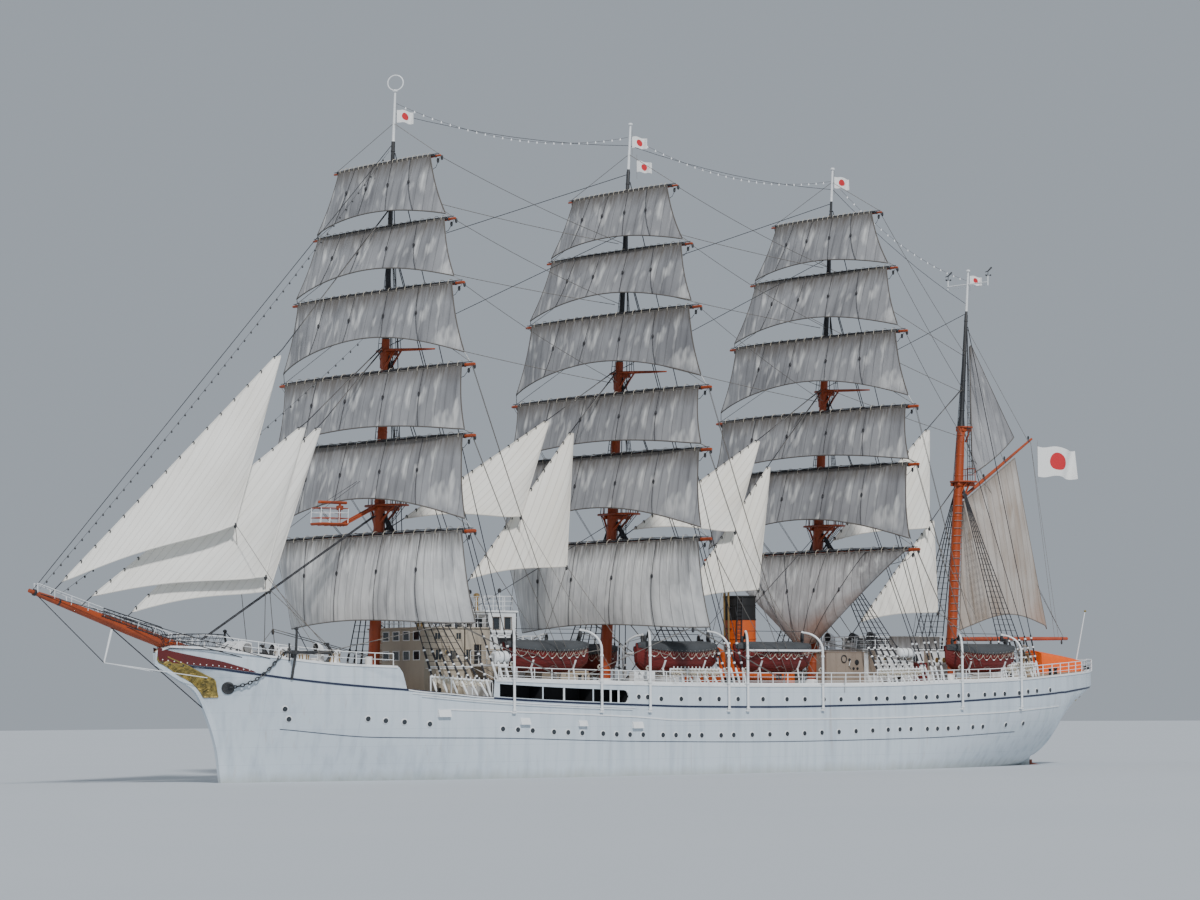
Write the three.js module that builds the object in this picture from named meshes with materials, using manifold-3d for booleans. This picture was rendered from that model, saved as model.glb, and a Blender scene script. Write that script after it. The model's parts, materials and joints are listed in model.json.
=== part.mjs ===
// Four-masted barque with her square and fore-and-aft sails set, lying afloat: a scale model.
// Every size below is in metres of the real ship. MODEL turns one of them into millimetres at 1:10.
// X runs forward from amidships, Y to port and Z up from the waterline.

import * as THREE from "three";
import { mergeVertices } from "three/addons/utils/BufferGeometryUtils.js";
import Module from "manifold-3d";

const wasm = await Module();
wasm.setup();

const MODEL = 100;
const GAP = 0.004; // between pieces that touch
const SIDES = { port: 1, starboard: -1 };

// Driving sizes of the hull
const DRAFT = 4.9;
const KEEL_HALF = 0.14;
const WELL = { aft: 21.5, fore: 27.9, deck: 4.35, side: 0.16 };
const GALLERY = { bays: [[10.1, 13.8], [14.1, 17.5], [17.8, 20.9]], sill: 0.12, head: 0.85, depth: 1.4 };
const STERNPOST_X = -36.6;

// Hull lines: z of the black line, half breadth there, z of the bottom, z where the body widens
// above keel or stem, and the two exponents that shape the section.
const LINES = [
  // x, line, half, bottom, rise, full, hollow
  [44.3, 7.74, 0.1, 7.5, 7.62, 1.0, 1.0],
  [43.5, 7.62, 0.2, 7.08, 7.2, 1.0, 1.0],
  [42.5, 7.48, 0.62, 6.55, 6.7, 1.0, 1.1],
  [41.4, 7.35, 1.08, 5.94, 6.1, 1.0, 1.25],
  [40.3, 7.26, 1.48, 4.05, 4.25, 1.0, 1.4],
  [39.6, 7.15, 1.74, 2.0, 2.2, 1.0, 1.5],
  [39.3, 7.1, 1.85, 0.0, 0.2, 1.0, 1.6],
  [38.8, 7.03, 2.02, -2.0, -1.8, 1.0, 1.6],
  [37.8, 6.9, 2.36, -3.6, -3.4, 1.05, 1.5],
  [36.0, 6.65, 2.9, -4.5, -4.3, 1.15, 1.32],
  [33.0, 6.3, 3.8, -4.85, -4.62, 1.4, 1.12],
  [30.0, 6.04, 4.48, -DRAFT, -4.65, 1.75, 0.98],
  [27.9, 5.88, 4.88, -DRAFT, -4.65, 2.1, 0.9],
  [24.5, 5.56, 5.43, -DRAFT, -4.65, 2.75, 0.77],
  [21.3, 5.31, 5.82, -DRAFT, -4.65, 3.4, 0.67],
  [16.0, 5.03, 6.24, -DRAFT, -4.65, 4.4, 0.59],
  [9.5, 4.81, 6.44, -DRAFT, -4.65, 5.5, 0.54],
  [4.0, 4.66, 6.475, -DRAFT, -4.65, 6.0, 0.5],
  [-4.0, 4.6, 6.475, -DRAFT, -4.65, 6.0, 0.5],
  [-11.0, 4.66, 6.475, -DRAFT, -4.65, 5.2, 0.54],
  [-16.0, 4.73, 6.43, -DRAFT, -4.5, 4.2, 0.6],
  [-20.4, 4.83, 6.27, -DRAFT, -4.05, 3.2, 0.7],
  [-24.5, 4.98, 5.98, -DRAFT, -3.3, 2.6, 0.8],
  [-28.5, 5.15, 5.52, -DRAFT, -2.3, 2.2, 0.85],
  [-32.5, 5.33, 4.85, -DRAFT, -1.1, 2.0, 0.84],
  [-35.2, 5.48, 4.22, -DRAFT, -0.15, 1.9, 0.78],
  [STERNPOST_X, 5.56, 3.84, -DRAFT, 0.62, 1.8, 0.7],
  [STERNPOST_X - 0.02, 5.56, 3.84, 0.45, 0.62, 1.8, 0.7],
  [-37.6, 5.63, 3.52, 1.72, 1.85, 1.8, 0.68],
  [-39.3, 5.76, 2.9, 3.7, 3.82, 1.9, 0.64],
  [-41.0, 5.87, 2.14, 4.86, 4.96, 2.0, 0.6],
  [-42.4, 5.95, 1.3, 5.6, 5.68, 2.0, 0.6],
  [-43.2, 6.02, 0.72, 5.86, 5.92, 2.0, 0.6],
  [-43.55, 6.3, 0.3, 6.12, 6.2, 2.0, 0.6],
];

// Height of the hull's top edge, which is the deck there: forecastle, well and long poop
const TOPS = [
  // x, top
  [44.3, 8.3], [43.5, 8.72], [41.0, 8.62], [38.8, 8.3], [36.0, 7.95], [33.0, 7.62], [30.0, 7.47],
  [28.6, 7.42], [28.2, 7.0], [28.0, 6.3], [27.9, 5.92], [24.5, 5.6], [21.4, 5.35], [21.3, 6.52],
  [16.0, 6.38], [9.5, 6.26], [4.0, 6.17], [-4.0, 6.12], [-11.0, 6.12], [-16.0, 6.18],
  [-20.4, 6.3], [-28.5, 6.5], [-35.2, 6.85], [-41.0, 7.15], [-43.55, 7.28],
];

// Heights up a section, from the rise (0) to the black line (1)
const SECTION_STEPS = [0.06, 0.17, 0.34, 0.56, 0.78, 1];

// Masts: x of the axis at the waterline, its rake aft for each metre up, and the heights of the truck,
// the top and the crosstrees
const MASTS = {
  fore: { x: 27.275, rake: 0.051, truck: 46.2, top: 18.1, trees: 28.5 },
  main: { x: 7.088, rake: 0.071, truck: 46.0, top: 18.1, trees: 28.1 },
  mizzen: { x: -13.058, rake: 0.071, truck: 44.6, top: 17.8, trees: 27.82 },
  jigger: { x: -27.475, rake: 0.085, truck: 38.0, top: 21.6, trees: 25.8 },
};
const SPREADER = { half: 1.15, below: 1.1 };
const TRUCK_RING = { radius: 0.52, wire: 0.05 };
const LOWER_RADIUS = 0.38;
const TREES_RADIUS = 0.27;
const UPPER_RADIUS = 0.2;
const POLE_RADIUS = 0.07;

// Yards, from the deck up, with the sail that hangs from each: its heights on the three masts, half
// its length, its radius, how far it lies ahead of the mast's axis, half the length of the sail's head
// and how far the sail's foot arches up between its clews (roach)
const YARDS = [
  ["course", 16.0, 15.98, 15.72, 11.33, 0.24, 0.86, 10.5, 0.55],
  ["lower_topsail", 22.17, 22.1, 21.84, 10.95, 0.22, 0.86, 10.2, 1.45],
  ["upper_topsail", 26.81, 26.39, 26.04, 10.65, 0.21, 0.86, 9.85, 0.85],
  ["lower_topgallant", 32.24, 32.04, 31.59, 9.38, 0.19, 0.95, 8.6, 1.15],
  ["upper_topgallant", 36.63, 36.58, 36.37, 7.78, 0.17, 0.6, 7.1, 0.95],
  ["royal", 41.04, 40.88, 40.65, 5.84, 0.14, 0.5, 5.2, 0.9],
].map(([name, fore, main, mizzen, half, radius, ahead, head, roach]) => {
  return { name, fore, main, mizzen, half, radius, ahead, head, roach };
});
// Lookout ahead of the fore top, measured forward from the mast's axis
const LOOKOUT = { inner: 0.432, near: 3.0, far: 5.2, half: 0.55, floor: 16.7, top: 18.05 };
const SCANNER = { post: 3.3, middle: 3.9, z: 18.2, half: 1.15, thick: 0.12 };
const SAIL_THICK = 0.04;
const SAIL_ROWS = [0, 0.35, 0.7, 1];
const SAIL_COLUMNS = [-1, -0.65, -0.25, 0.25, 0.65, 1];
const CLEW_ABOVE = 0.42; // clews end this far above the yard below
const CLEW_INSIDE = 0.75; // and this far inside its end
const COURSE_CLEW = 10.0;
const SAIL_AHEAD = 0.07; // cloth in front of the yard
const COURSE_FOOT = { fore: 10.15, main: 10.05, mizzen: 9.4 };

// Stays that carry a sail: the height of their upper end on the mast, (x, z) of their foot and of the
// sail's tack and head in the centre plane, and (x, y, z) of its clew, which is set out to port
const STAYSAILS = [
  // name, mast, height, foot, tack, head, clew, belly
  ["flying_jib", "fore", 38.0,
    [52, 11.91], [51.2, 12.65], [34.29, 28.16], [39.4, 1.9, 16.5], 0.5],
  ["outer_jib", "fore", 28.75,
    [49.7, 11.24], [49, 11.8], [32.36, 23.46], [36.6, 1.3, 13.25], 0.5],
  ["fore_topmast_staysail", "fore", 28.52,
    [46.6, 10.36], [46, 10.85], [31.05, 23.52], [35.7, 0.5, 12.4], 0.2],
  ["main_topmast_staysail", "main", 28.33,
    [25.9, 16.5], [24.35, 17.33], [11.47, 24.68], [14.9, 0.9, 17.75], 0.3],
  ["main_staysail", "main", 28.12,
    [21.75, 10.12], [18.69, 13.42], [9.34, 24.08], [10.4, 0.4, 14.42], 0.3],
  ["mizzen_topmast_staysail", "mizzen", 27.97,
    [5.3, 16.35], [3.91, 17.13], [-8.55, 24.14], [-5.1, 0.9, 17.23], 0.3],
  ["mizzen_staysail", "mizzen", 27.77,
    [4.9, 6.4], [-0.4, 12], [-9.53, 22.39], [-7.8, 0.4, 13.11], 0.3],
  ["jigger_topmast_staysail", "jigger", 28.7,
    [-14.75, 15.9], [-15.76, 16.81], [-26.18, 25.76], [-25.2, 0.8, 18.03], 0.3],
  ["jigger_staysail", "jigger", 21.2,
    [-16.6, 8.86], [-18.58, 10.86], [-26.52, 18.84], [-26.4, 0.4, 11.68], 0.3],
].map(([name, mast, height, foot, tack, head, clew, belly]) => {
  return { name, mast, height, foot, tack, head, clew, belly };
});
const STAY_RADIUS = 0.035;
const FORESTAY = { foot: [40.6, 9.2], height: 17.45 };

const GAFF = { inner: [-29.66, 20.4], outer: [-37.6, 25.29], radius: 0.14, taper: 0.6 };
const BOOM = { inner: [-28.79, 9.64], outer: [-41.3, 9.76], radius: 0.17, taper: 0.75 };
const BOWSPRIT = { heel: [40.2, 7.86], tip: [53.57, 12.1], radius: 0.4, tipRadius: 0.17 };

// Boats hang in pairs of radial davits, the same on both sides
const BOATS = [16.2, 4.6, -4.5, -26.5];
const BOAT = { half: 3.7, beam: 1.12, keel: 7.1, gunwale: 8.62, sheer: 0.32, crown: 0.5, inboard: 1.2 };
const BOAT_RINGS = [
  // share of the half length, share of the beam, how far the keel rises
  [-1, 0.06, 0.81], [-0.85, 0.5, 0.31], [-0.55, 0.86, 0.07], [-0.2, 1, 0],
  [0.2, 1, 0], [0.55, 0.86, 0.07], [0.85, 0.5, 0.31], [1, 0.06, 0.81],
];
const DAVIT = { spread: 3.65, radius: 0.09, foot: 4.4, knee: 8.55, head: 9.85, outreach: 1.15, turn: 0.9 };

const FUNNEL = { x: -6.3, radius: 1.15, top: 12.6, casing: 7.15, fore: -2.6, aft: -9.9, half: 1.9 };
const BRIDGE = { fore: 25.0, aft: 19.4, half: 3.0, top: 10.05 };
const CHARTHOUSE = { fore: 19.5, aft: 14.6, half: 2.7, top: 8.6 };
const WHEELHOUSE = { fore: 20.2, aft: 16.7, half: 2.6, top: 11.2, wall: 0.12 };
const AFT_HOUSE = { fore: -16.3, aft: -25.2, half: 2.5, top: 8.8 };
const STERN_COVER = { fore: -37.2, aft: -41.8, half: 1.15, foreTop: 8.83, aftTop: 8.2 };

// Windlass, hatches, skylights and lockers: blocks that stand on the hull's decks
const DECK_GEAR = [
  // fore end, aft end, half breadth, top, its middle's distance to port
  [38.9, 37.2, 0.9, 9.1, 0],
  [11.9, 9.3, 1.5, 7.15, 0],
  [3.6, 0.8, 1.3, 7.2, 0],
  [-31.6, -34.6, 1.1, 7.9, 0],
  [-11.1, -14.95, 0.55, 8.55, 3.45],
  [-11.1, -14.95, 0.55, 8.55, -3.45],
];
const CAPSTANS = [[34.2, 0], [31.4, 1.7], [31.4, -1.7]];
const CAPSTAN = { radius: 0.38, height: 1.05 };

const PROPELLER = { x: -33.6, y: 1.75, z: -2.5, radius: 1.25, hub: 0.26, length: 0.7, blades: 3 };
const RUDDER = { x: -36.83, bottom: -4.75, top: 0.4, chord: 2.35, half: 0.14, stock: 0.17 };

function material(color, roughness, metalness = 0) {
  return new THREE.MeshStandardMaterial({ color, roughness, metalness });
}

const PAINT = {
  white: material(0xe8edf2, 0.45),
  orange: material(0xb5481c, 0.5),
  canvas: material(0xc9c5bb, 0.9),
  cream: material(0xe6e0cf, 0.9),
  boatRed: material(0x6d1612, 0.45),
  beige: material(0xb4a58f, 0.6),
  cover: material(0xd9551c, 0.8),
  bronze: material(0x9a7440, 0.35, 0.8),
  underwater: material(0x6b2a22, 0.7),
  darkSteel: material(0x2a2c2e, 0.5, 0.4),
};

// Value of a table's column at x, straight between its rows, which run from the bow aft
function at(table, x, column) {
  const last = table.length - 1;
  if (x >= table[0][0]) return table[0][column];
  if (x <= table[last][0]) return table[last][column];
  const i = table.findIndex((row) => row[0] <= x);
  const [a, b] = [table[i - 1], table[i]];
  return a[column] + ((b[column] - a[column]) * (a[0] - x)) / (a[0] - b[0]);
}

const lineZ = (x) => at(LINES, x, 1);
const halfAt = (x) => at(LINES, x, 2);
const topZ = (x) => at(TOPS, x, 1);

// Closed mesh from points and triangles, turned so that its faces point out
function closed(points, faces) {
  let volume = 0;
  for (const [a, b, c] of faces) {
    const [p, q, r] = [points[a], points[b], points[c]];
    volume += p.clone().dot(q.clone().cross(r));
  }
  const turned = volume < 0 ? faces.map(([a, b, c]) => [a, c, b]) : faces;
  const geometry = new THREE.BufferGeometry().setFromPoints(points);
  geometry.setIndex(turned.flat());
  return geometry;
}

// Skin over rings of points that all have the same count, closed by a fan at each end
function loft(rings) {
  const count = rings[0].length;
  const points = rings.flat();
  const faces = [];
  for (let i = 0; i + 1 < rings.length; i++) {
    for (let j = 0; j < count; j++) {
      const [a, b] = [i * count + j, i * count + ((j + 1) % count)];
      faces.push([a, b, b + count], [a, b + count, a + count]);
    }
  }
  const end = (rings.length - 1) * count;
  for (let j = 1; j + 1 < count; j++) {
    faces.push([0, j + 1, j], [end, end + j, end + j + 1]);
  }
  return closed(points, faces);
}

// Cloth of one thickness over a grid of points
function slab(grid, thick, out) {
  const rows = grid.length;
  const columns = grid[0].length;
  const half = out.clone().multiplyScalar(thick / 2);
  const front = grid.flat().map((p) => p.clone().add(half));
  const back = grid.flat().map((p) => p.clone().sub(half));
  const n = rows * columns;
  const faces = [];
  const quad = (a, b, c, d) => faces.push([a, b, c], [a, c, d]);
  for (let i = 0; i + 1 < rows; i++) {
    for (let j = 0; j + 1 < columns; j++) {
      const a = i * columns + j;
      quad(a, a + 1, a + 1 + columns, a + columns);
      quad(n + a, n + a + columns, n + a + 1 + columns, n + a + 1);
    }
  }
  for (let j = 0; j + 1 < columns; j++) {
    const b = (rows - 1) * columns + j;
    quad(j + 1, j, n + j, n + j + 1);
    quad(b, b + 1, n + b + 1, n + b);
  }
  for (let i = 0; i + 1 < rows; i++) {
    const a = i * columns;
    const b = a + columns - 1;
    quad(a, a + columns, n + a + columns, n + a);
    quad(b + columns, b, n + b, n + b + columns);
  }
  return closed([...front, ...back], faces);
}

// Round spar through points, with a radius at each
function spar(points, radii, sides = 10) {
  const rings = points.map((p, i) => {
    const ahead = points[Math.min(i + 1, points.length - 1)];
    const behind = points[Math.max(i - 1, 0)];
    const along = ahead.clone().sub(behind).normalize();
    const guide = Math.abs(along.z) > 0.8 ? new THREE.Vector3(1, 0, 0) : new THREE.Vector3(0, 0, 1);
    const across = guide.clone().cross(along).normalize();
    const up = along.clone().cross(across);
    const ring = [];
    for (let k = 0; k < sides; k++) {
      const angle = (2 * Math.PI * k) / sides;
      const arm = across.clone().multiplyScalar(Math.cos(angle) * radii[i]);
      ring.push(p.clone().add(arm).addScaledVector(up, Math.sin(angle) * radii[i]));
    }
    return ring;
  });
  return loft(rings);
}

function box(x0, x1, y0, y1, z0, z1) {
  const geometry = new THREE.BoxGeometry(Math.abs(x1 - x0), Math.abs(y1 - y0), Math.abs(z1 - z0));
  return geometry.translate((x0 + x1) / 2, (y0 + y1) / 2, (z0 + z1) / 2);
}

const vec = (x, y, z) => new THREE.Vector3(x, y, z);

function solid(geometry) {
  const bare = geometry.clone();
  bare.deleteAttribute("normal");
  bare.deleteAttribute("uv");
  const merged = mergeVertices(bare, 1e-6);
  return new wasm.Manifold(
    new wasm.Mesh({
      numProp: 3,
      vertProperties: new Float32Array(merged.attributes.position.array),
      triVerts: new Uint32Array(merged.index.array),
    }),
  );
}

function shape(manifold) {
  const mesh = manifold.getMesh();
  const geometry = new THREE.BufferGeometry();
  geometry.setAttribute("position", new THREE.BufferAttribute(mesh.vertProperties, 3));
  geometry.setIndex(new THREE.BufferAttribute(mesh.triVerts, 1));
  return geometry;
}

const join = (...geometries) => shape(geometries.map(solid).reduce((a, b) => a.add(b)));
const cut = (body, ...tools) => shape(tools.map(solid).reduce((a, b) => a.subtract(b), solid(body)));

const ship = new THREE.Group();
ship.scale.setScalar(MODEL);

function add(name, geometry, paint) {
  const mesh = new THREE.Mesh(geometry, paint);
  mesh.name = name;
  ship.add(mesh);
}

// Half breadth of the hull at x and height z between the rise and the black line
function sectionHalf(x, z) {
  const [line, half, , rise, full, hollow] = [1, 2, 3, 4, 5, 6].map((column) => at(LINES, x, column));
  const v = THREE.MathUtils.clamp((z - rise) / (line - rise), 0, 1);
  return Math.max(KEEL_HALF * 0.7, half * (1 - (1 - v) ** full) ** hollow);
}

function hullRing(x) {
  const [line, half, bottom, rise] = [1, 2, 3, 4].map((column) => at(LINES, x, column));
  const keel = Math.min(KEEL_HALF, half * 0.6);
  const flare = Math.max(0, (x - 28) / 16) * 0.14 * (topZ(x) - line);
  const side = [[keel, bottom], [keel, rise]];
  for (const step of SECTION_STEPS) {
    const z = rise + (line - rise) * step;
    side.push([Math.max(keel + 0.01 * step, sectionHalf(x, z)), z]);
  }
  side.push([half + flare, topZ(x)]);
  const port = side.map(([y, z]) => vec(x, y, z));
  const starboard = side.map(([y, z]) => vec(x, -y, z)).reverse();
  return [...port, ...starboard];
}

function shaftLine(side) {
  const { x, y, z, hub } = PROPELLER;
  const tube = spar([vec(-22, side * y, z), vec(x + 0.42, side * y, z)], [0.22, hub * 0.85]);
  const upper = spar([vec(x + 0.9, side * y, z), vec(x + 1.1, side * 1.1, 0.6)], [0.1, 0.13], 6);
  const lower = spar([vec(x + 0.9, side * y, z), vec(x + 1.1, 0, z - 0.5)], [0.1, 0.13], 6);
  return [tube, upper, lower];
}

function deckGear() {
  const blocks = DECK_GEAR.map(([fore, aft, half, top, middle]) => {
    return loft([fore, aft].map((x) => {
      const foot = topZ(x) - 0.1;
      const outline = [[half, foot], [half, top], [-half, top], [-half, foot]];
      return outline.map(([y, z]) => vec(x, y + middle, z));
    }));
  });
  const drums = CAPSTANS.map(([x, y]) => {
    const foot = topZ(x) - 0.1;
    const line = [0, 0.3, 0.6, 1].map((share) => vec(x, y, foot + share * CAPSTAN.height));
    return spar(line, [1.15, 0.75, 0.8, 1.1].map((share) => share * CAPSTAN.radius), 12);
  });
  return [...blocks, ...drums];
}

function makeHull() {
  const places = new Set([...LINES.map((row) => row[0]), ...TOPS.map((row) => row[0])]);
  const stations = [...places].sort((a, b) => b - a);
  const body = loft(stations.map(hullRing));
  const port = [WELL.fore, 24.5, WELL.aft].map((x) => new THREE.Vector2(x, halfAt(x) - WELL.side));
  const starboard = port.map(({ x, y }) => new THREE.Vector2(x, -y)).reverse();
  const well = new THREE.Shape([...port, ...starboard]);
  const wellSpace = new THREE.ExtrudeGeometry(well, { depth: 4, bevelEnabled: false });
  wellSpace.translate(0, 0, WELL.deck);
  const bays = [];
  for (const side of Object.values(SIDES)) {
    for (const [aft, fore] of GALLERY.bays) {
      const middle = (aft + fore) / 2;
      const inner = side * (halfAt(middle) - GALLERY.depth);
      const sill = lineZ(middle) + GALLERY.sill;
      bays.push(box(aft, fore, inner, side * 7.5, sill, sill + GALLERY.head));
    }
  }
  const [hx, hz] = BOWSPRIT.heel;
  const [tx, tz] = BOWSPRIT.tip;
  const slope = (tz - hz) / (tx - hx);
  const seat = BOWSPRIT.radius + 0.02;
  const seatLine = [vec(hx - 0.1, 0, hz - 0.1 * slope), vec(47, 0, hz + (47 - hx) * slope)];
  const seatHole = spar(seatLine, [seat, seat], 12);
  const shafts = Object.values(SIDES).flatMap(shaftLine);
  const bare = cut(body, wellSpace, seatHole, ...bays);
  add("hull", join(bare, ...shafts, ...deckGear()), PAINT.white);
}

function makeRudder() {
  const { x, bottom, top, chord, half, stock } = RUDDER;
  const outline = new THREE.Shape();
  outline.moveTo(0, bottom);
  outline.lineTo(-chord * 0.75, bottom + 0.25);
  outline.quadraticCurveTo(-chord, bottom + 0.6, -chord, bottom + 1.6);
  outline.lineTo(-chord * 0.9, top - 1.6);
  outline.quadraticCurveTo(-chord * 0.8, top - 0.35, 0, top - 0.25);
  const plate = { depth: 2 * half, bevelEnabled: false, curveSegments: 5 };
  const blade = new THREE.ExtrudeGeometry(outline, plate);
  blade.rotateX(Math.PI / 2).translate(x, half, 0);
  const post = spar([vec(x, 0, bottom + 0.02), vec(x, 0, top)], [stock, stock], 12);
  add("rudder", join(blade, post), PAINT.underwater);
}

function makePropeller(name, side) {
  const { x, y, z, radius, hub, length, blades } = PROPELLER;
  const profile = [[0, 0.02 - length], [hub * 0.55, 0.12 - length], [hub, -0.2], [hub, 0.35], [0, 0.35]];
  const boss = new THREE.LatheGeometry(profile.map(([r, h]) => new THREE.Vector2(r, h)), 12);
  boss.rotateZ(-Math.PI / 2);
  const pieces = [boss];
  const sections = [
    // reach, chord and thickness as shares of the radius, pitch angle
    [0.1, 0.24, 0.06, 62],
    [0.4, 0.46, 0.05, 45],
    [0.72, 0.56, 0.035, 34],
    [0.98, 0.3, 0.02, 27],
  ];
  for (let k = 0; k < blades; k++) {
    const rings = sections.map(([reach, chord, thick, pitch]) => {
      const angle = THREE.MathUtils.degToRad(pitch) * side;
      const along = vec(Math.sin(angle), Math.cos(angle), 0).multiplyScalar((chord * radius) / 2);
      const through = vec(Math.cos(angle), -Math.sin(angle), 0).multiplyScalar((thick * radius) / 2);
      const middle = vec(0, 0, reach * radius);
      return [along, through, along.clone().negate(), through.clone().negate()].map((p) => p.add(middle));
    });
    pieces.push(loft(rings).rotateX((2 * Math.PI * k) / blades));
  }
  add(name, join(...pieces).translate(x, side * y, z), PAINT.bronze);
}

const mastX = (mast, z) => MASTS[mast].x - MASTS[mast].rake * z;

// Radius of a mast at a height: plated lower part, then the topgallant mast and a light pole
function mastRadius(mast, z) {
  const { top, trees, truck } = MASTS[mast];
  const rows = [
    [truck, POLE_RADIUS],
    [truck - 3.4, POLE_RADIUS + 0.03],
    [truck - 3.5, UPPER_RADIUS * 0.65],
    [trees + 0.9, UPPER_RADIUS],
    [trees + 0.8, TREES_RADIUS],
    [top, LOWER_RADIUS - 0.02],
    [0, LOWER_RADIUS + 0.03],
  ];
  return at(rows, z, 1);
}

function platform(z, aft, fore, half, thick) {
  const outline = new THREE.Shape();
  outline.moveTo(fore, -half * 0.55);
  outline.lineTo(fore, half * 0.55);
  outline.quadraticCurveTo(0.1, half, -aft * 0.4, half);
  outline.lineTo(-aft, half * 0.8);
  outline.lineTo(-aft, -half * 0.8);
  outline.lineTo(-aft * 0.4, -half);
  outline.quadraticCurveTo(0.1, -half, fore, -half * 0.55);
  const plate = new THREE.ExtrudeGeometry(outline, { depth: thick, bevelEnabled: false, curveSegments: 4 });
  return plate.translate(0, 0, z);
}

// Shears a geometry built round an upright mast so that it follows the mast's rake
function raked(geometry, { x, rake }) {
  const place = geometry.attributes.position;
  for (let i = 0; i < place.count; i++) place.setX(i, place.getX(i) + x - rake * place.getZ(i));
  return geometry;
}

// Walkway from the fore top out to a basket with a radar scanner on its post
function makeLookout() {
  const { inner, near, far, half, floor, top } = LOOKOUT;
  const { post, middle, z, thick } = SCANNER;
  const walk = spar([vec(inner, 0, top), vec(near + 0.2, 0, floor + 0.06)], [0.16, 0.16], 6);
  const basket = box(near, far, -half, half, floor, floor + 0.12);
  const stem = spar([vec(post, 0, floor + 0.02), vec(post, 0, z)], [0.12, 0.1], 8);
  const bar = box(middle - SCANNER.half, middle + SCANNER.half, -thick, thick, z - 0.05, z + 0.14);
  add("lookout", raked(join(walk, basket, stem, bar), MASTS.fore), PAINT.orange);
}

function makeMast(mast) {
  const { x, rake, top, trees, truck } = MASTS[mast];
  const heel = x - rake * topZ(x);
  const deck = mast === "fore" ? WELL.deck : Math.max(topZ(heel - 0.5), topZ(heel + 0.5));
  const foot = deck + GAP;
  const heights = [foot, top, trees + 0.8, trees + 0.9, truck - 3.5, truck - 3.4, truck];
  const column = spar(heights.map((z) => vec(0, 0, z)), heights.map((z) => mastRadius(mast, z)), 12);
  const pieces = [column, platform(top, 1.35, 0.45, mast === "jigger" ? 0.8 : 1.7, 0.12)];
  pieces.push(platform(trees, 0.8, 0.2, mast === "jigger" ? 0.5 : 1.05, 0.1));
  if (mast === "fore") {
    const ring = new THREE.TorusGeometry(TRUCK_RING.radius, TRUCK_RING.wire, 6, 16);
    pieces.push(ring.rotateX(Math.PI / 2).rotateZ(Math.PI / 4).translate(0, 0, truck + 0.5));
  }
  if (mast === "jigger") {
    const spreader = [-SPREADER.half, SPREADER.half].map((y) => vec(0, y, truck - SPREADER.below));
    pieces.push(spar(spreader, [0.04, 0.04], 6));
  }
  add(`${mast}mast`, raked(join(...pieces), MASTS[mast]), PAINT.orange);
}

function makeYard(mast, yard) {
  const z = yard[mast];
  const x = mastX(mast, z) + yard.ahead;
  const line = [-1, -0.4, 0.4, 1].map((s) => vec(x, s * yard.half, z));
  const rod = spar(line, [0.45, 1, 1, 0.45].map((share) => share * yard.radius), 8);
  const near = mastX(mast, z) + mastRadius(mast, z) + 0.03;
  const truss = box(near, x, -0.12, 0.12, z - 0.1, z + 0.1);
  add(`${mast}_${yard.name}_yard`, join(rod, truss), PAINT.orange);
}

const clothX = (mast, yard, z) => mastX(mast, z) + yard.ahead + yard.radius + SAIL_AHEAD;

// Square sail: rows run down from the head, columns from starboard to port
function squareSail(mast, index) {
  const yard = YARDS[index];
  const below = YARDS[index - 1];
  const headZ = yard[mast] + 0.05;
  const headX = clothX(mast, yard, headZ);
  const footZ = below ? below[mast] + CLEW_ABOVE : COURSE_FOOT[mast];
  const footX = below ? clothX(mast, below, footZ) : headX + 0.25;
  const footHalf = below ? below.half - CLEW_INSIDE : COURSE_CLEW;
  const depth = headZ - footZ;
  const bulge = 0.1 * depth + 0.15;
  const { lerp } = THREE.MathUtils;
  const grid = SAIL_ROWS.map((t) => SAIL_COLUMNS.map((s) => {
    const half = lerp(yard.head, footHalf, t) - 0.35 * Math.sin(Math.PI * t);
    const arch = yard.roach * (1 - s * s) * t * t;
    const swell = bulge * Math.sin(Math.PI * Math.min(1, t * 0.85 + 0.05)) * (1 - s ** 4);
    return vec(lerp(headX, footX, t) + swell, s * half, headZ - depth * t + arch);
  }));
  return slab(grid, SAIL_THICK, vec(1, 0, 0));
}

// The mizzen course hangs half clewed up: its clews are drawn in under the middle of the yard
function clewedCourse(mast) {
  const yard = YARDS[0];
  const headZ = yard[mast] + 0.05;
  const headX = clothX(mast, yard, headZ);
  const grid = SAIL_ROWS.map((t) => SAIL_COLUMNS.map((s) => {
    const half = THREE.MathUtils.lerp(yard.head, 1.1, t ** 0.9);
    const swell = 0.7 * Math.sin(Math.PI * t * 0.8) * (1 - s * s);
    return vec(headX + swell, s * half, headZ - (headZ - COURSE_FOOT[mast]) * t);
  }));
  return slab(grid, SAIL_THICK, vec(1, 0, 0));
}

// Sheet that ties a sail's clew to the head of the sail below, in front of the yard between them
function clewLink(mast, index, side) {
  const below = YARDS[index - 1];
  const z = below[mast];
  const clew = below.half - CLEW_INSIDE - 0.05;
  const head = Math.min(clew, below.head - 0.1);
  const x = (height) => clothX(mast, below, height);
  const line = [vec(x(z), side * head, z), vec(x(z + 0.55), side * clew, z + 0.55)];
  return spar(line, [0.05, 0.05], 4);
}

function makeSquareSails(mast) {
  const pieces = YARDS.map((row, index) => {
    return mast === "mizzen" && index === 0 ? clewedCourse(mast) : squareSail(mast, index);
  });
  for (let index = 1; index < YARDS.length; index++) {
    for (const side of Object.values(SIDES)) pieces.push(clewLink(mast, index, side));
  }
  add(`${mast}_square_sails`, join(...pieces), PAINT.canvas);
}

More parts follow.
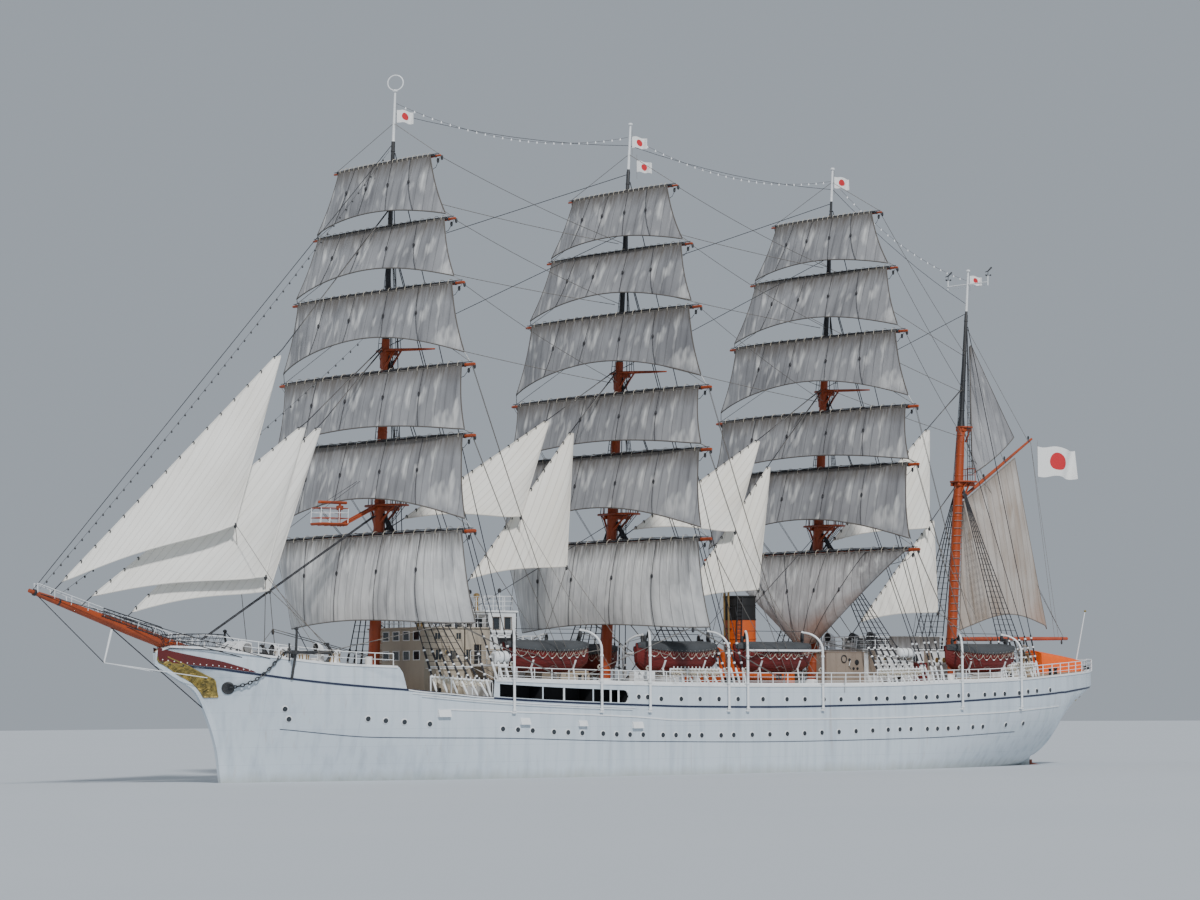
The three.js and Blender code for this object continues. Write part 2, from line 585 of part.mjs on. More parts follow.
// Three-cornered sail between its luff (tack to head) and its clew, bellied to port
function threeCorner(tack, head, clew, belly, footArch) {
  const { lerp } = THREE.MathUtils;
  const grid = [0.04, 0.3, 0.65, 1].map((t) => [0, 0.3, 0.65, 1].map((s) => {
    const x = lerp(head[0], lerp(tack[0], clew[0], s), t);
    const z = lerp(head[1], lerp(tack[1], clew[2], s), t);
    const arch = footArch * Math.sin(Math.PI * s) * t * t;
    const swell = belly * Math.sin(Math.PI * s) * Math.sin(Math.PI * Math.min(1, t * 0.9));
    return vec(x, clew[1] * s * t + swell, z + arch);
  }));
  return slab(grid, SAIL_THICK, vec(0, 1, 0));
}

function makeStaysail({ name, mast, height, foot, tack, head, clew, belly }) {
  const upper = [mastX(mast, height) + mastRadius(mast, height) + 0.06, height];
  const stay = spar([foot, tack, head, upper].map(([x, z]) => vec(x, 0, z)), Array(4).fill(STAY_RADIUS), 5);
  add(name, join(stay, threeCorner(tack, head, clew, belly, 0.35)), PAINT.cream);
}

function makeForestay() {
  const { foot, height } = FORESTAY;
  const upper = vec(mastX("fore", height) + mastRadius("fore", height) + 0.06, 0, height);
  add("forestay", spar([vec(foot[0], 0, foot[1]), upper], [0.04, 0.04], 6), PAINT.darkSteel);
}

function makeSpanker() {
  const throat = [-29.72, 20.1];
  const peak = [-35.62, 23.72];
  const clew = [-38.97, 10.82];
  const tack = [-29.2, 10.33];
  const { lerp } = THREE.MathUtils;
  const grid = [0, 0.25, 0.5, 0.75, 1].map((t) => [0, 0.2, 0.4, 0.6, 0.8, 1].map((s) => {
    const x = lerp(lerp(throat[0], peak[0], s), lerp(tack[0], clew[0], s), t);
    const z = lerp(lerp(throat[1], peak[1], s), lerp(tack[1], clew[1], s), t);
    const arch = Math.sin(Math.PI * s) * t * t;
    return vec(x, 0.45 * Math.sin(Math.PI * s) * Math.sin(Math.PI * t), z + arch);
  }));
  add("spanker", slab(grid, SAIL_THICK, vec(0, 1, 0)), PAINT.canvas);
  const topsail = threeCorner([-30.84, 22.29], [-30.72, 32.49], [-35.57, 0, 25.32], 0.2, 0);
  add("gaff_topsail", topsail, PAINT.canvas);
  for (const [name, { inner, outer, radius, taper }] of [["gaff", GAFF], ["boom", BOOM]]) {
    const line = [inner, outer].map(([x, z]) => vec(x, 0, z));
    add(name, spar(line, [radius, radius * taper]), PAINT.orange);
  }
}

function makeBowsprit() {
  const { heel, tip, radius, tipRadius } = BOWSPRIT;
  const middle = [46.5, heel[1] + ((46.5 - heel[0]) * (tip[1] - heel[1])) / (tip[0] - heel[0])];
  const line = [heel, middle, tip].map(([x, z]) => vec(x, 0, z));
  add("bowsprit", spar(line, [radius, radius * 0.92, tipRadius], 12), PAINT.orange);
}

// Lifeboat with its canvas cover: keel, planked sides and the crowned cover above the gunwale
function boatShape() {
  const rings = [];
  for (const [u, wide, rise] of BOAT_RINGS) {
    const beam = BOAT.beam * wide;
    const keel = BOAT.keel + rise;
    const rail = BOAT.gunwale + BOAT.sheer * u * u;
    const crown = BOAT.crown * wide;
    const side = [
      [0.05 * beam, keel],
      [0.55 * beam, keel + 0.22],
      [0.92 * beam, keel + (rail - keel) * 0.55],
      [beam, rail],
      [0.55 * beam, rail + crown * 0.8],
      [0.04 * beam, rail + crown + 0.04],
    ];
    const port = side.map(([y, z]) => vec(u * BOAT.half, y, z));
    const starboard = side.map(([y, z]) => vec(u * BOAT.half, -y, z)).reverse();
    rings.push([...port, ...starboard]);
  }
  return loft(rings);
}

const boatY = (x) => halfAt(x) - BOAT.inboard;

function makeBoats() {
  for (const [word, side] of Object.entries(SIDES)) {
    BOATS.forEach((x, index) => {
      add(`lifeboat_${word}_${index + 1}`, boatShape().translate(x, side * boatY(x), 0), PAINT.boatRed);
    });
  }
}

// Pairs of curved davits, carried by the kerb that runs along the deck edge
function davit(x, side, towards) {
  const y = side * (halfAt(x) + 0.06 + DAVIT.radius);
  const { foot, knee, head, outreach, turn, radius } = DAVIT;
  const points = [vec(x, y, foot), vec(x, y, knee)];
  for (const degrees of [45, 90]) {
    const a = THREE.MathUtils.degToRad(degrees);
    const reach = 1 - Math.cos(a);
    const z = knee + (head - knee) * Math.sin(a);
    points.push(vec(x + towards * turn * reach, y - side * outreach * reach, z));
  }
  const arm = spar(points, [radius, radius, radius, radius * 0.8], 6);
  const bracket = box(x - 0.1, x + 0.1, side * (halfAt(x) - 0.3), y, topZ(x) + 0.03, topZ(x) + 0.16);
  return [arm, bracket];
}

function makeDavits() {
  for (const [word, side] of Object.entries(SIDES)) {
    const stops = [20.9, 16, 9.5, 4, -4, -11, -16, -20.4, -24.5, -28.5, -31.2];
    const kerb = loft(stops.map((x) => {
      const [outer, foot] = [halfAt(x) - 0.12, topZ(x) + GAP];
      const [inner, top] = [outer - 0.2, foot + 0.16];
      const corners = [[outer, foot], [inner, foot], [inner, top], [outer, top]];
      return corners.map(([y, z]) => vec(x, side * y, z));
    }));
    const arms = BOATS.flatMap((x) => [-1, 1].flatMap((end) => davit(x + end * DAVIT.spread, side, -end)));
    add(`davits_${word}`, join(kerb, ...arms), PAINT.white);
  }
}

// Deckhouse whose foot follows the deck
function deckhouse(fore, aft, half, top) {
  const knots = TOPS.map((row) => row[0]).filter((x) => x < fore && x > aft);
  const stations = [fore, ...knots, aft];
  return loft(stations.map((x) => {
    const foot = topZ(x) + GAP;
    return [vec(x, half, foot), vec(x, half, top), vec(x, -half, top), vec(x, -half, foot)];
  }));
}

function makeHouses() {
  const { fore, aft, half, top } = BRIDGE;
  const onWell = box(fore, WELL.aft + GAP, -half, half, WELL.deck + GAP, top);
  const onPoop = box(WELL.aft + 0.1, aft, -half, half, topZ(aft) + 0.06, top);
  const wings = box(21.2, 20.05, -5.75, 5.75, 7.42, 7.56);
  const chart = deckhouse(CHARTHOUSE.fore, CHARTHOUSE.aft, CHARTHOUSE.half, CHARTHOUSE.top);
  add("bridge_house", join(onWell, onPoop, wings, chart), PAINT.beige);
  add("aft_house", deckhouse(AFT_HOUSE.fore, AFT_HOUSE.aft, AFT_HOUSE.half, AFT_HOUSE.top), PAINT.white);
}

function makeWheelhouse() {
  const { fore, aft, half, top, wall } = WHEELHOUSE;
  const foot = CHARTHOUSE.top + GAP;
  const shell = box(aft, fore - 0.9, -half, half, foot, top);
  const room = box(aft + wall, fore - 0.9 - wall, -half + wall, half - wall, foot - 0.1, top - wall);
  const sill = top - 1.25;
  const lintel = top - 0.45;
  const front = [-1.7, -0.6, 0.5, 1.6].map((y) => box(fore - 1.3, fore, y - 0.35, y + 0.45, sill, lintel));
  const sides = [aft + 0.5, aft + 1.5].map((x) => box(x, x + 0.6, -half - 1, half + 1, sill, lintel));
  add("wheelhouse", cut(shell, room, ...front, ...sides), PAINT.white);
}

function makeFunnel() {
  const { x, radius, top, casing, fore, aft, half } = FUNNEL;
  const house = deckhouse(fore, aft, half, casing);
  const lip = radius + 0.06;
  const inner = radius - 0.12;
  const profile = [
    [0, casing - 0.2], [radius + 0.08, casing - 0.2], [radius, casing + 0.5], [radius, top - 0.12],
    [lip, top - 0.1], [lip, top], [inner, top], [inner, top - 0.9], [0, top - 0.9],
  ];
  const stack = new THREE.LatheGeometry(profile.map(([r, h]) => new THREE.Vector2(r, h)), 20);
  stack.rotateX(Math.PI / 2).translate(x, 0, 0);
  add("funnel", join(house, stack), PAINT.orange);
}

function makeSternCover() {
  const { fore, aft, half, foreTop, aftTop } = STERN_COVER;
  const ends = [[fore, foreTop], [-40.5, 8.4], [aft, aftTop]];
  const cover = loft(ends.map(([x, top]) => {
    const foot = topZ(x) + GAP + 0.02;
    const [wide, narrow] = [half, half * 0.85];
    const outline = [[wide, foot], [narrow, top - 0.25], [0, top], [-narrow, top - 0.25], [-wide, foot]];
    return outline.map(([y, z]) => vec(x, y, z));
  }));
  add("stern_cover", cover, PAINT.cover);
}

makeHull();
makeRudder();
for (const [word, side] of Object.entries(SIDES)) makePropeller(`propeller_${word}`, side);
makeBowsprit();
for (const mast of Object.keys(MASTS)) makeMast(mast);
makeLookout();
for (const mast of ["fore", "main", "mizzen"]) {
  for (const row of YARDS) makeYard(mast, row);
  makeSquareSails(mast);
}
for (const row of STAYSAILS) makeStaysail(row);
makeForestay();
makeSpanker();
makeBoats();
makeDavits();
makeHouses();
makeWheelhouse();
makeFunnel();
makeSternCover();

export default ship;
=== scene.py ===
"""Looks of a four-masted barque lying afloat with her sails set, a scale model at 1:10.

Sizes are in metres of the real ship, and MODEL turns them into the frame's metres.
X runs forward from amidships, Y to port and Z up from the waterline.
"""
import json
import math

import bpy
import numpy as np
from mathutils import Matrix, Vector

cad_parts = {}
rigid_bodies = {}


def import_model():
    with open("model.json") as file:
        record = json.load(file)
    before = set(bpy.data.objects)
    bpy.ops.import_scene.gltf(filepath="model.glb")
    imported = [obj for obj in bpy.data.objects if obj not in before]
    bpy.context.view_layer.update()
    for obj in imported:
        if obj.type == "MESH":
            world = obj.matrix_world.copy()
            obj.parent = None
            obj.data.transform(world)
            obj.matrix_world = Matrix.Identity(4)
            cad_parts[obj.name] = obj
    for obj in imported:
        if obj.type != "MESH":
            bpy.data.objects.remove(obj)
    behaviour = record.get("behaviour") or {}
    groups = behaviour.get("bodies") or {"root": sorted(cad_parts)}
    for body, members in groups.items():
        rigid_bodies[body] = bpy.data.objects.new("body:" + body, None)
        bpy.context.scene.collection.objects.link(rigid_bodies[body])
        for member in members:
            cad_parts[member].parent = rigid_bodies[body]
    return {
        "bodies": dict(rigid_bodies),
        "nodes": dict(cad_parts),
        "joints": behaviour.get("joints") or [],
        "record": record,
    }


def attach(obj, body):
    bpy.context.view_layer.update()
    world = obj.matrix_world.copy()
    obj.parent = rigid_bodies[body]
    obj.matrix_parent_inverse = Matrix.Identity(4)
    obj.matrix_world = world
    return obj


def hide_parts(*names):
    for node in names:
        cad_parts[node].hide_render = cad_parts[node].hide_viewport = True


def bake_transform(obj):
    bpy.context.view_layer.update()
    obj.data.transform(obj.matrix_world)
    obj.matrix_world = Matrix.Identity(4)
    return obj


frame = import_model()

MODEL = 0.1
PORT, STARBOARD = 1, -1
SIDES = (("port", PORT), ("starboard", STARBOARD))
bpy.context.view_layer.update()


# Camera

IMAGE_WIDTH = 1200
FOCAL_PIXELS = 3706.33
CAMERA_AT = (176.489, 195.789, 4.6256)
YAW, PITCH, ROLL = 0.713761, 0.069431, -0.007384


def make_camera():
    forward = Vector((-math.sin(YAW) * math.cos(PITCH), -math.cos(YAW) * math.cos(PITCH), math.sin(PITCH)))
    right = forward.cross(Vector((0, 0, 1))).normalized()
    up = right.cross(forward)
    c, s = math.cos(ROLL), math.sin(ROLL)
    right, up = right * c + up * s, up * c - right * s
    camera = bpy.data.objects.new("camera", bpy.data.cameras.new("camera"))
    turn = Matrix((right, up, -forward)).transposed().to_4x4()
    camera.matrix_world = Matrix.Translation(Vector(CAMERA_AT) * MODEL) @ turn
    camera.data.sensor_width = 36
    camera.data.lens = FOCAL_PIXELS / IMAGE_WIDTH * camera.data.sensor_width
    camera.data.clip_start, camera.data.clip_end = 0.1, 400
    bpy.context.scene.collection.objects.link(camera)
    bpy.context.scene.camera = camera


make_camera()


# Materials

class Nodes:
    """Short names for building a material's node tree."""

    def __init__(self, name):
        self.material = bpy.data.materials.new(name)
        self.material.use_nodes = True
        self.tree = self.material.node_tree
        self.shader = self.tree.nodes["Principled BSDF"]
        self.place = self.node("ShaderNodeTexCoord").outputs["Object"]
        self.uv = self.node("ShaderNodeTexCoord").outputs["UV"]

    def node(self, kind, **settings):
        made = self.tree.nodes.new(kind)
        for key, value in settings.items():
            setattr(made, key, value)
        return made

    def link(self, value, socket):
        if isinstance(value, bpy.types.NodeSocket):
            self.tree.links.new(value, socket)
        else:
            socket.default_value = value

    def math(self, operation, a, b=0.0, c=0.0):
        made = self.node("ShaderNodeMath", operation=operation)
        for value, socket in zip((a, b, c), made.inputs):
            self.link(value, socket)
        return made.outputs[0]

    def scaled(self, vector, scale):
        made = self.node("ShaderNodeMapping")
        self.link(vector, made.inputs["Vector"])
        made.inputs["Scale"].default_value = scale
        return made.outputs[0]

    def noise(self, scale, detail=3.0, vector=None, stretch=(1, 1, 1)):
        made = self.node("ShaderNodeTexNoise")
        self.link(self.scaled(vector or self.place, stretch), made.inputs["Vector"])
        made.inputs["Scale"].default_value = scale
        made.inputs["Detail"].default_value = detail
        return made.outputs["Fac"]

    def axis(self, vector, name):
        made = self.node("ShaderNodeSeparateXYZ")
        self.link(vector, made.inputs[0])
        return made.outputs[name]

    def ramp(self, value, low, high, to_low=0.0, to_high=1.0):
        made = self.node("ShaderNodeMapRange", clamp=True)
        for item, socket in zip((value, low, high, to_low, to_high), made.inputs):
            self.link(item, socket)
        return made.outputs[0]

    def mix(self, share, a, b):
        made = self.node("ShaderNodeMix", data_type="RGBA", clamp_factor=True)
        self.link(share, made.inputs["Factor"])
        for value, socket in zip((a, b), (made.inputs[6], made.inputs[7])):
            self.link(value if isinstance(value, bpy.types.NodeSocket) else (*value, 1.0), socket)
        return made.outputs[2]

    def lines(self, value, spacing, width):
        """1 on thin lines that repeat every spacing, 0 between them."""
        share = self.math("FRACT", self.math("DIVIDE", value, spacing))
        off = self.math("ABSOLUTE", self.math("SUBTRACT", share, 0.5))
        return self.ramp(off, 0.5 - width / spacing, 0.5 - width / spacing * 0.4)

    def bump(self, height, strength, distance=0.002):
        made = self.node("ShaderNodeBump")
        made.inputs["Strength"].default_value = strength
        made.inputs["Distance"].default_value = distance
        self.link(height, made.inputs["Height"])
        self.link(made.outputs["Normal"], self.shader.inputs["Normal"])

    def finish(self, color, roughness, metallic=0.0):
        flat = not isinstance(color, bpy.types.NodeSocket)
        self.link((*color, 1.0) if flat else color, self.shader.inputs["Base Color"])
        self.link(roughness, self.shader.inputs["Roughness"])
        self.shader.inputs["Metallic"].default_value = metallic
        return self.material


def paint(name, color, worn, roughness=0.4, metallic=0.0, wear=0.5, scale=9.0,
          stretch=(1, 1, 0.25), bump=0.15):
    """Paint with soft dirt and chips: color where it is fresh, worn where it is not."""
    n = Nodes(name)
    dirt = n.ramp(n.noise(scale, 6.0, stretch=stretch), 0.45, 0.75)
    chips = n.ramp(n.noise(scale * 9, 3.0), 0.6, 0.72)
    share = n.math("MULTIPLY", n.math("ADD", dirt, n.math("MULTIPLY", chips, 0.6)), wear)
    n.bump(n.math("ADD", n.noise(scale * 14), chips), bump)
    rough = n.ramp(share, 0.0, 1.0, roughness, min(1.0, roughness + 0.3))
    return n.finish(n.mix(share, color, worn), rough, metallic)


def hull_paint():
    n = Nodes("hull_paint")
    x, z = n.axis(n.place, "X"), n.axis(n.place, "Z")
    streak = n.ramp(n.noise(3.2, 7.0, stretch=(5.5, 5.5, 0.5)), 0.47, 0.8)
    rust = n.ramp(n.noise(5.0, 5.0, stretch=(7, 7, 0.35)), 0.62, 0.8)
    plates = n.math("MAXIMUM", n.lines(z, 0.112, 0.0012), n.lines(x, 0.62, 0.0012))
    # the hull's white is given pale blue-grey, darker than the white trim: painted sky shade over white paint
    white = n.mix(n.math("MULTIPLY", streak, 0.6), (0.61, 0.68, 0.74), (0.36, 0.43, 0.49))
    white = n.mix(n.math("MULTIPLY", rust, 0.25), white, (0.36, 0.22, 0.12))
    white = n.mix(n.math("MULTIPLY", plates, 0.3), white, (0.22, 0.27, 0.33))
    edge = n.math("MULTIPLY", n.noise(4.0, 6.0, stretch=(3, 3, 1)), 0.08)
    scum = n.ramp(n.math("ADD", z, edge), 0.03, 0.11, 1.0, 0.0)
    white = n.mix(n.math("MULTIPLY", scum, 0.55), white, (0.33, 0.34, 0.27))
    weed = n.mix(n.ramp(n.noise(9.0, 6.0), 0.4, 0.7), (0.33, 0.085, 0.055), (0.2, 0.1, 0.07))
    under = n.math("LESS_THAN", z, 0.0)
    dents = n.noise(16.0, 4.0, stretch=(1, 1, 0.4))
    n.bump(n.math("ADD", dents, n.math("MULTIPLY", plates, 0.7)), 0.25, 0.003)
    return n.finish(n.mix(under, white, weed), n.ramp(streak, 0, 1, 0.32, 0.55))


def planks(name, along, across, color, dark):
    """Deck planks that run along one axis, with caulked seams and butts."""
    n = Nodes(name)
    u, v = n.axis(n.place, along), n.axis(n.place, across)
    seams = n.lines(v, 0.013, 0.0012)
    row = n.math("FLOOR", n.math("DIVIDE", v, 0.013))
    shift = n.math("MULTIPLY", n.math("FRACT", n.math("MULTIPLY", row, 0.37)), 0.6)
    butts = n.lines(n.math("ADD", u, shift), 0.6, 0.0012)
    tone = n.node("ShaderNodeTexWhiteNoise", noise_dimensions="1D")
    n.link(row, tone.inputs["W"])
    grain = n.noise(30.0, 5.0, stretch=(0.2, 2, 1) if along == "X" else (2, 0.2, 1))
    share = n.math("MULTIPLY", n.math("ADD", tone.outputs["Value"], grain), 0.45)
    wood = n.mix(share, color, dark)
    gaps = n.math("MAXIMUM", seams, butts)
    n.bump(n.math("SUBTRACT", grain, gaps), 0.3)
    return n.finish(n.mix(gaps, wood, (0.05, 0.04, 0.035)), 0.75)


def canvas(name, color, stain, seam_width, seam_dark=0.5, stains=0.6, head_shade_and_grime=0.0, glow=0.0, foot=0.0,
           wrinkle=0.004):
    """Sailcloth: panels sewn side by side across the U direction, with creases, stains and weave.

    Its head darkening paints shade and grime on the head of the sail, just under the yard where V is near 0,
    and gathers it into small folds. Glow paints thin, bright patches below the head, as of light shining
    through the cloth, and foot is how far down, in model metres, rust-brown stains are deepest. Wrinkle is
    the depth of its creases.
    """
    n = Nodes(name)
    u, v = n.axis(n.uv, "X"), n.axis(n.uv, "Y")
    seams = n.lines(u, seam_width, 0.0045)
    tone = n.node("ShaderNodeTexWhiteNoise", noise_dimensions="1D")
    n.link(n.math("FLOOR", n.math("DIVIDE", u, seam_width)), tone.inputs["W"])
    cloud = n.ramp(n.noise(2.2, 6.0), 0.38, 0.72)
    streak = n.ramp(n.noise(5.0, 5.0, vector=n.uv, stretch=(4, 0.35, 1)), 0.45, 0.75)
    marks = n.math("ADD", n.math("MULTIPLY", cloud, 0.6), n.math("MULTIPLY", streak, 0.5))
    panels = n.math("MULTIPLY", tone.outputs["Value"], 0.12)
    share = n.math("ADD", n.math("MULTIPLY", marks, stains), panels)
    cloth = n.mix(share, color, stain)
    cloth = n.mix(n.math("MULTIPLY", seams, seam_dark), cloth, tuple(0.35 * c for c in stain))
    # painted light: thin bright patches below the head, where light would shine through the cloth
    thin = n.ramp(n.noise(6.5, 2.0, vector=n.uv, stretch=(1.7, 0.6, 1)), 0.54, 0.68)
    below_head = n.math("MULTIPLY", n.ramp(v, 0.02, 0.1), n.ramp(v, 0.2, 0.55, 1.0, 0.3))
    glow_light = n.math("MULTIPLY", n.math("MULTIPLY", thin, below_head), glow)
    cloth = n.mix(glow_light, cloth, (0.8, 0.79, 0.76))
    if foot:
        brown = n.math("MULTIPLY", n.ramp(v, 0.7 * foot, foot), n.ramp(n.noise(3.0, 3.0), 0.3, 0.6))
        cloth = n.mix(n.math("MULTIPLY", brown, 0.7), cloth, (0.3, 0.15, 0.09))
    # painted shade with grime: the head of the sail darkens just under the yard
    near_head = n.ramp(v, 0.0, 0.16, 1.0, 0.0)
    folds = n.noise(9.0, 3.0, vector=n.uv, stretch=(4, 0.5, 1))
    patchy = n.ramp(n.math("MULTIPLY", near_head, folds), 0.08, 0.5)
    cloth = n.mix(n.math("MULTIPLY", patchy, head_shade_and_grime), cloth, (0.1, 0.085, 0.07))
    gathers = n.math("MULTIPLY", n.ramp(v, 0.0, 0.3, 1.0, 0.0), n.math("MULTIPLY", folds, 3.0 * head_shade_and_grime))
    crease = n.math("ADD", n.noise(13.0, 4.0, vector=n.uv, stretch=(1, 0.5, 1)), gathers)
    weave = n.noise(420.0, 1.0, vector=n.uv)
    sewn = n.math("ADD", n.math("MULTIPLY", weave, 0.25), seams)
    n.bump(n.math("ADD", n.math("MULTIPLY", crease, 2.2), sewn), 0.5, wrinkle)
    n.shader.inputs["Sheen Weight"].default_value = 0.15
    return n.finish(cloth, 0.9)


def rope(name, color, light, twist=0.012):
    n = Nodes(name)
    lay = n.node("ShaderNodeTexWave", wave_type="BANDS", bands_direction="DIAGONAL")
    n.link(n.place, lay.inputs["Vector"])
    lay.inputs["Scale"].default_value = 0.3 / twist
    lay.inputs["Distortion"].default_value = 1.5
    n.bump(lay.outputs["Fac"], 0.4, 0.001)
    return n.finish(n.mix(n.math("MULTIPLY", lay.outputs["Fac"], n.noise(20.0)), color, light), 0.8)


def glass(name, color):
    n = Nodes(name)
    n.bump(n.noise(25.0), 0.08)
    n.shader.inputs["Specular IOR Level"].default_value = 0.7
    return n.finish(n.mix(n.noise(12.0), color, tuple(c * 2.2 + 0.01 for c in color)), 0.12)


def flag_cloth():
    """White field with a red disc at its middle; the UV map runs from 0 to 1 both ways."""
    n = Nodes("flag_cloth")
    dx = n.math("MULTIPLY", n.math("SUBTRACT", n.axis(n.uv, "X"), 0.5), 1.5)
    dy = n.math("SUBTRACT", n.axis(n.uv, "Y"), 0.5)
    reach = n.math("SQRT", n.math("ADD", n.math("MULTIPLY", dx, dx), n.math("MULTIPLY", dy, dy)))
    disc = n.ramp(reach, 0.3, 0.296)
    n.bump(n.noise(160.0, 2.0, vector=n.uv), 0.2)
    return n.finish(n.mix(disc, (0.86, 0.86, 0.84), (0.6, 0.03, 0.04)), 0.85)


def gilded():
    n = Nodes("gilded")
    dull = n.ramp(n.noise(30.0, 5.0), 0.35, 0.65)
    n.bump(n.noise(45.0, 4.0), 0.8, 0.004)
    return n.finish(n.mix(dull, (0.52, 0.38, 0.1), (0.16, 0.13, 0.05)), n.ramp(dull, 0, 1, 0.35, 0.65), 0.55)


HULL = hull_paint()
DECK = planks("deck_planks", "X", "Y", (0.47, 0.36, 0.24), (0.33, 0.25, 0.17))
WHITE = paint("white_paint", (0.84, 0.86, 0.87), (0.5, 0.47, 0.42), 0.35, wear=0.3)
# house paint darkened partly as painted shade, the bridge front being in shade
BEIGE = paint("house_paint", (0.46, 0.4, 0.315), (0.3, 0.25, 0.19), 0.5, wear=0.5)
TAUPE = paint("locker_paint", (0.3, 0.24, 0.19), (0.2, 0.15, 0.12), 0.6, wear=0.6)
ORANGE = paint("spar_orange", (0.37, 0.058, 0.01), (0.16, 0.035, 0.016), 0.42,
               wear=0.75, stretch=(1, 1, 0.15))
FUNNEL = paint("funnel_orange", (0.6, 0.1, 0.01), (0.34, 0.06, 0.015), 0.45, wear=0.45)
SPAR_RED = paint("spar_red", (0.46, 0.08, 0.03), (0.2, 0.05, 0.03), 0.4, wear=0.6, stretch=(1, 0.2, 1))
BLACK = paint("black_paint", (0.022, 0.024, 0.028), (0.09, 0.085, 0.08), 0.45, wear=0.5)
SOOT = paint("funnel_black", (0.006, 0.006, 0.007), (0.03, 0.029, 0.028), 0.6, wear=0.35)
NAVY = paint("line_paint", (0.012, 0.018, 0.05), (0.05, 0.06, 0.09), 0.4, wear=0.4)
# near-black: painted shade inside the gallery, doorways, cowl mouths and holes
PAINTED_SHADE = paint("dark_inside", (0.008, 0.009, 0.011), (0.025, 0.026, 0.028), 0.7, wear=0.4)
# boat red darkened partly as painted shade, towards the boats' red seen in shade
BOAT_RED = paint("boat_red", (0.14, 0.006, 0.004), (0.065, 0.007, 0.006), 0.5, wear=0.5)
MAROON = paint("maroon_board", (0.115, 0.012, 0.012), (0.05, 0.012, 0.012), 0.4, wear=0.5)
ORANGE_CANVAS = paint("orange_canvas", (0.9, 0.13, 0.01), (0.62, 0.09, 0.015), 0.8, wear=0.5, scale=5.0)
COVER_GREY = paint("cover_grey", (0.062, 0.067, 0.072), (0.03, 0.033, 0.037), 0.85,
                   wear=0.8, scale=6.0, bump=0.4)
BRONZE = paint("bronze", (0.5, 0.33, 0.14), (0.16, 0.2, 0.13), 0.35, 0.85, wear=0.6)
ANTIFOUL = paint("antifouling", (0.33, 0.085, 0.055), (0.2, 0.1, 0.07), 0.7, wear=0.8)
STEEL = paint("galvanised", (0.42, 0.43, 0.43), (0.25, 0.2, 0.16), 0.45, 0.6, wear=0.6)
WIRE = rope("tarred_wire", (0.018, 0.018, 0.022), (0.07, 0.07, 0.075))
LINE = rope("running_line", (0.13, 0.12, 0.11), (0.32, 0.29, 0.25))
HEMP = rope("coiled_line", (0.5, 0.45, 0.36), (0.7, 0.66, 0.56))
GLASS = glass("window_glass", (0.012, 0.016, 0.02))
GOLD = gilded()
FLAG = flag_cloth()
# one canvas in two copies: the sails above the courses darkened to mid grey as painted shade, the courses
# lightened as painted sunlight
SHADED_SAIL_CLOTH = canvas("sail_canvas", (0.36, 0.36, 0.37), (0.12, 0.12, 0.13), 0.085, seam_dark=0.35,
                      stains=0.95, head_shade_and_grime=0.9, glow=0.75)
LIT_COURSE_CLOTH = canvas("course_canvas", (0.76, 0.75, 0.73), (0.2, 0.2, 0.21), 0.085, seam_dark=0.3,
                      stains=0.85, head_shade_and_grime=0.85, glow=1.0, wrinkle=0.012)
CLEWED_CLOTH = canvas("clewed_canvas", (0.62, 0.61, 0.6), (0.19, 0.18, 0.18), 0.085, seam_dark=0.3,
                      stains=0.95, head_shade_and_grime=0.8, glow=1.0, foot=0.62, wrinkle=0.009)
STAY_CLOTH = canvas("staysail_cloth", (0.96, 0.93, 0.85), (0.72, 0.62, 0.48), 0.062,
                    seam_dark=0.25, stains=0.4)
JIB_CLOTH = canvas("jib_cloth", (0.95, 0.93, 0.87), (0.6, 0.55, 0.47), 0.062, seam_dark=0.14, stains=0.4)
SPANKER_CLOTH = canvas("spanker_cloth", (0.5, 0.46, 0.42), (0.27, 0.19, 0.13), 0.07, seam_dark=0.35,
                       stains=0.9, head_shade_and_grime=0.4, glow=0.3, foot=1.35)


# Mesh helpers

class Shape:
    """Points and faces that grow bit by bit; each face keeps the material it was added with."""

    def __init__(self):
        self.points, self.faces, self.kinds, self.materials, self.count = [], [], [], [], 0

    def add(self, points, faces, material):
        points = np.asarray(points, float).reshape(-1, 3)
        if material not in self.materials:
            self.materials.append(material)
        self.points.append(points)
        self.faces.extend(tuple(i + self.count for i in face) for face in faces)
        self.kinds.extend([self.materials.index(material)] * len(faces))
        self.count += len(points)

    def both(self, points, faces, material):
        """Adds the bit and its mirror image on the other side of the centre plane."""
        points = np.asarray(points, float).reshape(-1, 3)
        self.add(points, faces, material)
        self.add(points * (1, -1, 1), [face[::-1] for face in faces], material)

    def piece(self, name, body="ship", slot=None, replaces=(), sharp=35, uvs=None):
        mesh = bpy.data.meshes.new(name)
        mesh.from_pydata(np.vstack(self.points) * MODEL, [], self.faces)
        for material in self.materials:
            mesh.materials.append(material)
        mesh.polygons.foreach_set("material_index", self.kinds)
        if uvs is not None:
            layer = mesh.uv_layers.new(name="UVMap")
            corners = np.empty(len(mesh.loops), int)
            mesh.loops.foreach_get("vertex_index", corners)
            layer.data.foreach_set("uv", np.asarray(uvs)[corners].ravel())
        mesh.shade_smooth()
        mesh.set_sharp_from_angle(angle=math.radians(sharp))
        made = bpy.data.objects.new(name, mesh)
        bpy.context.scene.collection.objects.link(made)
        if body:
            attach(made, body)
        if replaces:
            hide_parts(*replaces)
        return made


def grid_faces(rows, columns, wrap=False):
    faces = []
    for i in range(rows - 1):
        for j in range(columns if wrap else columns - 1):
            a, b = i * columns + j, i * columns + (j + 1) % columns
            faces.append((a, b, b + columns, a + columns))
    return faces


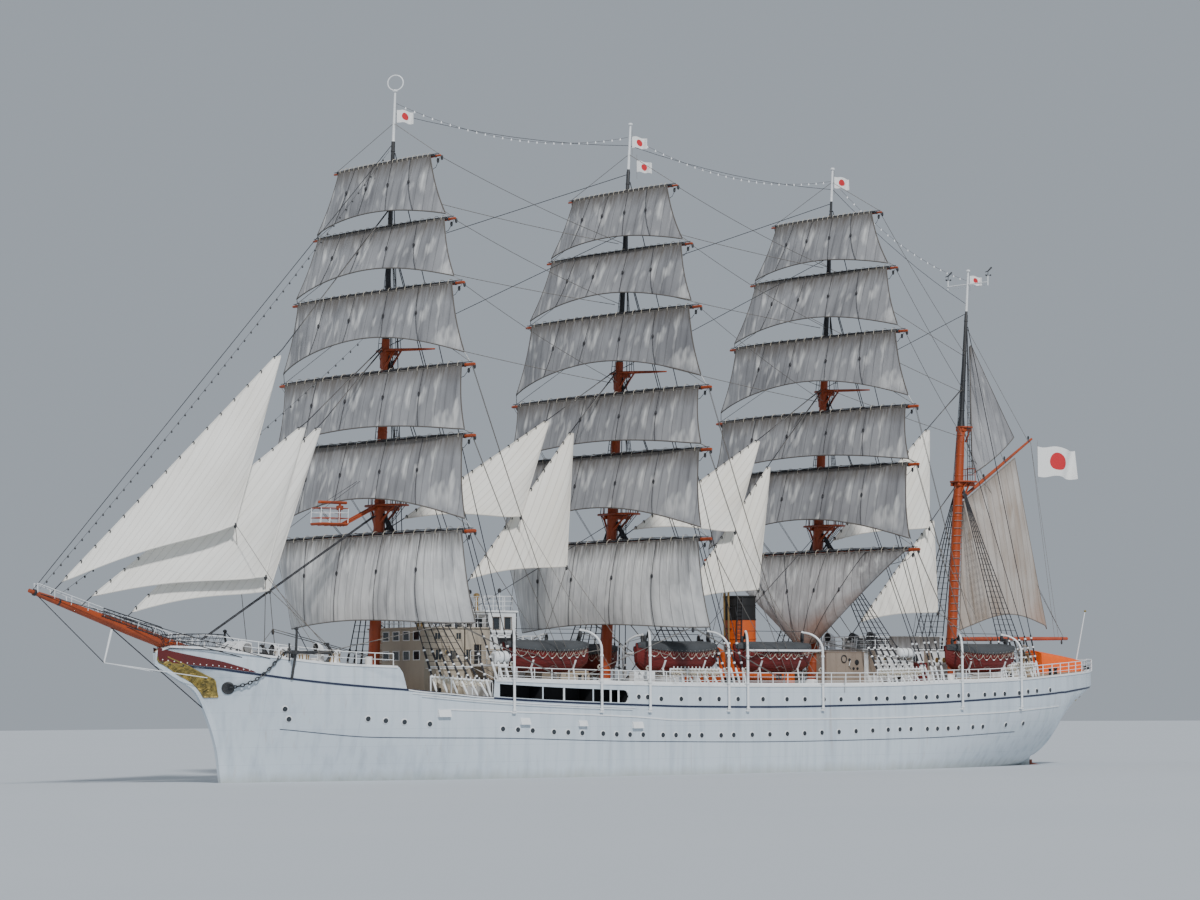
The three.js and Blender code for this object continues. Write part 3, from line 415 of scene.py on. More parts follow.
def tube(points, radii, sides=8, capped=True):
    """Round bar through points, with one radius or one for each point."""
    points = np.asarray(points, float)
    radii = np.broadcast_to(radii, len(points))
    ahead = np.vstack([points[1:], points[-1:]]) - np.vstack([points[:1], points[:-1]])
    ahead /= np.linalg.norm(ahead, axis=1)[:, None]
    guide = np.array((0, 0, 1.0)) if abs(ahead[0][2]) < 0.8 else np.array((1.0, 0, 0))
    rings = []
    for point, along, radius in zip(points, ahead, radii):
        across = np.cross(guide, along)
        across /= np.linalg.norm(across)
        up = np.cross(along, across)
        guide = up
        angles = np.arange(sides) * math.tau / sides
        rings.append(point + radius * (np.outer(np.cos(angles), across) + np.outer(np.sin(angles), up)))
    faces = grid_faces(len(points), sides, wrap=True)
    if capped:
        last = (len(points) - 1) * sides
        faces += [tuple(range(sides))[::-1], tuple(range(last, last + sides))]
    return np.vstack(rings), faces


def lathe(profile, at, axis=(0, 0, 1), sides=16):
    """Profile rows are (height along the axis, radius)."""
    axis = np.array(axis, float) / np.linalg.norm(axis)
    points = [np.array(at) + axis * h for h, _ in profile]
    guide = np.array((0, 0, 1.0)) if abs(axis[2]) < 0.8 else np.array((1.0, 0, 0))
    across = np.cross(guide, axis)
    across /= np.linalg.norm(across)
    up = np.cross(axis, across)
    angles = np.arange(sides) * math.tau / sides
    circle = np.outer(np.cos(angles), across) + np.outer(np.sin(angles), up)
    rings = [p + max(r, 1e-4) * circle for p, (_, r) in zip(points, profile)]
    faces = grid_faces(len(profile), sides, wrap=True)
    last = (len(profile) - 1) * sides
    return np.vstack(rings), faces + [tuple(range(sides))[::-1], tuple(range(last, last + sides))]


def block(low, high, bevel=0.03):
    """Box with chamfered edges."""
    low, high = np.minimum(low, high), np.maximum(low, high)
    bevel = min(bevel, 0.3 * float((high - low).min()))
    points, index = [], {}
    for corner in np.ndindex(2, 2, 2):
        for axis in range(3):
            point = np.where(corner, high, low).astype(float)
            for other in range(3):
                if other != axis:
                    point[other] += bevel * (1 - 2 * corner[other])
            index[corner, axis] = len(points)
            points.append(point)
    faces = []
    for axis in range(3):
        a, b = [k for k in range(3) if k != axis]
        for end in (0, 1):
            ring = []
            for i, j in ((0, 0), (1, 0), (1, 1), (0, 1)):
                corner = [0, 0, 0]
                corner[axis], corner[a], corner[b] = end, i, j
                ring.append(index[tuple(corner), axis])
            faces.append(ring if (end == 1) == (axis != 1) else ring[::-1])
        for i, j in ((0, 0), (1, 0), (1, 1), (0, 1)):
            ends = []
            for end in (0, 1):
                corner = [0, 0, 0]
                corner[axis], corner[a], corner[b] = end, i, j
                ends.append(tuple(corner))
            faces.append([index[ends[0], a], index[ends[1], a], index[ends[1], b], index[ends[0], b]])
    for corner in np.ndindex(2, 2, 2):
        faces.append([index[corner, k] for k in range(3)])
    points = np.array(points)
    middle = (low + high) / 2
    turned = []
    for face in faces:
        p = points[list(face)]
        normal = np.cross(p[1] - p[0], p[2] - p[0])
        turned.append(tuple(face) if normal @ (p.mean(0) - middle) > 0 else tuple(face[::-1]))
    return points, turned


def smooth_at(rows, x, column):
    """Value of a table's column at x on a smooth curve that never overshoots its rows."""
    rows = rows[np.argsort(rows[:, 0])]
    xs, ys = rows[:, 0], rows[:, column]
    slope = np.diff(ys) / np.diff(xs)
    tangent = np.zeros(len(xs))
    same = slope[:-1] * slope[1:] > 0
    tangent[1:-1][same] = 2 * slope[:-1][same] * slope[1:][same] / (slope[:-1][same] + slope[1:][same])
    tangent[0], tangent[-1] = slope[0], slope[-1]
    x = np.clip(x, xs[0], xs[-1])
    i = np.clip(np.searchsorted(xs, x) - 1, 0, len(xs) - 2)
    h = xs[i + 1] - xs[i]
    t = (x - xs[i]) / h
    return ((2 * t**3 - 3 * t**2 + 1) * ys[i] + (t**3 - 2 * t**2 + t) * h * tangent[i]
            + (3 * t**2 - 2 * t**3) * ys[i + 1] + (t**3 - t**2) * h * tangent[i + 1])


# Hull

KEEL_HALF = 0.14
WELL_AFT, WELL_FORE, WELL_DECK, WELL_WALL = 21.5, 28.6, 4.35, 0.16
GALLERY_BAYS = ((10.1, 13.13), (13.23, 17.39), (17.49, 20.9))
GALLERY_POSTS = (15.61, 11.6, 10.91)
GALLERY_CORNER = 0.35
GALLERY_SILL, GALLERY_HEAD, GALLERY_DEPTH = 0.12, 0.97, 1.4
STERNPOST_X = -36.6

# x, height of the black line, half breadth there, bottom, where the body widens, then the two
# exponents that shape the section
LINES = np.array([
    [44.3, 7.74, 0.1, 7.5, 7.62, 1.0, 1.0],
    [43.5, 7.62, 0.2, 7.08, 7.2, 1.0, 1.0],
    [42.5, 7.48, 0.62, 6.55, 6.7, 1.0, 1.1],
    [41.4, 7.35, 1.08, 5.94, 6.1, 1.0, 1.25],
    [40.3, 7.26, 1.48, 4.05, 4.25, 1.0, 1.4],
    [39.6, 7.15, 1.74, 2.0, 2.2, 1.0, 1.5],
    [39.3, 7.1, 1.85, 0.0, 0.2, 1.0, 1.6],
    [38.8, 7.03, 2.02, -2.0, -1.8, 1.0, 1.6],
    [37.8, 6.9, 2.36, -3.6, -3.4, 1.05, 1.5],
    [36.0, 6.65, 2.9, -4.5, -4.3, 1.15, 1.32],
    [33.0, 6.3, 3.8, -4.85, -4.62, 1.4, 1.12],
    [30.0, 6.04, 4.48, -4.9, -4.65, 1.75, 0.98],
    [27.9, 5.88, 4.88, -4.9, -4.65, 2.1, 0.9],
    [24.5, 5.56, 5.43, -4.9, -4.65, 2.75, 0.77],
    [21.3, 5.31, 5.82, -4.9, -4.65, 3.4, 0.67],
    [16.0, 5.03, 6.24, -4.9, -4.65, 4.4, 0.59],
    [9.5, 4.81, 6.44, -4.9, -4.65, 5.5, 0.54],
    [4.0, 4.66, 6.475, -4.9, -4.65, 6.0, 0.5],
    [-4.0, 4.6, 6.475, -4.9, -4.65, 6.0, 0.5],
    [-11.0, 4.66, 6.475, -4.9, -4.65, 5.2, 0.54],
    [-16.0, 4.73, 6.43, -4.9, -4.5, 4.2, 0.6],
    [-20.4, 4.83, 6.27, -4.9, -4.05, 3.2, 0.7],
    [-24.5, 4.98, 5.98, -4.9, -3.3, 2.6, 0.8],
    [-28.5, 5.15, 5.52, -4.9, -2.3, 2.2, 0.85],
    [-32.5, 5.33, 4.85, -4.9, -1.1, 2.0, 0.84],
    [-35.2, 5.48, 4.22, -4.9, -0.15, 1.9, 0.78],
    [STERNPOST_X, 5.56, 3.84, -4.9, 0.62, 1.8, 0.7],
    [STERNPOST_X - 0.02, 5.56, 3.84, 0.45, 0.62, 1.8, 0.7],
    [-37.6, 5.63, 3.52, 1.72, 1.85, 1.8, 0.68],
    [-39.3, 5.76, 2.9, 3.7, 3.82, 1.9, 0.64],
    [-41.0, 5.87, 2.14, 4.86, 4.96, 2.0, 0.6],
    [-42.4, 5.95, 1.3, 5.6, 5.68, 2.0, 0.6],
    [-43.2, 6.02, 0.72, 5.86, 5.92, 2.0, 0.6],
    [-43.55, 6.3, 0.3, 6.12, 6.2, 2.0, 0.6],
])

# x, height of the hull's top edge: forecastle, well and long poop
TOPS = np.array([
    [44.3, 8.3], [43.5, 8.72], [41.0, 8.62], [38.8, 8.3], [36.0, 7.95], [33.0, 7.62], [30.0, 7.47],
    [28.6, 7.42], [28.2, 7.0], [28.0, 6.3], [27.9, 5.92], [24.5, 5.6], [21.4, 5.35], [21.3, 6.52],
    [16.0, 6.38], [9.5, 6.26], [4.0, 6.17], [-4.0, 6.12], [-11.0, 6.12], [-16.0, 6.18],
    [-20.4, 6.3], [-28.5, 6.5], [-35.2, 6.85], [-41.0, 7.15], [-43.55, 7.28],
])

# x, z of the thin mouldings below the black line
RUB_LINE = np.array([[24.7, 4.58], [9.7, 4.01], [5.2, 3.75], [-10.5, 3.72], [-26.8, 4.04], [-36.0, 4.5]])
LOW_LINE = np.array([[36.0, 3.4], [29.8, 2.82], [20.8, 2.67], [9.6, 2.34], [-4.8, 2.16],
                     [-18.0, 2.25], [-30.0, 2.6]])

# x, z of the rows of portholes
UPPER_PORTS = np.array([
    [7.17, 5.2], [5.34, 5.19], [3.59, 5.18], [1.81, 5.17], [0.01, 5.16], [-2.38, 5.14], [-4.7, 5.13],
    [-6.46, 5.12], [-8.34, 5.1], [-10.03, 5.1], [-11.85, 5.12], [-13.6, 5.15], [-14.73, 5.13],
    [-16.51, 5.17], [-17.7, 5.2], [-18.9, 5.23], [-20.1, 5.24], [-21.29, 5.31], [-22.5, 5.32],
    [-23.65, 5.35], [-25.58, 5.38], [-26.82, 5.42], [-28.07, 5.44], [-29.93, 5.5], [-31.16, 5.6],
    [-32.39, 5.65], [-34.35, 5.72],
])
LOWER_PORTS = np.array([
    [35.9, 4.7], [30.5, 4.03], [29.3, 3.9], [28.0, 3.8], [26.2, 3.65], [20.68, 3.28], [19.49, 3.22],
    [18.31, 3.15], [16.56, 3.04], [15.37, 3.0], [14.17, 2.95], [12.37, 2.89], [11.19, 2.83],
    [10.01, 2.8], [8.83, 2.78], [7.03, 2.74], [5.85, 2.72], [4.61, 2.69], [3.46, 2.68], [1.65, 2.66],
    [0.45, 2.67], [-1.31, 2.67], [-3.0, 2.68], [-4.7, 2.7], [-6.4, 2.72], [-8.1, 2.75], [-9.8, 2.78],
    [-11.5, 2.82], [-13.2, 2.85], [-14.8, 2.89], [-16.02, 2.91], [-17.19, 2.92], [-18.97, 2.91],
    [-20.09, 2.92], [-21.3, 2.92], [-22.49, 2.96], [-24.22, 3.0], [-25.46, 3.02], [-28.48, 3.13],
    [-30.89, 3.22],
])


def line_z(x):
    return smooth_at(LINES, x, 1)


def half_at(x):
    return smooth_at(LINES, x, 2)


def top_z(x):
    return smooth_at(TOPS, x, 1)


def hull_half(x, z):
    """Half breadth of the hull at x and height z, with the flare of the bow above the black line."""
    line, half, _, rise, full, hollow = (smooth_at(LINES, x, column) for column in range(1, 7))
    v = np.clip((z - rise) / (line - rise), 0, 1)
    body = np.maximum(KEEL_HALF * 0.7, half * (1 - (1 - v) ** full) ** hollow)
    return body + np.maximum(0, (x - 28) / 16) * 0.14 * np.maximum(0, z - line)


def deck_z(x):
    """Height of the deck's edge at one place."""
    return float(top_z(x))


def deck_half(x):
    """Half breadth of the hull at its deck's edge."""
    return float(hull_half(x, top_z(x)))


def on_hull(x, z, side=PORT):
    return np.array((x, side * float(hull_half(x, z)), z))


def hull_normal(x, z, side=PORT):
    step = 0.05
    dx = float(hull_half(x + step, z) - hull_half(x - step, z)) / (2 * step)
    dz = float(hull_half(x, z + step) - hull_half(x, z - step)) / (2 * step)
    out = np.array((-dx, side, -dz))
    return out / np.linalg.norm(out)


def off_hull(x, z, side, proud):
    """Point held proud of the hull's side, square to it."""
    return on_hull(x, z, side) + hull_normal(x, z, side) * proud


def stations(aft=-43.55, fore=44.3, step=0.4):
    """Places of the hull's sections, from the bow aft: even ones and every row of the tables."""
    edges = [edge for bay in GALLERY_BAYS for edge in bay]
    even = np.arange(aft, fore, step)
    stem = np.arange(38.6, 41.4, 0.1)
    found = np.unique(np.round(np.concatenate([even, stem, edges, LINES[:, 0], TOPS[:, 0], [aft, fore]]), 3))
    found = found[(found >= aft) & (found <= fore)]
    return found[::-1]


def hull_skin(shape):
    xs = stations()
    line, half, bottom, rise = (smooth_at(LINES, xs, column) for column in range(1, 5))
    top = top_z(xs)
    keel = np.minimum(KEEL_HALF, half * 0.6)
    rows = [(keel, bottom), (keel, rise)]
    for step in np.linspace(0, 1, 19)[1:] ** 1.7:
        z = rise + (line - rise) * step
        rows.append((np.maximum(keel + 0.01 * step, hull_half(xs, z)), z))
    for lift in (GALLERY_SILL, GALLERY_HEAD, 9.0):
        z = np.minimum(line + lift, top)
        rows.append((hull_half(xs, z), z))
    side = np.stack([np.column_stack([xs, y, z]) for y, z in rows], axis=1)
    count = len(rows)
    faces = []
    for i in range(len(xs) - 1):
        middle = (xs[i] + xs[i + 1]) / 2
        open_here = any(aft < middle < fore for aft, fore in GALLERY_BAYS)
        for j in range(count - 1):
            if open_here and j == count - 3:
                continue
            a = i * count + j
            corners = (a, a + count, a + count + 1, a + 1)
            gaps = [np.ptp(side[i, j:j + 2, 2]), np.ptp(side[i + 1, j:j + 2, 2])]
            if max(gaps) < 1e-4:
                continue
            if gaps[0] < 1e-4:
                corners = (a, a + count, a + count + 1)
            elif gaps[1] < 1e-4:
                corners = (a, a + count, a + 1)
            faces.append(corners)
    shape.both(side, faces, HULL)
    flat = [(i * count, i * count + count) for i in range(len(xs) - 1)]
    offset = len(xs) * count
    keel_faces = [(a, a + offset, b + offset, b) for a, b in flat]
    stern = (len(xs) - 1) * count
    ends = [tuple(range(count)) + tuple(range(offset + count - 1, offset - 1, -1)),
            tuple(range(stern + offset, stern + offset + count))
            + tuple(range(stern + count - 1, stern - 1, -1))]
    shape.faces.extend(keel_faces + ends)
    shape.kinds.extend([0] * (len(keel_faces) + 2))


def moulding(shape, z_at, aft, fore, tall, proud, material, step=0.5):
    """Long strip on both sides of the hull, with its middle at height z_at(x)."""
    xs = np.linspace(fore, aft, int((fore - aft) / step) + 2)
    z = z_at(xs)
    ring = ((0.5, -0.03), (0.5, proud), (-0.5, proud), (-0.5, -0.03))
    rows = []
    for share, out in ring:
        edge = z + share * tall
        rows.append(np.column_stack([xs, hull_half(xs, edge) + out, edge]))
    points = np.stack(rows, axis=1).reshape(-1, 3)
    last = (len(xs) - 1) * 4
    faces = grid_faces(len(xs), 4, wrap=True) + [(3, 2, 1, 0), tuple(range(last, last + 4))]
    shape.both(points, faces, material)


def deck(shape, aft, fore):
    """Planked deck at the hull's top edge, with a painted waterway along each side."""
    xs = stations(aft, fore, 0.8)
    half = hull_half(xs, top_z(xs))
    inner = np.maximum(half - 0.3, half * 0.5)
    rows = [half, inner, inner * 0.5, 0 * half, -inner * 0.5, -inner, -half]
    points = [np.column_stack([xs, y, top_z(xs) + 0.07 * (1 - (y / half) ** 2)]) for y in rows]
    points = np.stack(points, axis=1).reshape(-1, 3)
    faces = grid_faces(len(xs), 7)
    edge = [face for k, face in enumerate(faces) if k % 6 in (0, 5)]
    planked = [face for k, face in enumerate(faces) if k % 6 not in (0, 5)]
    shape.add(points, [face[::-1] for face in edge], WHITE)
    shape.add(points, [face[::-1] for face in planked], DECK)


def well(shape):
    """Sunken deck between the forecastle and the bridge, inside its bulwarks."""
    xs = stations(WELL_AFT, WELL_FORE, 0.3)
    top, outer = top_z(xs), hull_half(xs, top_z(xs))
    inner = half_at(xs) - WELL_WALL
    rows = [(outer, top), (inner, top), (inner, np.full_like(xs, WELL_DECK))]
    points = np.stack([np.column_stack([xs, y, z]) for y, z in rows], axis=1)
    shape.both(points, [face[::-1] for face in grid_faces(len(xs), 3)], WHITE)
    edges = [np.column_stack([xs, side * inner, np.full_like(xs, WELL_DECK)]) for side in (PORT, STARBOARD)]
    floor = np.stack(edges, axis=1)
    shape.add(floor, [face[::-1] for face in grid_faces(len(xs), 2)], DECK)
    for x, up, turn in ((WELL_FORE, deck_z(WELL_FORE), 1), (WELL_AFT, 6.52, -1)):
        y = float(half_at(x)) - WELL_WALL
        wall = [(x, y, WELL_DECK), (x, -y, WELL_DECK), (x, -y, up), (x, y, up)]
        shape.add(wall, [(0, 1, 2, 3)[::turn]], WHITE)
    for y in (-2.6, 0.0, 2.6):
        shape.add(*block((WELL_FORE - 0.08, y - 0.38, WELL_DECK + 0.15),
                         (WELL_FORE + 0.02, y + 0.38, WELL_DECK + 2.0)), BEIGE)


def rounded_corner(shape, x, z, up, side):
    """Plate that rounds off the corner of an opening in the hull's side."""
    r, angles = GALLERY_CORNER, np.linspace(0, math.pi / 2, 8)
    outline = [(x - 0.01, z - 0.01 * up)]
    outline += [(x + r - r * math.cos(a), z + up * (r - r * math.sin(a))) for a in angles]
    face = np.array([(px, side * (float(hull_half(px, pz)) - 0.004), pz) for px, pz in outline])
    points = np.concatenate([face, face - (0, side * 0.1, 0)])
    count, turn = len(face), side * up
    faces = [(0, k, k + 1)[::turn] for k in range(1, count - 1)]
    faces += [(count, count + k + 1, count + k)[::turn] for k in range(1, count - 1)]
    faces += [(k, k + count, (k + 1) % count + count, (k + 1) % count)[::turn] for k in range(count)]
    shape.add(points, faces, WHITE)


def gallery(shape):
    """Side passage behind the openings, painted near-black inside as shade, with its posts and the rounded
    corners of its after end.
    """
    for aft, fore in GALLERY_BAYS:
        xs = np.array([x for x in stations() if aft <= x <= fore])
        line = line_z(xs)
        for side in (PORT, STARBOARD):
            rows = []
            for lift, deep in ((GALLERY_SILL, 0), (GALLERY_SILL, 0.14), (GALLERY_SILL, GALLERY_DEPTH),
                               (GALLERY_HEAD, GALLERY_DEPTH), (GALLERY_HEAD, 0.14), (GALLERY_HEAD, 0)):
                z = line + lift
                rows.append(np.column_stack([xs, side * (hull_half(xs, z) - deep), z]))
            points = np.stack(rows, axis=1)
            faces = grid_faces(len(xs), 6)
            lip = [face[::-side] for k, face in enumerate(faces) if k % 5 in (0, 4)]
            room = [face[::-side] for k, face in enumerate(faces) if k % 5 in (1, 2, 3)]
            last = (len(xs) - 1) * 6
            shape.add(points, lip, WHITE)
            # near-black inside faces of the passage: painted shade
            shape.add(points, room, PAINTED_SHADE)
            shape.add(points, [(0, 1, 2, 3, 4, 5)[::-side], tuple(range(last, last + 6))[::side]], PAINTED_SHADE)
    for side in (PORT, STARBOARD):
        for lift, up in ((GALLERY_SILL, 1), (GALLERY_HEAD, -1)):
            rounded_corner(shape, GALLERY_BAYS[0][0], float(line_z(GALLERY_BAYS[0][0])) + lift, up, side)
    for x in GALLERY_POSTS:
        z = float(line_z(x))
        for side in (PORT, STARBOARD):
            foot, head = on_hull(x, z + GALLERY_SILL, side), on_hull(x, z + GALLERY_HEAD, side)
            inward = np.array((0, -0.09 * side, 0))
            shape.add(*tube([foot + inward, head + inward], 0.07, 8), WHITE)


def portholes(shape):
    rim = [(-0.05, 0.23), (0.02, 0.23), (0.03, 0.21)]
    pane = [(0.0, 0.17), (0.05, 0.17)]
    gap_z = [[x, float(line_z(x)) + 0.55] for x in (9.2, 8.4)]
    for x, z in np.vstack([UPPER_PORTS, LOWER_PORTS, gap_z, [[35.55, 4.05]]]):
        for side in (PORT, STARBOARD):
            at, out = on_hull(x, z, side), hull_normal(x, z, side)
            shape.add(*lathe(rim, at, out, 12), WHITE)
            shape.add(*lathe(pane, at, out, 12), GLASS)


MOULDINGS = (
    # height at x, aft x, fore x, how tall, how proud, paint
    (line_z, -43.3, 44.0, 0.13, 0.03, NAVY),
    (lambda x: line_z(x) - 0.2, 9.5, 27.5, 0.05, 0.05, WHITE),
    (lambda x: smooth_at(RUB_LINE, x, 1), -36.0, 24.7, 0.09, 0.05, WHITE),
    (lambda x: smooth_at(LOW_LINE, x, 1), -30.0, 36.0, 0.04, 0.02, NAVY),
    (lambda x: top_z(x) - 0.05, -43.3, 21.2, 0.14, 0.06, WHITE),
    (lambda x: top_z(x) - 0.05, 28.6, 43.9, 0.14, 0.06, WHITE),
    (lambda x: top_z(x) - 0.02, 21.4, 27.8, 0.07, 0.05, WHITE),
)


def build_hull():
    shape = Shape()
    hull_skin(shape)
    deck(shape, WELL_FORE, 44.3)
    deck(shape, -43.55, 21.3)
    well(shape)
    gallery(shape)
    shape.piece("hull_shell", slot="hull_paint", replaces=["hull"], sharp=38)

    trim = Shape()
    for row in MOULDINGS:
        moulding(trim, *row)
    portholes(trim)
    trim.piece("hull_trim", slot="hull_paint")


build_hull()


# Masts, yards and other spars

class Mast:
    """Axis and heights of a mast: x of its axis at the waterline, rake aft for each metre up."""

    def __init__(self, name, x, rake, truck, top, trees, top_half, trees_half):
        self.name, self.x, self.rake = name, x, rake
        self.truck, self.top, self.trees = truck, top, trees
        self.top_half, self.trees_half = top_half, trees_half

    def x_at(self, z):
        return self.x - self.rake * z

    def at(self, z, ahead=0.0, y=0.0):
        return np.array((self.x_at(z) + ahead, y, z))

    def radius(self, z):
        heights = (0, self.top, self.trees + 0.8, self.trees + 0.9, self.truck - 3.5,
                   self.truck - 3.4, self.truck)
        return float(np.interp(z, heights, (0.41, 0.36, 0.27, 0.2, 0.13, 0.1, 0.07)))

    def sheared(self, points):
        """Points built round an upright axis at x = 0, moved onto the raked one."""
        points = np.array(points, float).reshape(-1, 3)
        points[:, 0] += self.x - self.rake * points[:, 2]
        return points


MASTS = {
    # name, x, rake, truck, top, crosstrees, half breadth of the top and of the crosstrees
    row[0]: Mast(*row) for row in (
        ("fore", 27.275, 0.051, 46.2, 18.1, 28.5, 1.7, 1.05),
        ("main", 7.088, 0.071, 46.0, 18.1, 28.1, 1.7, 1.05),
        ("mizzen", -13.058, 0.071, 44.6, 17.8, 27.82, 1.7, 1.05),
        ("jigger", -27.475, 0.085, 38.0, 21.6, 25.8, 0.8, 0.5),
    )
}
SQUARE_MASTS = ("fore", "main", "mizzen")
# height where each mast's white pole begins, spacing of the hoops below and above the crosstrees
WHITE_FROM = {"fore": 42.7, "main": 42.7, "mizzen": 42.1, "jigger": 34.8}
LOW_HOOP_STEP, HIGH_HOOP_STEP, RUNG_STEP = 1.55, 2.3, 0.45
TRUCK_RING_ABOVE, TRUCK_RING_RADIUS = 0.5, 0.52
# the jigger mast's cross spreader: how far below its truck, and its reach to each side
SPREADER_DOWN, SPREADER_REACH = 1.1, 2.1

# shares of a yard's half length, and of its greatest radius there
YARD_SHARES, YARD_TAPER = (0.12, 0.4, 0.7, 0.93, 0.985, 1), (1, 1, 0.78, 0.52, 0.5, 0.38)
YARD_HOOPS = (-0.9, -0.66, -0.36, -0.2, 0.2, 0.36, 0.66, 0.9)


class Yard:
    """A yard and the head of its sail; heights holds its place on each mast."""

    def __init__(self, name, fore, main, mizzen, half, radius, ahead, head, roach):
        self.name, self.heights = name, {"fore": fore, "main": main, "mizzen": mizzen}
        self.half, self.radius, self.ahead, self.head, self.roach = half, radius, ahead, head, roach

    def thick(self, share):
        """Radius at this share of the half length."""
        return self.radius * float(np.interp(abs(share), YARD_SHARES, YARD_TAPER))


YARDS = [
    Yard(*row) for row in (
        # name, height on each mast, half length, radius, ahead of the mast, half the sail's head, roach
        ("course", 16.0, 15.98, 15.72, 11.33, 0.24, 0.86, 10.5, 0.55),
        ("lower_topsail", 22.17, 22.1, 21.84, 10.95, 0.22, 0.86, 10.2, 1.95),
        ("upper_topsail", 26.81, 26.39, 26.04, 10.65, 0.21, 0.86, 9.85, 0.85),
        ("lower_topgallant", 32.24, 32.04, 31.59, 9.38, 0.19, 0.95, 8.6, 1.85),
        ("upper_topgallant", 36.63, 36.58, 36.37, 7.78, 0.17, 0.6, 7.1, 1.3),
        ("royal", 41.04, 40.88, 40.65, 5.84, 0.14, 0.5, 5.2, 0.9),
    )
]

# inner end, outer end (x, z), radius, share of it left at the outer end
GAFF = ((-29.66, 20.4), (-37.6, 25.29), 0.14, 0.6)
BOOM = ((-28.79, 9.64), (-41.3, 9.76), 0.17, 0.75)
BOWSPRIT_HEEL, BOWSPRIT_TIP = np.array((40.2, 0, 7.86)), np.array((53.57, 0, 12.1))


def hoop(radius, width):
    """Profile of a band round a spar."""
    return [(0, radius - 0.01), (0.02, radius), (width - 0.02, radius), (width, radius - 0.01)]


def hoops(shape, start, end, radii, shares, material, width=0.14, proud=0.025, sides=20):
    """Bands round a spar at shares of its length."""
    start, end = np.array(start, float), np.array(end, float)
    along = end - start
    for share in shares:
        radius = float(np.interp(share, (0, 1), radii)) + proud
        edge = start + along * share - along / np.linalg.norm(along) * width / 2
        shape.add(*lathe(hoop(radius, width), edge, along, sides), material)


def pulley(shape, at, size=0.16, material=None):
    """Small block: a flattened shell with its sheave pin across it."""
    at = np.array(at, float)
    shell = [(-0.5, 0.1), (-0.42, 0.3), (0, 0.42), (0.42, 0.3), (0.5, 0.1)]
    shape.add(*lathe([(h * size * 1.5, r * size) for h, r in shell], at, (0, 0, 1), 6), material or BLACK)


def prism(outline, z0, z1):
    """Flat plate: outline is a list of (x, y)."""
    n = len(outline)
    points = [(x, y, z0) for x, y in outline] + [(x, y, z1) for x, y in outline]
    faces = [tuple(range(n))[::-1], tuple(range(n, 2 * n))]
    faces += [(i, (i + 1) % n, n + (i + 1) % n, n + i) for i in range(n)]
    return np.array(points, float), faces


def bend(a, b, c, t):
    """Value at t of the curve that leaves a towards b and comes from b to c."""
    return (1 - t) ** 2 * a + 2 * t * (1 - t) * b + t * t * c


def platform_outline(aft, fore, half):
    curve = [(bend(fore, 0.1, -aft * 0.4, t), bend(half * 0.55, half, half, t)) for t in np.linspace(0, 1, 6)]
    port = curve + [(-aft, half * 0.8)]
    return port + [(x, -y) for x, y in port[::-1]]


def railing(shape, path, height=1.05, bars=3, spacing=1.3, radius=0.022, material=None):
    """Guard rail along a path of points on the deck."""
    material = material or WHITE
    path = np.array(path, float)
    lengths = np.concatenate([[0], np.cumsum(np.linalg.norm(np.diff(path, axis=0), axis=1))])
    count = max(2, int(round(lengths[-1] / spacing)) + 1)
    feet = np.column_stack([np.interp(np.linspace(0, lengths[-1], count), lengths,
                                      path[:, k]) for k in range(3)])
    for foot in feet:
        shape.add(*tube([foot - (0, 0, 0.04), foot + (0, 0, height)], radius * 1.25, 6), material)
    for bar in range(1, bars + 1):
        lift = np.array((0, 0, height * bar / bars))
        shape.add(*tube(feet + lift, radius * (1.2 if bar == bars else 0.8), 6), material)


def top_platform(shape, mast, z, aft, fore, half, thick):
    """Platform with a rounded rim, on its knees and beams."""
    points, faces = prism(platform_outline(aft, fore, half), z, z + thick)
    shape.add(mast.sheared(points), faces, ORANGE)
    rim = [(x, y, z + thick * 0.5) for x, y in platform_outline(aft, fore, half)]
    shape.add(mast.sheared(tube(rim + rim[:1], 0.07, 6)[0]), tube(rim + rim[:1], 0.07, 6)[1], ORANGE)
    for side in (PORT, STARBOARD):
        radius = mast.radius(z)
        knee = [(0.15, radius * side * 0.8, z - 1.1), (-0.1, side * half * 0.55, z - 0.35),
                (-0.2, side * half * 0.8, z)]
        for shift in (0.0, -0.5):
            points, faces = tube([(x + shift, y, h) for x, y, h in knee], (0.09, 0.07, 0.05), 6)
            shape.add(mast.sheared(points), faces, ORANGE)
        beam = block((-aft, side * radius - 0.09, z - 0.28), (fore, side * radius + 0.09, z - 0.02))
        shape.add(mast.sheared(beam[0]), beam[1], ORANGE)


def spreader_at(mast, side, share=1.0):
    """Point on the long thin spreader that reaches out and aft from the crosstrees to the backstays."""
    return mast.at(mast.trees + 0.06, -0.1 - 1.9 * share, side * (0.3 + 2.5 * share))


def wind_gauge(shape, mast, z, y):
    """Cup wheel and, above it, a tail vane."""
    hub = mast.at(z + 0.02, 0, y)
    for angle in np.linspace(0, math.tau, 4)[:3]:
        cup = hub + (0.2 * math.cos(angle), 0.2 * math.sin(angle), 0)
        shape.add(*tube([hub, cup], 0.02, 5), BLACK)
        shape.add(*lathe([(-0.06, 0.03), (0, 0.08), (0.06, 0.03)], cup, (0, 0, 1), 8), BLACK)
    tail = [mast.at(z + 0.25, 0.3, y), mast.at(z + 0.35, 0, y), mast.at(z + 0.65, -0.35, y)]
    shape.add(*tube(tail, (0.03, 0.05, 0.07), 8), BLACK)
    shape.add(*tube([mast.at(z, 0, y), mast.at(z + 0.35, 0, y)], 0.025, 6), BLACK)


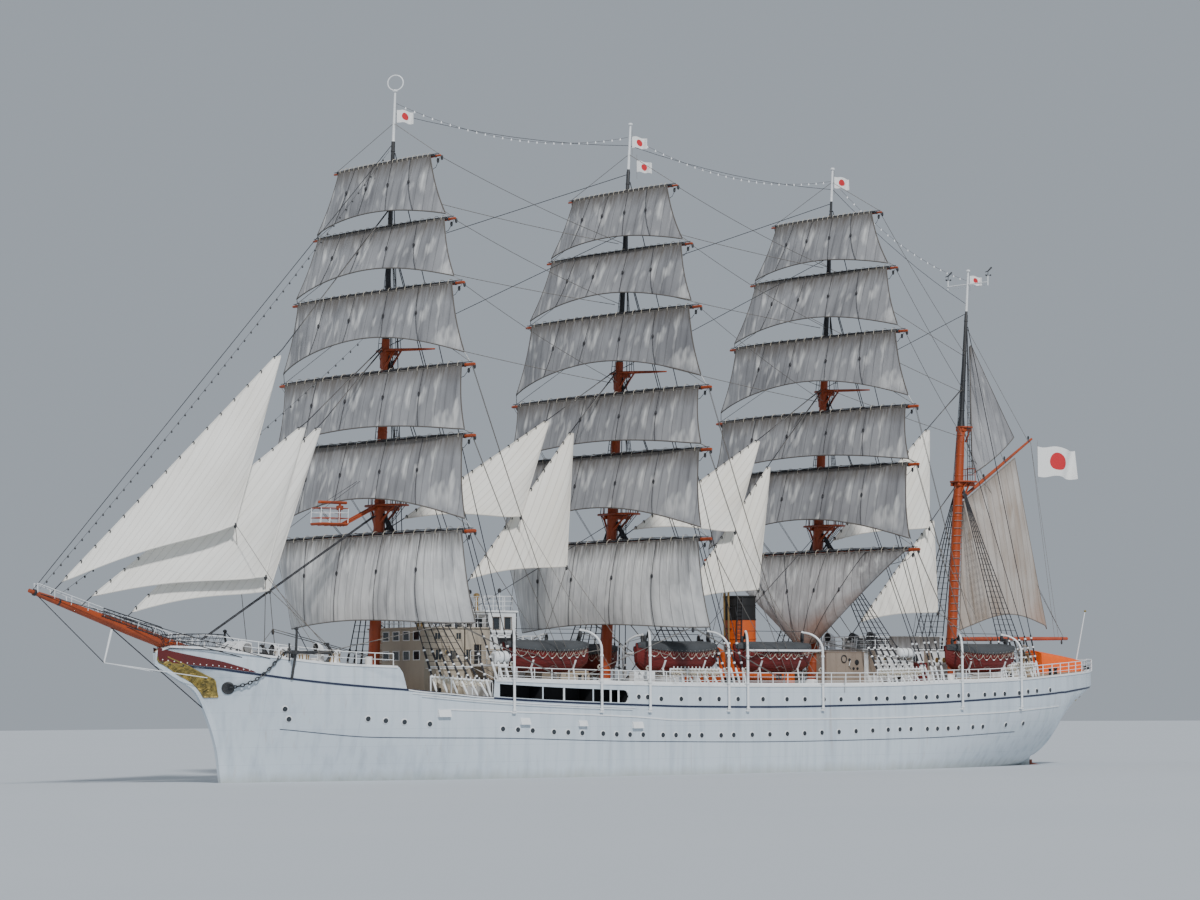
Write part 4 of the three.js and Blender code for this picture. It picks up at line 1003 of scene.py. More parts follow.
def build_mast(mast):
    shape = Shape()
    name = mast.name
    heel = mast.x - mast.rake * 6.2
    foot = WELL_DECK if name == "fore" else deck_z(heel) + 0.02
    white_from = WHITE_FROM[name]
    orange_to = mast.trees + (0.1 if name == "jigger" else 0.8)
    for low, high, material in ((foot, orange_to, ORANGE), (orange_to, white_from, BLACK),
                                (white_from, mast.truck, WHITE)):
        cuts = [h for h in (mast.top, mast.trees + 0.9, mast.truck - 3.5, mast.truck - 3.4) if low < h < high]
        heights = sorted([low, high, *cuts, *np.linspace(low, high, 6)[1:-1]])
        shape.add(*tube([mast.at(z) for z in heights], [mast.radius(z) for z in heights], 24), material)
    # coat round the mast where it passes the deck
    coat = [(0, 0.62), (0.12, 0.6), (0.3, 0.48), (0.42, 0.43)]
    shape.add(*lathe(coat, mast.at(foot), (-mast.rake, 0, 1), 20), WHITE)
    for z in np.arange(foot + 1.6, orange_to - 0.5, LOW_HOOP_STEP):
        shape.add(*lathe(hoop(mast.radius(z) + 0.02, 0.12), mast.at(z), (-mast.rake, 0, 1), 20), ORANGE)
    for z in np.arange(orange_to + 1.2, white_from, HIGH_HOOP_STEP):
        shape.add(*lathe(hoop(mast.radius(z) + 0.02, 0.1), mast.at(z), (-mast.rake, 0, 1), 16), BLACK)
    top_platform(shape, mast, mast.top, 1.35, 0.45, mast.top_half, 0.12)
    top_platform(shape, mast, mast.trees, 0.8, 0.2, mast.trees_half, 0.1)
    # rail at the after side of the top
    half = mast.top_half * 0.78
    rail = [(-0.3, half, 0), (-1.28, half * 0.95, 0), (-1.28, -half * 0.95, 0), (-0.3, -half, 0)]
    rail = mast.sheared([(x, y, mast.top + 0.12) for x, y, _ in rail])
    railing(shape, rail, 0.95, 2, 0.9, 0.024, ORANGE)
    # ladder rungs up the after side of the mast
    for z in np.arange(foot + 0.6, mast.top - 0.3, RUNG_STEP):
        radius = mast.radius(z)
        rung = [(-radius * 0.8, -0.2, z), (-radius - 0.1, -0.2, z), (-radius - 0.1, 0.2, z),
                (-radius * 0.8, 0.2, z)]
        points, faces = tube(rung, 0.018, 4)
        shape.add(mast.sheared(points), faces, ORANGE)
    truck = [(-0.02, 0.07), (0.0, 0.16), (0.08, 0.17), (0.14, 0.1)]
    shape.add(*lathe(truck, mast.at(mast.truck - 0.1), (0, 0, 1), 14), WHITE)
    if name != "jigger":
        for side in (PORT, STARBOARD):
            arm = [mast.at(mast.trees + 0.06, -0.1, side * 0.3), spreader_at(mast, side, 0.6),
                   spreader_at(mast, side)]
            shape.add(*tube(arm, (0.11, 0.09, 0.05), 8), ORANGE)
    if name == "fore":
        ring = []
        for angle in np.linspace(0, math.tau, 29):
            height = mast.truck + TRUCK_RING_ABOVE + TRUCK_RING_RADIUS * math.sin(angle)
            ring.append(mast.at(height) + np.array((0.37, -0.37, 0)) * math.cos(angle))
        shape.add(*tube(ring, 0.045, 8), WHITE)
    if name == "jigger":
        z, reach = mast.truck - SPREADER_DOWN, SPREADER_REACH
        shape.add(*tube([mast.at(z, 0, -reach), mast.at(z, 0, reach)], 0.05, 8), WHITE)
        shape.add(*tube([mast.at(z - 0.2, -0.1, y) for y in (-reach, -0.7, 0.7, reach)], 0.02, 5), WHITE)
        for y in (-reach, reach):
            shape.add(*tube([mast.at(z - 0.25, -0.05, y), mast.at(z + 0.5, 0, y)], 0.045, 8), WHITE)
            wind_gauge(shape, mast, z + 0.5, y)
    shape.piece(f"{name}mast_spar", slot="spar_paint", replaces=[f"{name}mast"], sharp=40)


def build_yards(mast):
    for yard in YARDS:
        shape = Shape()
        z = yard.heights[mast.name]
        middle = mast.at(z, yard.ahead)
        shares = [-share for share in YARD_SHARES[::-1]] + list(YARD_SHARES)
        radii = [yard.thick(share) for share in shares]
        ends = [middle + (0, share * yard.half, 0) for share in shares]
        shape.add(*tube(ends, radii, 16), ORANGE)
        for share in YARD_HOOPS:
            radius = yard.thick(share)
            band = [(0, radius), (0.01, radius + 0.025), (0.11, radius + 0.025), (0.12, radius)]
            shape.add(*lathe(band, middle + (0, share * yard.half, 0), (0, 1, 0), 14), BLACK)
        # jackstay along the top, on its eyes, and the truss to the mast
        rod = [point + (0.05, 0, radius + 0.06) for point, radius in zip(ends[1:-1], radii[1:-1])]
        shape.add(*tube(rod, 0.025, 5), BLACK)
        # head rope and gaskets bunched along the top of the yard
        bunch, thick = [], []
        for share in np.linspace(-0.9, 0.9, 37):
            up = yard.thick(share)
            bunch.append(middle + (0.1 + up * 0.55, share * yard.half, up * 0.75))
            thick.append(0.07 + 0.03 * math.sin(share * 47) * math.sin(share * 19))
        shape.add(*tube(bunch, thick, 6), WIRE)
        near = mast.at(z, mast.radius(z) + 0.02)
        arm = [near, near + (0.1, 0, 0), middle]
        shape.add(*tube(arm, (0.16, 0.12, 0.12), 10), ORANGE)
        yoke = [near + (-0.02, 0.28, 0.02), near + (0.12, 0.2, 0.02), middle + (0, 0.5, 0)]
        shape.both(*tube(yoke, (0.06, 0.06, 0.06), 8), BLACK)
        # foot ropes hang below and behind the yard from stirrups
        for side in (PORT, STARBOARD):
            line = []
            for k, share in enumerate(np.linspace(0.06, 0.95, 7)):
                hang = middle + (-0.16, side * share * yard.half, -0.85 if 0 < k < 6 else -0.1)
                line.append(hang)
                if 0 < k < 6:
                    up = middle + (-0.05, side * share * yard.half, yard.radius * 0.5)
                    shape.add(*tube([up, hang], 0.018, 4), BLACK)
                if k < 6:
                    after = middle + (-0.18, side * (share + 0.074) * yard.half, -0.97 if 0 < k < 5 else -0.7)
                    line.append(after)
            shape.add(*tube(line, 0.022, 4), BLACK)
            for share in (0.3, 0.93):
                pulley(shape, middle + (-0.1, side * share * yard.half, -yard.radius - 0.16), 0.22)
        shape.piece(f"{mast.name}_{yard.name}_spar", f"{mast.name}_yards", "spar_paint",
                    [f"{mast.name}_{yard.name}_yard"])


JAWS_CLEAR = 0.01


def build_gaff_and_boom():
    for name, (inner, outer, radius, taper), material in (("gaff", GAFF, ORANGE), ("boom", BOOM, SPAR_RED)):
        shape = Shape()
        end = np.array((outer[0], 0, outer[1]))
        start = np.array((inner[0], 0, inner[1]))
        start += (end - start) * JAWS_CLEAR
        shares = np.linspace(0, 1, 9)
        radii = np.interp(shares, (0, 0.25, 1), (radius * 0.85, radius, radius * taper))
        shape.add(*tube([start + (end - start) * s for s in shares], radii, 16), material)
        hoops(shape, start, end, (radius, radius * taper), (0.04, 0.3, 0.6, 0.95), BLACK, 0.1, 0.02, 14)
        for share in (0.3, 0.6, 0.95):
            pulley(shape, start + (end - start) * share + (0, 0, 0.3 if name == "gaff" else -0.3), 0.2)
        shape.piece(f"{name}_spar", "spanker_gear", "spar_paint", [name])


def build_bowsprit():
    shape = Shape()
    along = BOWSPRIT_TIP - BOWSPRIT_HEEL
    shares = np.linspace(0, 1, 10)
    radii = np.interp(shares, (0, 0.47, 0.96, 1), (0.4, 0.368, 0.18, 0.12))
    shape.add(*tube([BOWSPRIT_HEEL + along * s for s in shares], radii, 24), ORANGE)
    hoops(shape, BOWSPRIT_HEEL, BOWSPRIT_TIP, (0.38, 0.17), (0.3, 0.42, 0.54, 0.7, 0.84,
                                                             0.97), BLACK, 0.16, 0.03, 20)
    # rope rails on stanchions along both sides
    for side in (PORT, STARBOARD):
        line = []
        for share in np.linspace(0.24, 0.96, 9):
            axis = BOWSPRIT_HEEL + along * share
            foot = axis + (0, side * float(np.interp(share, (0, 1), (0.38, 0.17))), 0.05)
            head = axis + (0.03, side * 0.72 * (1.25 - share), 0.62)
            shape.add(*tube([foot, head], 0.025, 5), WHITE)
            line.append(head)
        shape.add(*tube(line, 0.02, 5), WHITE)
    shape.piece("bowsprit_spar", slot="spar_paint", replaces=["bowsprit"])


for mast in MASTS.values():
    build_mast(mast)
for name in SQUARE_MASTS:
    build_yards(MASTS[name])
build_gaff_and_boom()
build_bowsprit()


# Sails

SAIL_THICK = 0.02
SAIL_AHEAD = 0.07
CLEW_ABOVE = {"lower_topsail": 0.8, "upper_topsail": 0.42, "lower_topgallant": 0.8, "upper_topgallant": 0.45,
              "royal": 0.35}
CLEW_INSIDE = 0.75
COURSE_CLEW = 10.0
CLEW_AFT = 1.6
EARING = 0.2
COURSE_FOOT = {"fore": 10.15, "main": 10.05, "mizzen": 9.4}
CLEWED_FOOT_HALF = 1.1
BUNT_LINES = (-0.62, -0.22, 0.22, 0.62)
SPANKER_THROAT, SPANKER_PEAK = np.array((-29.72, 0, 20.1)), np.array((-35.62, 0, 23.72))
SPANKER_CLEW, SPANKER_TACK = np.array((-38.97, 0, 10.5)), np.array((-29.2, 0, 10.33))
TOPSAIL_HEAD, TOPSAIL_FOOT = np.array((-30.72, 0, 32.49)), np.array((-30.84, 0, 22.29))
TOPSAIL_CLEW = np.array((-35.57, 0, 25.32))

# Cloth simulation: share of its speed that cloth keeps, rounds of pulling at the threads in each step,
# and how firmly the roped leeches keep their place
DRAG, PULLS, LEECH_STIFFNESS = 0.9, 10, 0.35
# wind on the cloth and weight of the cloth, per step
SQUARE_WIND, STAYSAIL_WIND, SAIL_WEIGHT, SPANKER_WEIGHT = -0.0008, -0.0006, 0.002, 0.003


class Staysail:
    """Height of the stay's head on its mast, then (x, z) of its foot and of the sail's tack and head,
    (x, y, z) of the clew, which is set out to port, and the depth of the belly."""

    def __init__(self, name, mast, height, foot, tack, head, clew, belly):
        self.name, self.mast, self.height, self.belly = name, MASTS[mast], height, belly
        self.foot, self.tack, self.head = (np.array((x, 0, z)) for x, z in (foot, tack, head))
        self.clew = np.array(clew, float)
        self.upper = self.mast.at(height, self.mast.radius(height) + 0.06)


STAYSAILS = [
    Staysail(*row) for row in (
        ("flying_jib", "fore", 38.0, (52, 11.91), (51.2, 12.65), (34.29, 28.16), (39.4, 1.9, 16.5), 0.5),
        ("outer_jib", "fore", 28.75, (49.7, 11.24), (49, 11.8), (32.36, 23.46), (36.6, 1.3, 13.25), 0.5),
        ("fore_topmast_staysail", "fore", 28.52,
         (46.6, 10.36), (46, 10.85), (31.05, 23.52), (35.7, 0.5, 12.4), 0.2),
        ("main_topmast_staysail", "main", 28.33,
         (25.9, 16.5), (24.35, 17.33), (11.47, 24.68), (14.9, 0.9, 17.75), 0.3),
        ("main_staysail", "main", 28.12, (21.75, 10.12), (18.69, 13.42), (9.34, 24.08),
         (10.4, 0.4, 14.42), 0.3),
        ("mizzen_topmast_staysail", "mizzen", 27.97,
         (5.3, 16.35), (3.91, 17.13), (-8.55, 24.14), (-5.1, 0.9, 17.23), 0.3),
        ("mizzen_staysail", "mizzen", 27.77, (4.9, 6.4), (-0.4, 12), (-9.53, 22.39), (-7.8, 0.4, 13.11), 0.3),
        ("jigger_topmast_staysail", "jigger", 28.7,
         (-14.75, 15.9), (-15.76, 16.81), (-26.18, 25.76), (-25.2, 0.8, 18.03), 0.3),
        ("jigger_staysail", "jigger", 21.2,
         (-16.6, 8.86), (-18.58, 10.86), (-26.52, 18.84), (-26.4, 0.4, 11.68), 0.3),
    )
]


def cloth_x(mast, yard, z):
    return mast.x_at(z) + yard.ahead + yard.radius + SAIL_AHEAD


def normals(grid):
    """Unit normals of a grid of points."""
    normal = np.cross(np.gradient(grid, axis=1), np.gradient(grid, axis=0))
    return normal / (np.linalg.norm(normal, axis=2)[..., None] + 1e-9)


def two_sided(front, back):
    """Points and faces of a closed thin sheet between two grids, and the indices round its edge."""
    rows, columns = front.shape[:2]
    count = rows * columns
    faces = grid_faces(rows, columns)
    faces += [tuple(i + count for i in face[::-1]) for face in grid_faces(rows, columns)]
    border = list(range(columns)) + [i * columns + columns - 1 for i in range(1, rows)]
    border += [(rows - 1) * columns + j for j in range(columns - 2, -1, -1)]
    border += [i * columns for i in range(rows - 2, 0, -1)]
    faces += [(b, a, a + count, b + count) for a, b in zip(border, border[1:] + border[:1])]
    return np.concatenate([front.reshape(-1, 3), back.reshape(-1, 3)]), faces, border


def settle(grid, pinned, push, weight, spare, steps, seed):
    """Cloth simulation: pulls a grid of points to rest under wind and weight.

    The cloth's own lengths are those of the starting grid, longer across by the share spare.
    Threads only pull, so spare cloth folds. pinned points stay; push is the wind on the cloth."""
    rows, columns = grid.shape[:2]
    random = np.random.default_rng(seed)
    place = grid + random.normal(0, 0.035, grid.shape) * ~pinned[..., None]
    before = place.copy()
    links = []
    for di, dj, slack, give in ((0, 1, spare, 1.0), (1, 0, spare, 1.0), (1, 1, spare * 1.3, 0.5),
                                (1, -1, spare * 1.3, 0.5), (0, 2, -0.02, 0.06), (2, 0, -0.02, 0.06)):
        a = (slice(0, rows - di), slice(max(0, -dj), columns - max(0, dj)))
        b = (slice(di, rows), slice(max(0, dj), columns - max(0, -dj)))
        rest = np.linalg.norm(grid[b] - grid[a], axis=2) * (1 + slack)
        if (di, dj) == (1, 0):
            rest /= 1 + slack
        links.append((a, b, rest, give, slack < 0))
    free = ~pinned
    for _ in range(steps):
        normal = normals(place)
        drift = (place - before) * DRAG
        before = place.copy()
        place = place + drift * free[..., None]
        place += (normal * push + np.array((0, 0, -weight))) * free[..., None]
        for _ in range(PULLS):
            for a, b, rest, give, both_ways in links:
                gap = place[b] - place[a]
                length = np.linalg.norm(gap, axis=2)
                over = (length - rest) / (length + 1e-9)
                if not both_ways:
                    over = np.maximum(over, 0)
                fa, fb = free[a], free[b]
                share = np.where(fa & fb, 0.5, 1.0) * over * give
                move = gap * share[..., None]
                place[a] += move * fa[..., None]
                place[b] -= move * fb[..., None]
        # the roped leeches are stiff
        place[:, (0, -1)] += (grid[:, (0, -1)] - place[:, (0, -1)]) * LEECH_STIFFNESS
    return place


def cloth_piece(name, grid, flat_grid, material, body, slot, node, edge=0.045):
    """Closed thin sail over a settled grid, with its bolt rope."""
    rows, columns = grid.shape[:2]
    normal = normals(grid)
    points, faces, border = two_sided(grid + normal * SAIL_THICK / 2, grid - normal * SAIL_THICK / 2)
    shape = Shape()
    shape.add(points, faces, material)
    widths = np.linalg.norm(np.diff(flat_grid, axis=1), axis=2)
    u = np.concatenate([np.zeros((rows, 1)), np.cumsum(widths, axis=1)], axis=1)
    u -= u[:, columns // 2][:, None] if columns % 2 else 0
    lengths = np.linalg.norm(np.diff(flat_grid, axis=0), axis=2)
    v = np.concatenate([np.zeros((1, columns)), np.cumsum(lengths, axis=0)], axis=0)
    uvs = np.stack([u, v], axis=2).reshape(-1, 2) * MODEL
    made = shape.piece(name, body, slot, [node], sharp=60, uvs=np.concatenate([uvs, uvs]))
    rope_shape = Shape()
    ring = grid.reshape(-1, 3)[border + border[:1]]
    rope_shape.add(*tube(ring, edge, 5, capped=False), material)
    rope_shape.piece(f"{name}_bolt_rope", body, slot, [node])
    return made


def square_grid(mast, index, rows, columns):
    """Sail as it is cut and set, before it settles: rows run down, columns from starboard to port."""
    yard = YARDS[index]
    below = YARDS[index - 1] if index else None
    head_z = yard.heights[mast.name] + 0.05
    head_x = cloth_x(mast, yard, head_z)
    foot_z = below.heights[mast.name] + CLEW_ABOVE[yard.name] if below else COURSE_FOOT[mast.name]
    foot_x = cloth_x(mast, below, foot_z) if below else head_x + 0.25
    foot_half = below.half - CLEW_INSIDE if below else COURSE_CLEW
    depth = head_z - foot_z
    t, s = np.meshgrid(np.linspace(0, 1, rows), np.linspace(-1, 1, columns), indexing="ij")
    if mast.name == "mizzen" and index == 0:
        half = yard.head + (CLEWED_FOOT_HALF - yard.head) * t ** 0.9
        swell = 0.7 * np.sin(np.pi * t * 0.8) * (1 - s * s)
        return np.stack([head_x + swell, s * half, head_z - depth * t], axis=2)
    head = yard.head - EARING
    half = head + (foot_half - head) * t - 0.2 * np.sin(np.pi * t)
    arch = yard.roach * (1 - s * s) * t * t
    swell = (0.1 * depth + 0.15) * np.sin(np.pi * np.minimum(1, t * 0.85 + 0.05)) * (1 - s ** 4)
    aft = 0 if index else CLEW_AFT * np.abs(s) ** 1.5 * t
    return np.stack([head_x + (foot_x - head_x) * t + swell - aft, s * half,
                     head_z - depth * t + arch], axis=2)


def build_square_sails(mast):
    rows, columns = ((31, 57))
    for index, yard in enumerate(YARDS):
        grid = square_grid(mast, index, rows, columns)
        flat = grid
        clewed_up = mast.name == "mizzen" and index == 0
        pinned = np.zeros((rows, columns), bool)
        pinned[0, ::2] = True
        pinned[-1, 0] = pinned[-1, -1] = True
        seed = 100 * SQUARE_MASTS.index(mast.name) + index
        spare = 0.03 if clewed_up else 0.01 if index == 0 else 0.006
        grid = settle(grid, pinned, SQUARE_WIND, SAIL_WEIGHT, spare, 60, seed)
        # painted shade and light: the sails above the courses get the shaded canvas, the courses the lit one
        cloth = SHADED_SAIL_CLOTH if index else CLEWED_CLOTH if clewed_up else LIT_COURSE_CLOTH
        cloth_piece(f"{mast.name}_{yard.name}_sail", grid, flat, cloth, f"{mast.name}_yards", "sail_canvas",
                    f"{mast.name}_square_sails")
        gear = Shape()
        bunt_lines(gear, grid, yard)
        if index:
            below = YARDS[index - 1]
            z = below.heights[mast.name]
            for side in (PORT, STARBOARD):
                clew = grid[-1, -1 if side == PORT else 0]
                sheave = np.array((mast.x_at(z) + below.ahead, side * (below.half - 0.5), z + below.radius))
                gear.add(*tube([clew, sheave], 0.03, 5), STEEL)
        gear.piece(f"{mast.name}_{yard.name}_bunt_lines", f"{mast.name}_yards", "wire")


def bunt_lines(shape, grid, yard):
    """Dark knotted lines down the front of the sail, and the loops that tie its head to the yard."""
    rows, columns = grid.shape[:2]
    for share in BUNT_LINES:
        j = int(round((share + 1) / 2 * (columns - 1)))
        line = grid[:, j] + (0.05, 0, 0)
        shape.add(*tube(line, 0.022, 4), WIRE)
        knot = line[rows * 2 // 5]
        shape.add(*lathe([(-0.16, 0.03), (-0.06, 0.09), (0.06, 0.09), (0.16, 0.03)],
                         knot, (0, 0, 1), 6), WIRE)
    for j in range(1, columns - 1, 3):
        at = grid[0, j] - (yard.radius + SAIL_AHEAD * 0.5, 0, 0)
        loop = [at + (math.cos(a) * (yard.radius + 0.08), 0, math.sin(a) * (yard.radius + 0.08))
                for a in np.linspace(-0.3, math.pi, 6)]
        shape.add(*tube(loop, 0.02, 4), HEMP)


def corner_grid(tack, head, clew, belly, foot_arch, rows, columns):
    """Three-cornered sail between its luff and its clew, bellied to port; rows run down from the head."""
    t, s = np.meshgrid(np.linspace(0.04, 1, rows), np.linspace(0, 1, columns), indexing="ij")
    edge = tack + (clew * (1, 0, 1) - tack) * s[..., None]
    points = head + (edge - head) * t[..., None]
    points[..., 2] += foot_arch * np.sin(np.pi * s) * t * t
    points[..., 1] += clew[1] * s * t + belly * np.sin(np.pi * s) * np.sin(np.pi * np.minimum(1, t * 0.9))
    return points


def build_staysails():
    rows, columns = ((47, 31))
    for k, sail in enumerate(STAYSAILS):
        grid = corner_grid(sail.tack, sail.head, sail.clew, sail.belly, 0.35, rows, columns)
        flat = grid
        pinned = np.zeros((rows, columns), bool)
        pinned[:, 0] = pinned[0, :] = pinned[-1, -1] = True
        grid = settle(grid, pinned, STAYSAIL_WIND, SAIL_WEIGHT, 0.003, 50, 500 + k)
        cloth = JIB_CLOTH if sail.mast.name == "fore" else STAY_CLOTH
        cloth_piece(f"{sail.name}_sail", grid, flat, cloth, "ship", "staysail_cloth", sail.name)
        shape = Shape()
        shape.add(*tube([sail.foot, sail.tack, sail.head, sail.upper], 0.035, 8), WIRE)
        for i in range(0, rows, 3):
            at = grid[i, 0]
            hank = [at + (0, 0.1 * math.cos(a), 0.1 * math.sin(a)) for a in np.linspace(0, math.tau, 7)]
            shape.add(*tube(hank, 0.04, 4), BLACK)
        shape.piece(f"{sail.name}_stay", slot="wire", replaces=[sail.name])


def build_spanker():
    throat, peak, clew, tack = SPANKER_THROAT, SPANKER_PEAK, SPANKER_CLEW, SPANKER_TACK
    rows, columns = ((51, 37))
    t, s = np.meshgrid(np.linspace(0, 1, rows), np.linspace(0, 1, columns), indexing="ij")
    t, s = t[..., None], s[..., None]
    grid = (throat + (peak - throat) * s) * (1 - t) + (tack + (clew - tack) * s) * t
    grid[..., 2] += (1.5 * np.sin(np.pi * s) * t * t)[..., 0]
    grid[..., 1] += (0.45 * np.sin(np.pi * s) * np.sin(np.pi * t))[..., 0]
    flat = grid
    pinned = np.zeros((rows, columns), bool)
    pinned[0, ::2] = pinned[:, 0] = pinned[-1, -1] = True
    grid = settle(grid, pinned, SQUARE_WIND, SPANKER_WEIGHT, 0.006, 60, 700)
    cloth_piece("spanker_sail", grid, flat, SPANKER_CLOTH, "spanker_gear", "sail_canvas", "spanker")
    rows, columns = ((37, 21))
    grid = corner_grid(TOPSAIL_FOOT, TOPSAIL_HEAD, TOPSAIL_CLEW, 0.2, 0.0, rows, columns)
    flat = grid
    pinned = np.zeros((rows, columns), bool)
    pinned[0, :] = pinned[:, 0] = pinned[-1, -1] = True
    grid = settle(grid, pinned, SQUARE_WIND, SPANKER_WEIGHT, 0.005, 50, 800)
    cloth_piece("gaff_topsail_sail", grid, flat, SHADED_SAIL_CLOTH, "spanker_gear", "sail_canvas", "gaff_topsail")


for name in SQUARE_MASTS:
    build_square_sails(MASTS[name])
build_staysails()
build_spanker()


# Rigging

SHROUD_RADIUS = 0.04
RATLINE_RADIUS = 0.02
RATLINE_STEP = 0.42
PIN_STEP, LAMP_STEP = 0.33, 0.75
MARTINGALE = np.array((48.07, 0, 7.66))

# mast, number of lower shrouds, how far aft of the mast the first comes down, spacing, height of their head,
# topmast and topgallant backstays: (height on the mast, distance aft of its foot)
STANDING = {
    "fore": (6, 1.25, 0.78, 17.6, ((28.3, 5.4), (28.3, 5.9), (35.9, 6.3), (36.1, 6.8), (41.9, 7.3))),
    "main": (6, 0.9, 0.78, 17.6, ((27.9, 5.4), (27.9, 5.9), (35.9, 6.4), (36.1, 6.9), (41.8, 7.5))),
    "mizzen": (6, 0.9, 0.78, 17.3, ((27.6, 5.4), (27.6, 5.9), (35.6, 6.4), (35.8, 6.9), (41.4, 7.5))),
    "jigger": (5, 0.5, 0.85, 21.2, ((25.5, 4.4), (33.6, 4.8))),
}


def rail_point(x, side, inset=0.06, lift=0.05):
    z = deck_z(x)
    return np.array((x, side * (float(hull_half(x, z)) - inset), z + lift))


def hanging(a, b, sag, s):
    """Point at the share s of a line from a to b that hangs by sag at its middle."""
    return a + (b - a) * s - (0, 0, 4 * sag * s * (1 - s))


def wire(shape, a, b, radius=SHROUD_RADIUS, material=None, sides=5, sag=0.0):
    a, b = np.array(a, float), np.array(b, float)
    line = [hanging(a, b, sag, s) for s in np.linspace(0, 1, 9 if sag else 2)]
    shape.add(*tube(line, radius, sides), material or WIRE)


def set_up(shape, foot, head, radius=SHROUD_RADIUS):
    """A wire with its white rigging screw and the served end above it."""
    foot, head = np.array(foot, float), np.array(head, float)
    along = (head - foot) / np.linalg.norm(head - foot)
    screw = [(0, 0.03), (0.1, 0.06), (0.2, 0.08), (1.1, 0.08), (1.2, 0.05), (1.25, radius)]
    shape.add(*lathe(screw, foot, along, 8), WHITE)
    wire(shape, foot + along * 1.2, foot + along * 3.2, radius * 1.9)
    for lift in (1.55, 2.25, 2.95):
        bead = [(-0.08, 0.05), (-0.05, 0.1), (0.05, 0.1), (0.08, 0.05)]
        shape.add(*lathe(bead, foot + along * lift, along, 6), WHITE)
    wire(shape, foot + along * 2.4, head, radius)


def ratlines(shape, wires, low, high, step=RATLINE_STEP):
    """Steps across a gang of shrouds: each wire is (foot, head)."""
    for z in np.arange(low, high, step):
        line = []
        for foot, head in wires:
            share = (z - foot[2]) / (head[2] - foot[2])
            line.append(foot + (head - foot) * share)
        shape.add(*tube(line, RATLINE_RADIUS, 3), WIRE)


def shear_pole(shape, wires, z):
    line = [foot + (head - foot) * (z - foot[2]) / (head[2] - foot[2]) for foot, head in wires]
    shape.add(*tube(line, 0.04, 6), WHITE)


def pin_rail(shape, start, end, coils=True):
    """Rail with belaying pins and the coils of line hung on them."""
    start, end = np.array(start, float), np.array(end, float)
    shape.add(*tube([start, end], 0.07, 6), WHITE)
    count = int(np.linalg.norm(end - start) / PIN_STEP)
    for k in range(1, count):
        at = start + (end - start) * k / count
        pin = [(-0.22, 0.02), (-0.05, 0.028), (0.02, 0.028), (0.1, 0.045), (0.2, 0.03)]
        shape.add(*lathe(pin, at, (0, 0, 1), 6), WHITE)
        if coils:
            drop = 0.5 + 0.12 * math.sin(2.7 * k)
            for turn in (0.7, 1.0):
                loop = [at + (0.12 * turn * math.sin(a), 0.07 * math.cos(a * 2),
                              -drop * turn * (0.5 + 0.5 * math.cos(a)))
                        for a in np.linspace(0, math.tau, 9)]
                shape.add(*tube(loop, 0.05, 5), HEMP)


def standing_rigging(mast):
    count, first, spacing, head_z, backstays = STANDING[mast.name]
    shape, deck_x = Shape(), mast.x_at(6.5)
    for side in (PORT, STARBOARD):
        gang = []
        for k in range(count):
            foot = rail_point(deck_x - first - k * spacing, side)
            head = mast.at(head_z, -0.05 - 0.03 * k, side * 0.33)
            gang.append((foot, head))
            set_up(shape, foot, head)
        ratlines(shape, gang, gang[0][0][2] + 2.0, head_z - 1.3)
        shear_pole(shape, gang, gang[0][0][2] + 1.65)
        fore_end, aft_end = gang[0][0] + (0.3, -side * 0.25, 1.0), gang[-1][0] + (-0.6, -side * 0.25, 1.0)
        pin_rail(shape, fore_end, aft_end)
        for share in (0.0, 0.33, 0.67, 1.0):
            foot = fore_end + (aft_end - fore_end) * share
            shape.add(*tube([foot - (0, 0, 1.05), foot + (0, 0, 0.05)], 0.05, 6), WHITE)
        edge_z = mast.top + 0.15
        if mast.name != "jigger":
            upper = []
            for k in range(4):
                foot = mast.at(edge_z, -0.25 - 0.3 * k, side * (1.6 - 0.06 * k))
                head = mast.at(mast.trees - 0.15, -0.06 - 0.02 * k, side * 0.22)
                upper.append((foot, head))
                wire(shape, foot, head, 0.026)
                low = mast.at(mast.top - 1.9, -0.1, side * (mast.radius(mast.top) - 0.04))
                wire(shape, low, foot, 0.024)
            ratlines(shape, upper, edge_z + 0.7, mast.trees - 1.1)
            top_gang = []
            for k in range(3):
                foot = mast.at(mast.trees + 0.1, -0.12 - 0.25 * k, side * (0.98 - 0.05 * k))
                head = mast.at(mast.truck - 10.2, -0.05, side * 0.17)
                top_gang.append((foot, head))
                wire(shape, foot, head, 0.022)
                low = mast.at(mast.trees - 1.5, -0.08, side * 0.25)
                wire(shape, low, foot, 0.02)
            ratlines(shape, top_gang, mast.trees + 0.6, mast.truck - 11.2)
        else:
            upper = []
            for k in range(3):
                foot = mast.at(edge_z, -0.2 - 0.3 * k, side * (0.76 - 0.04 * k))
                head = mast.at(33.4, -0.05, side * 0.13)
                upper.append((foot, head))
                wire(shape, foot, head, 0.024)
            ratlines(shape, upper, edge_z + 0.6, 32.6)
        for height, aft in backstays:
            foot = rail_point(deck_x - aft, side)
            set_up(shape, foot, mast.at(height, -0.1, side * mast.radius(height) * 0.9), 0.032)
    shape.piece(f"{mast.name}mast_shrouds", slot="wire")


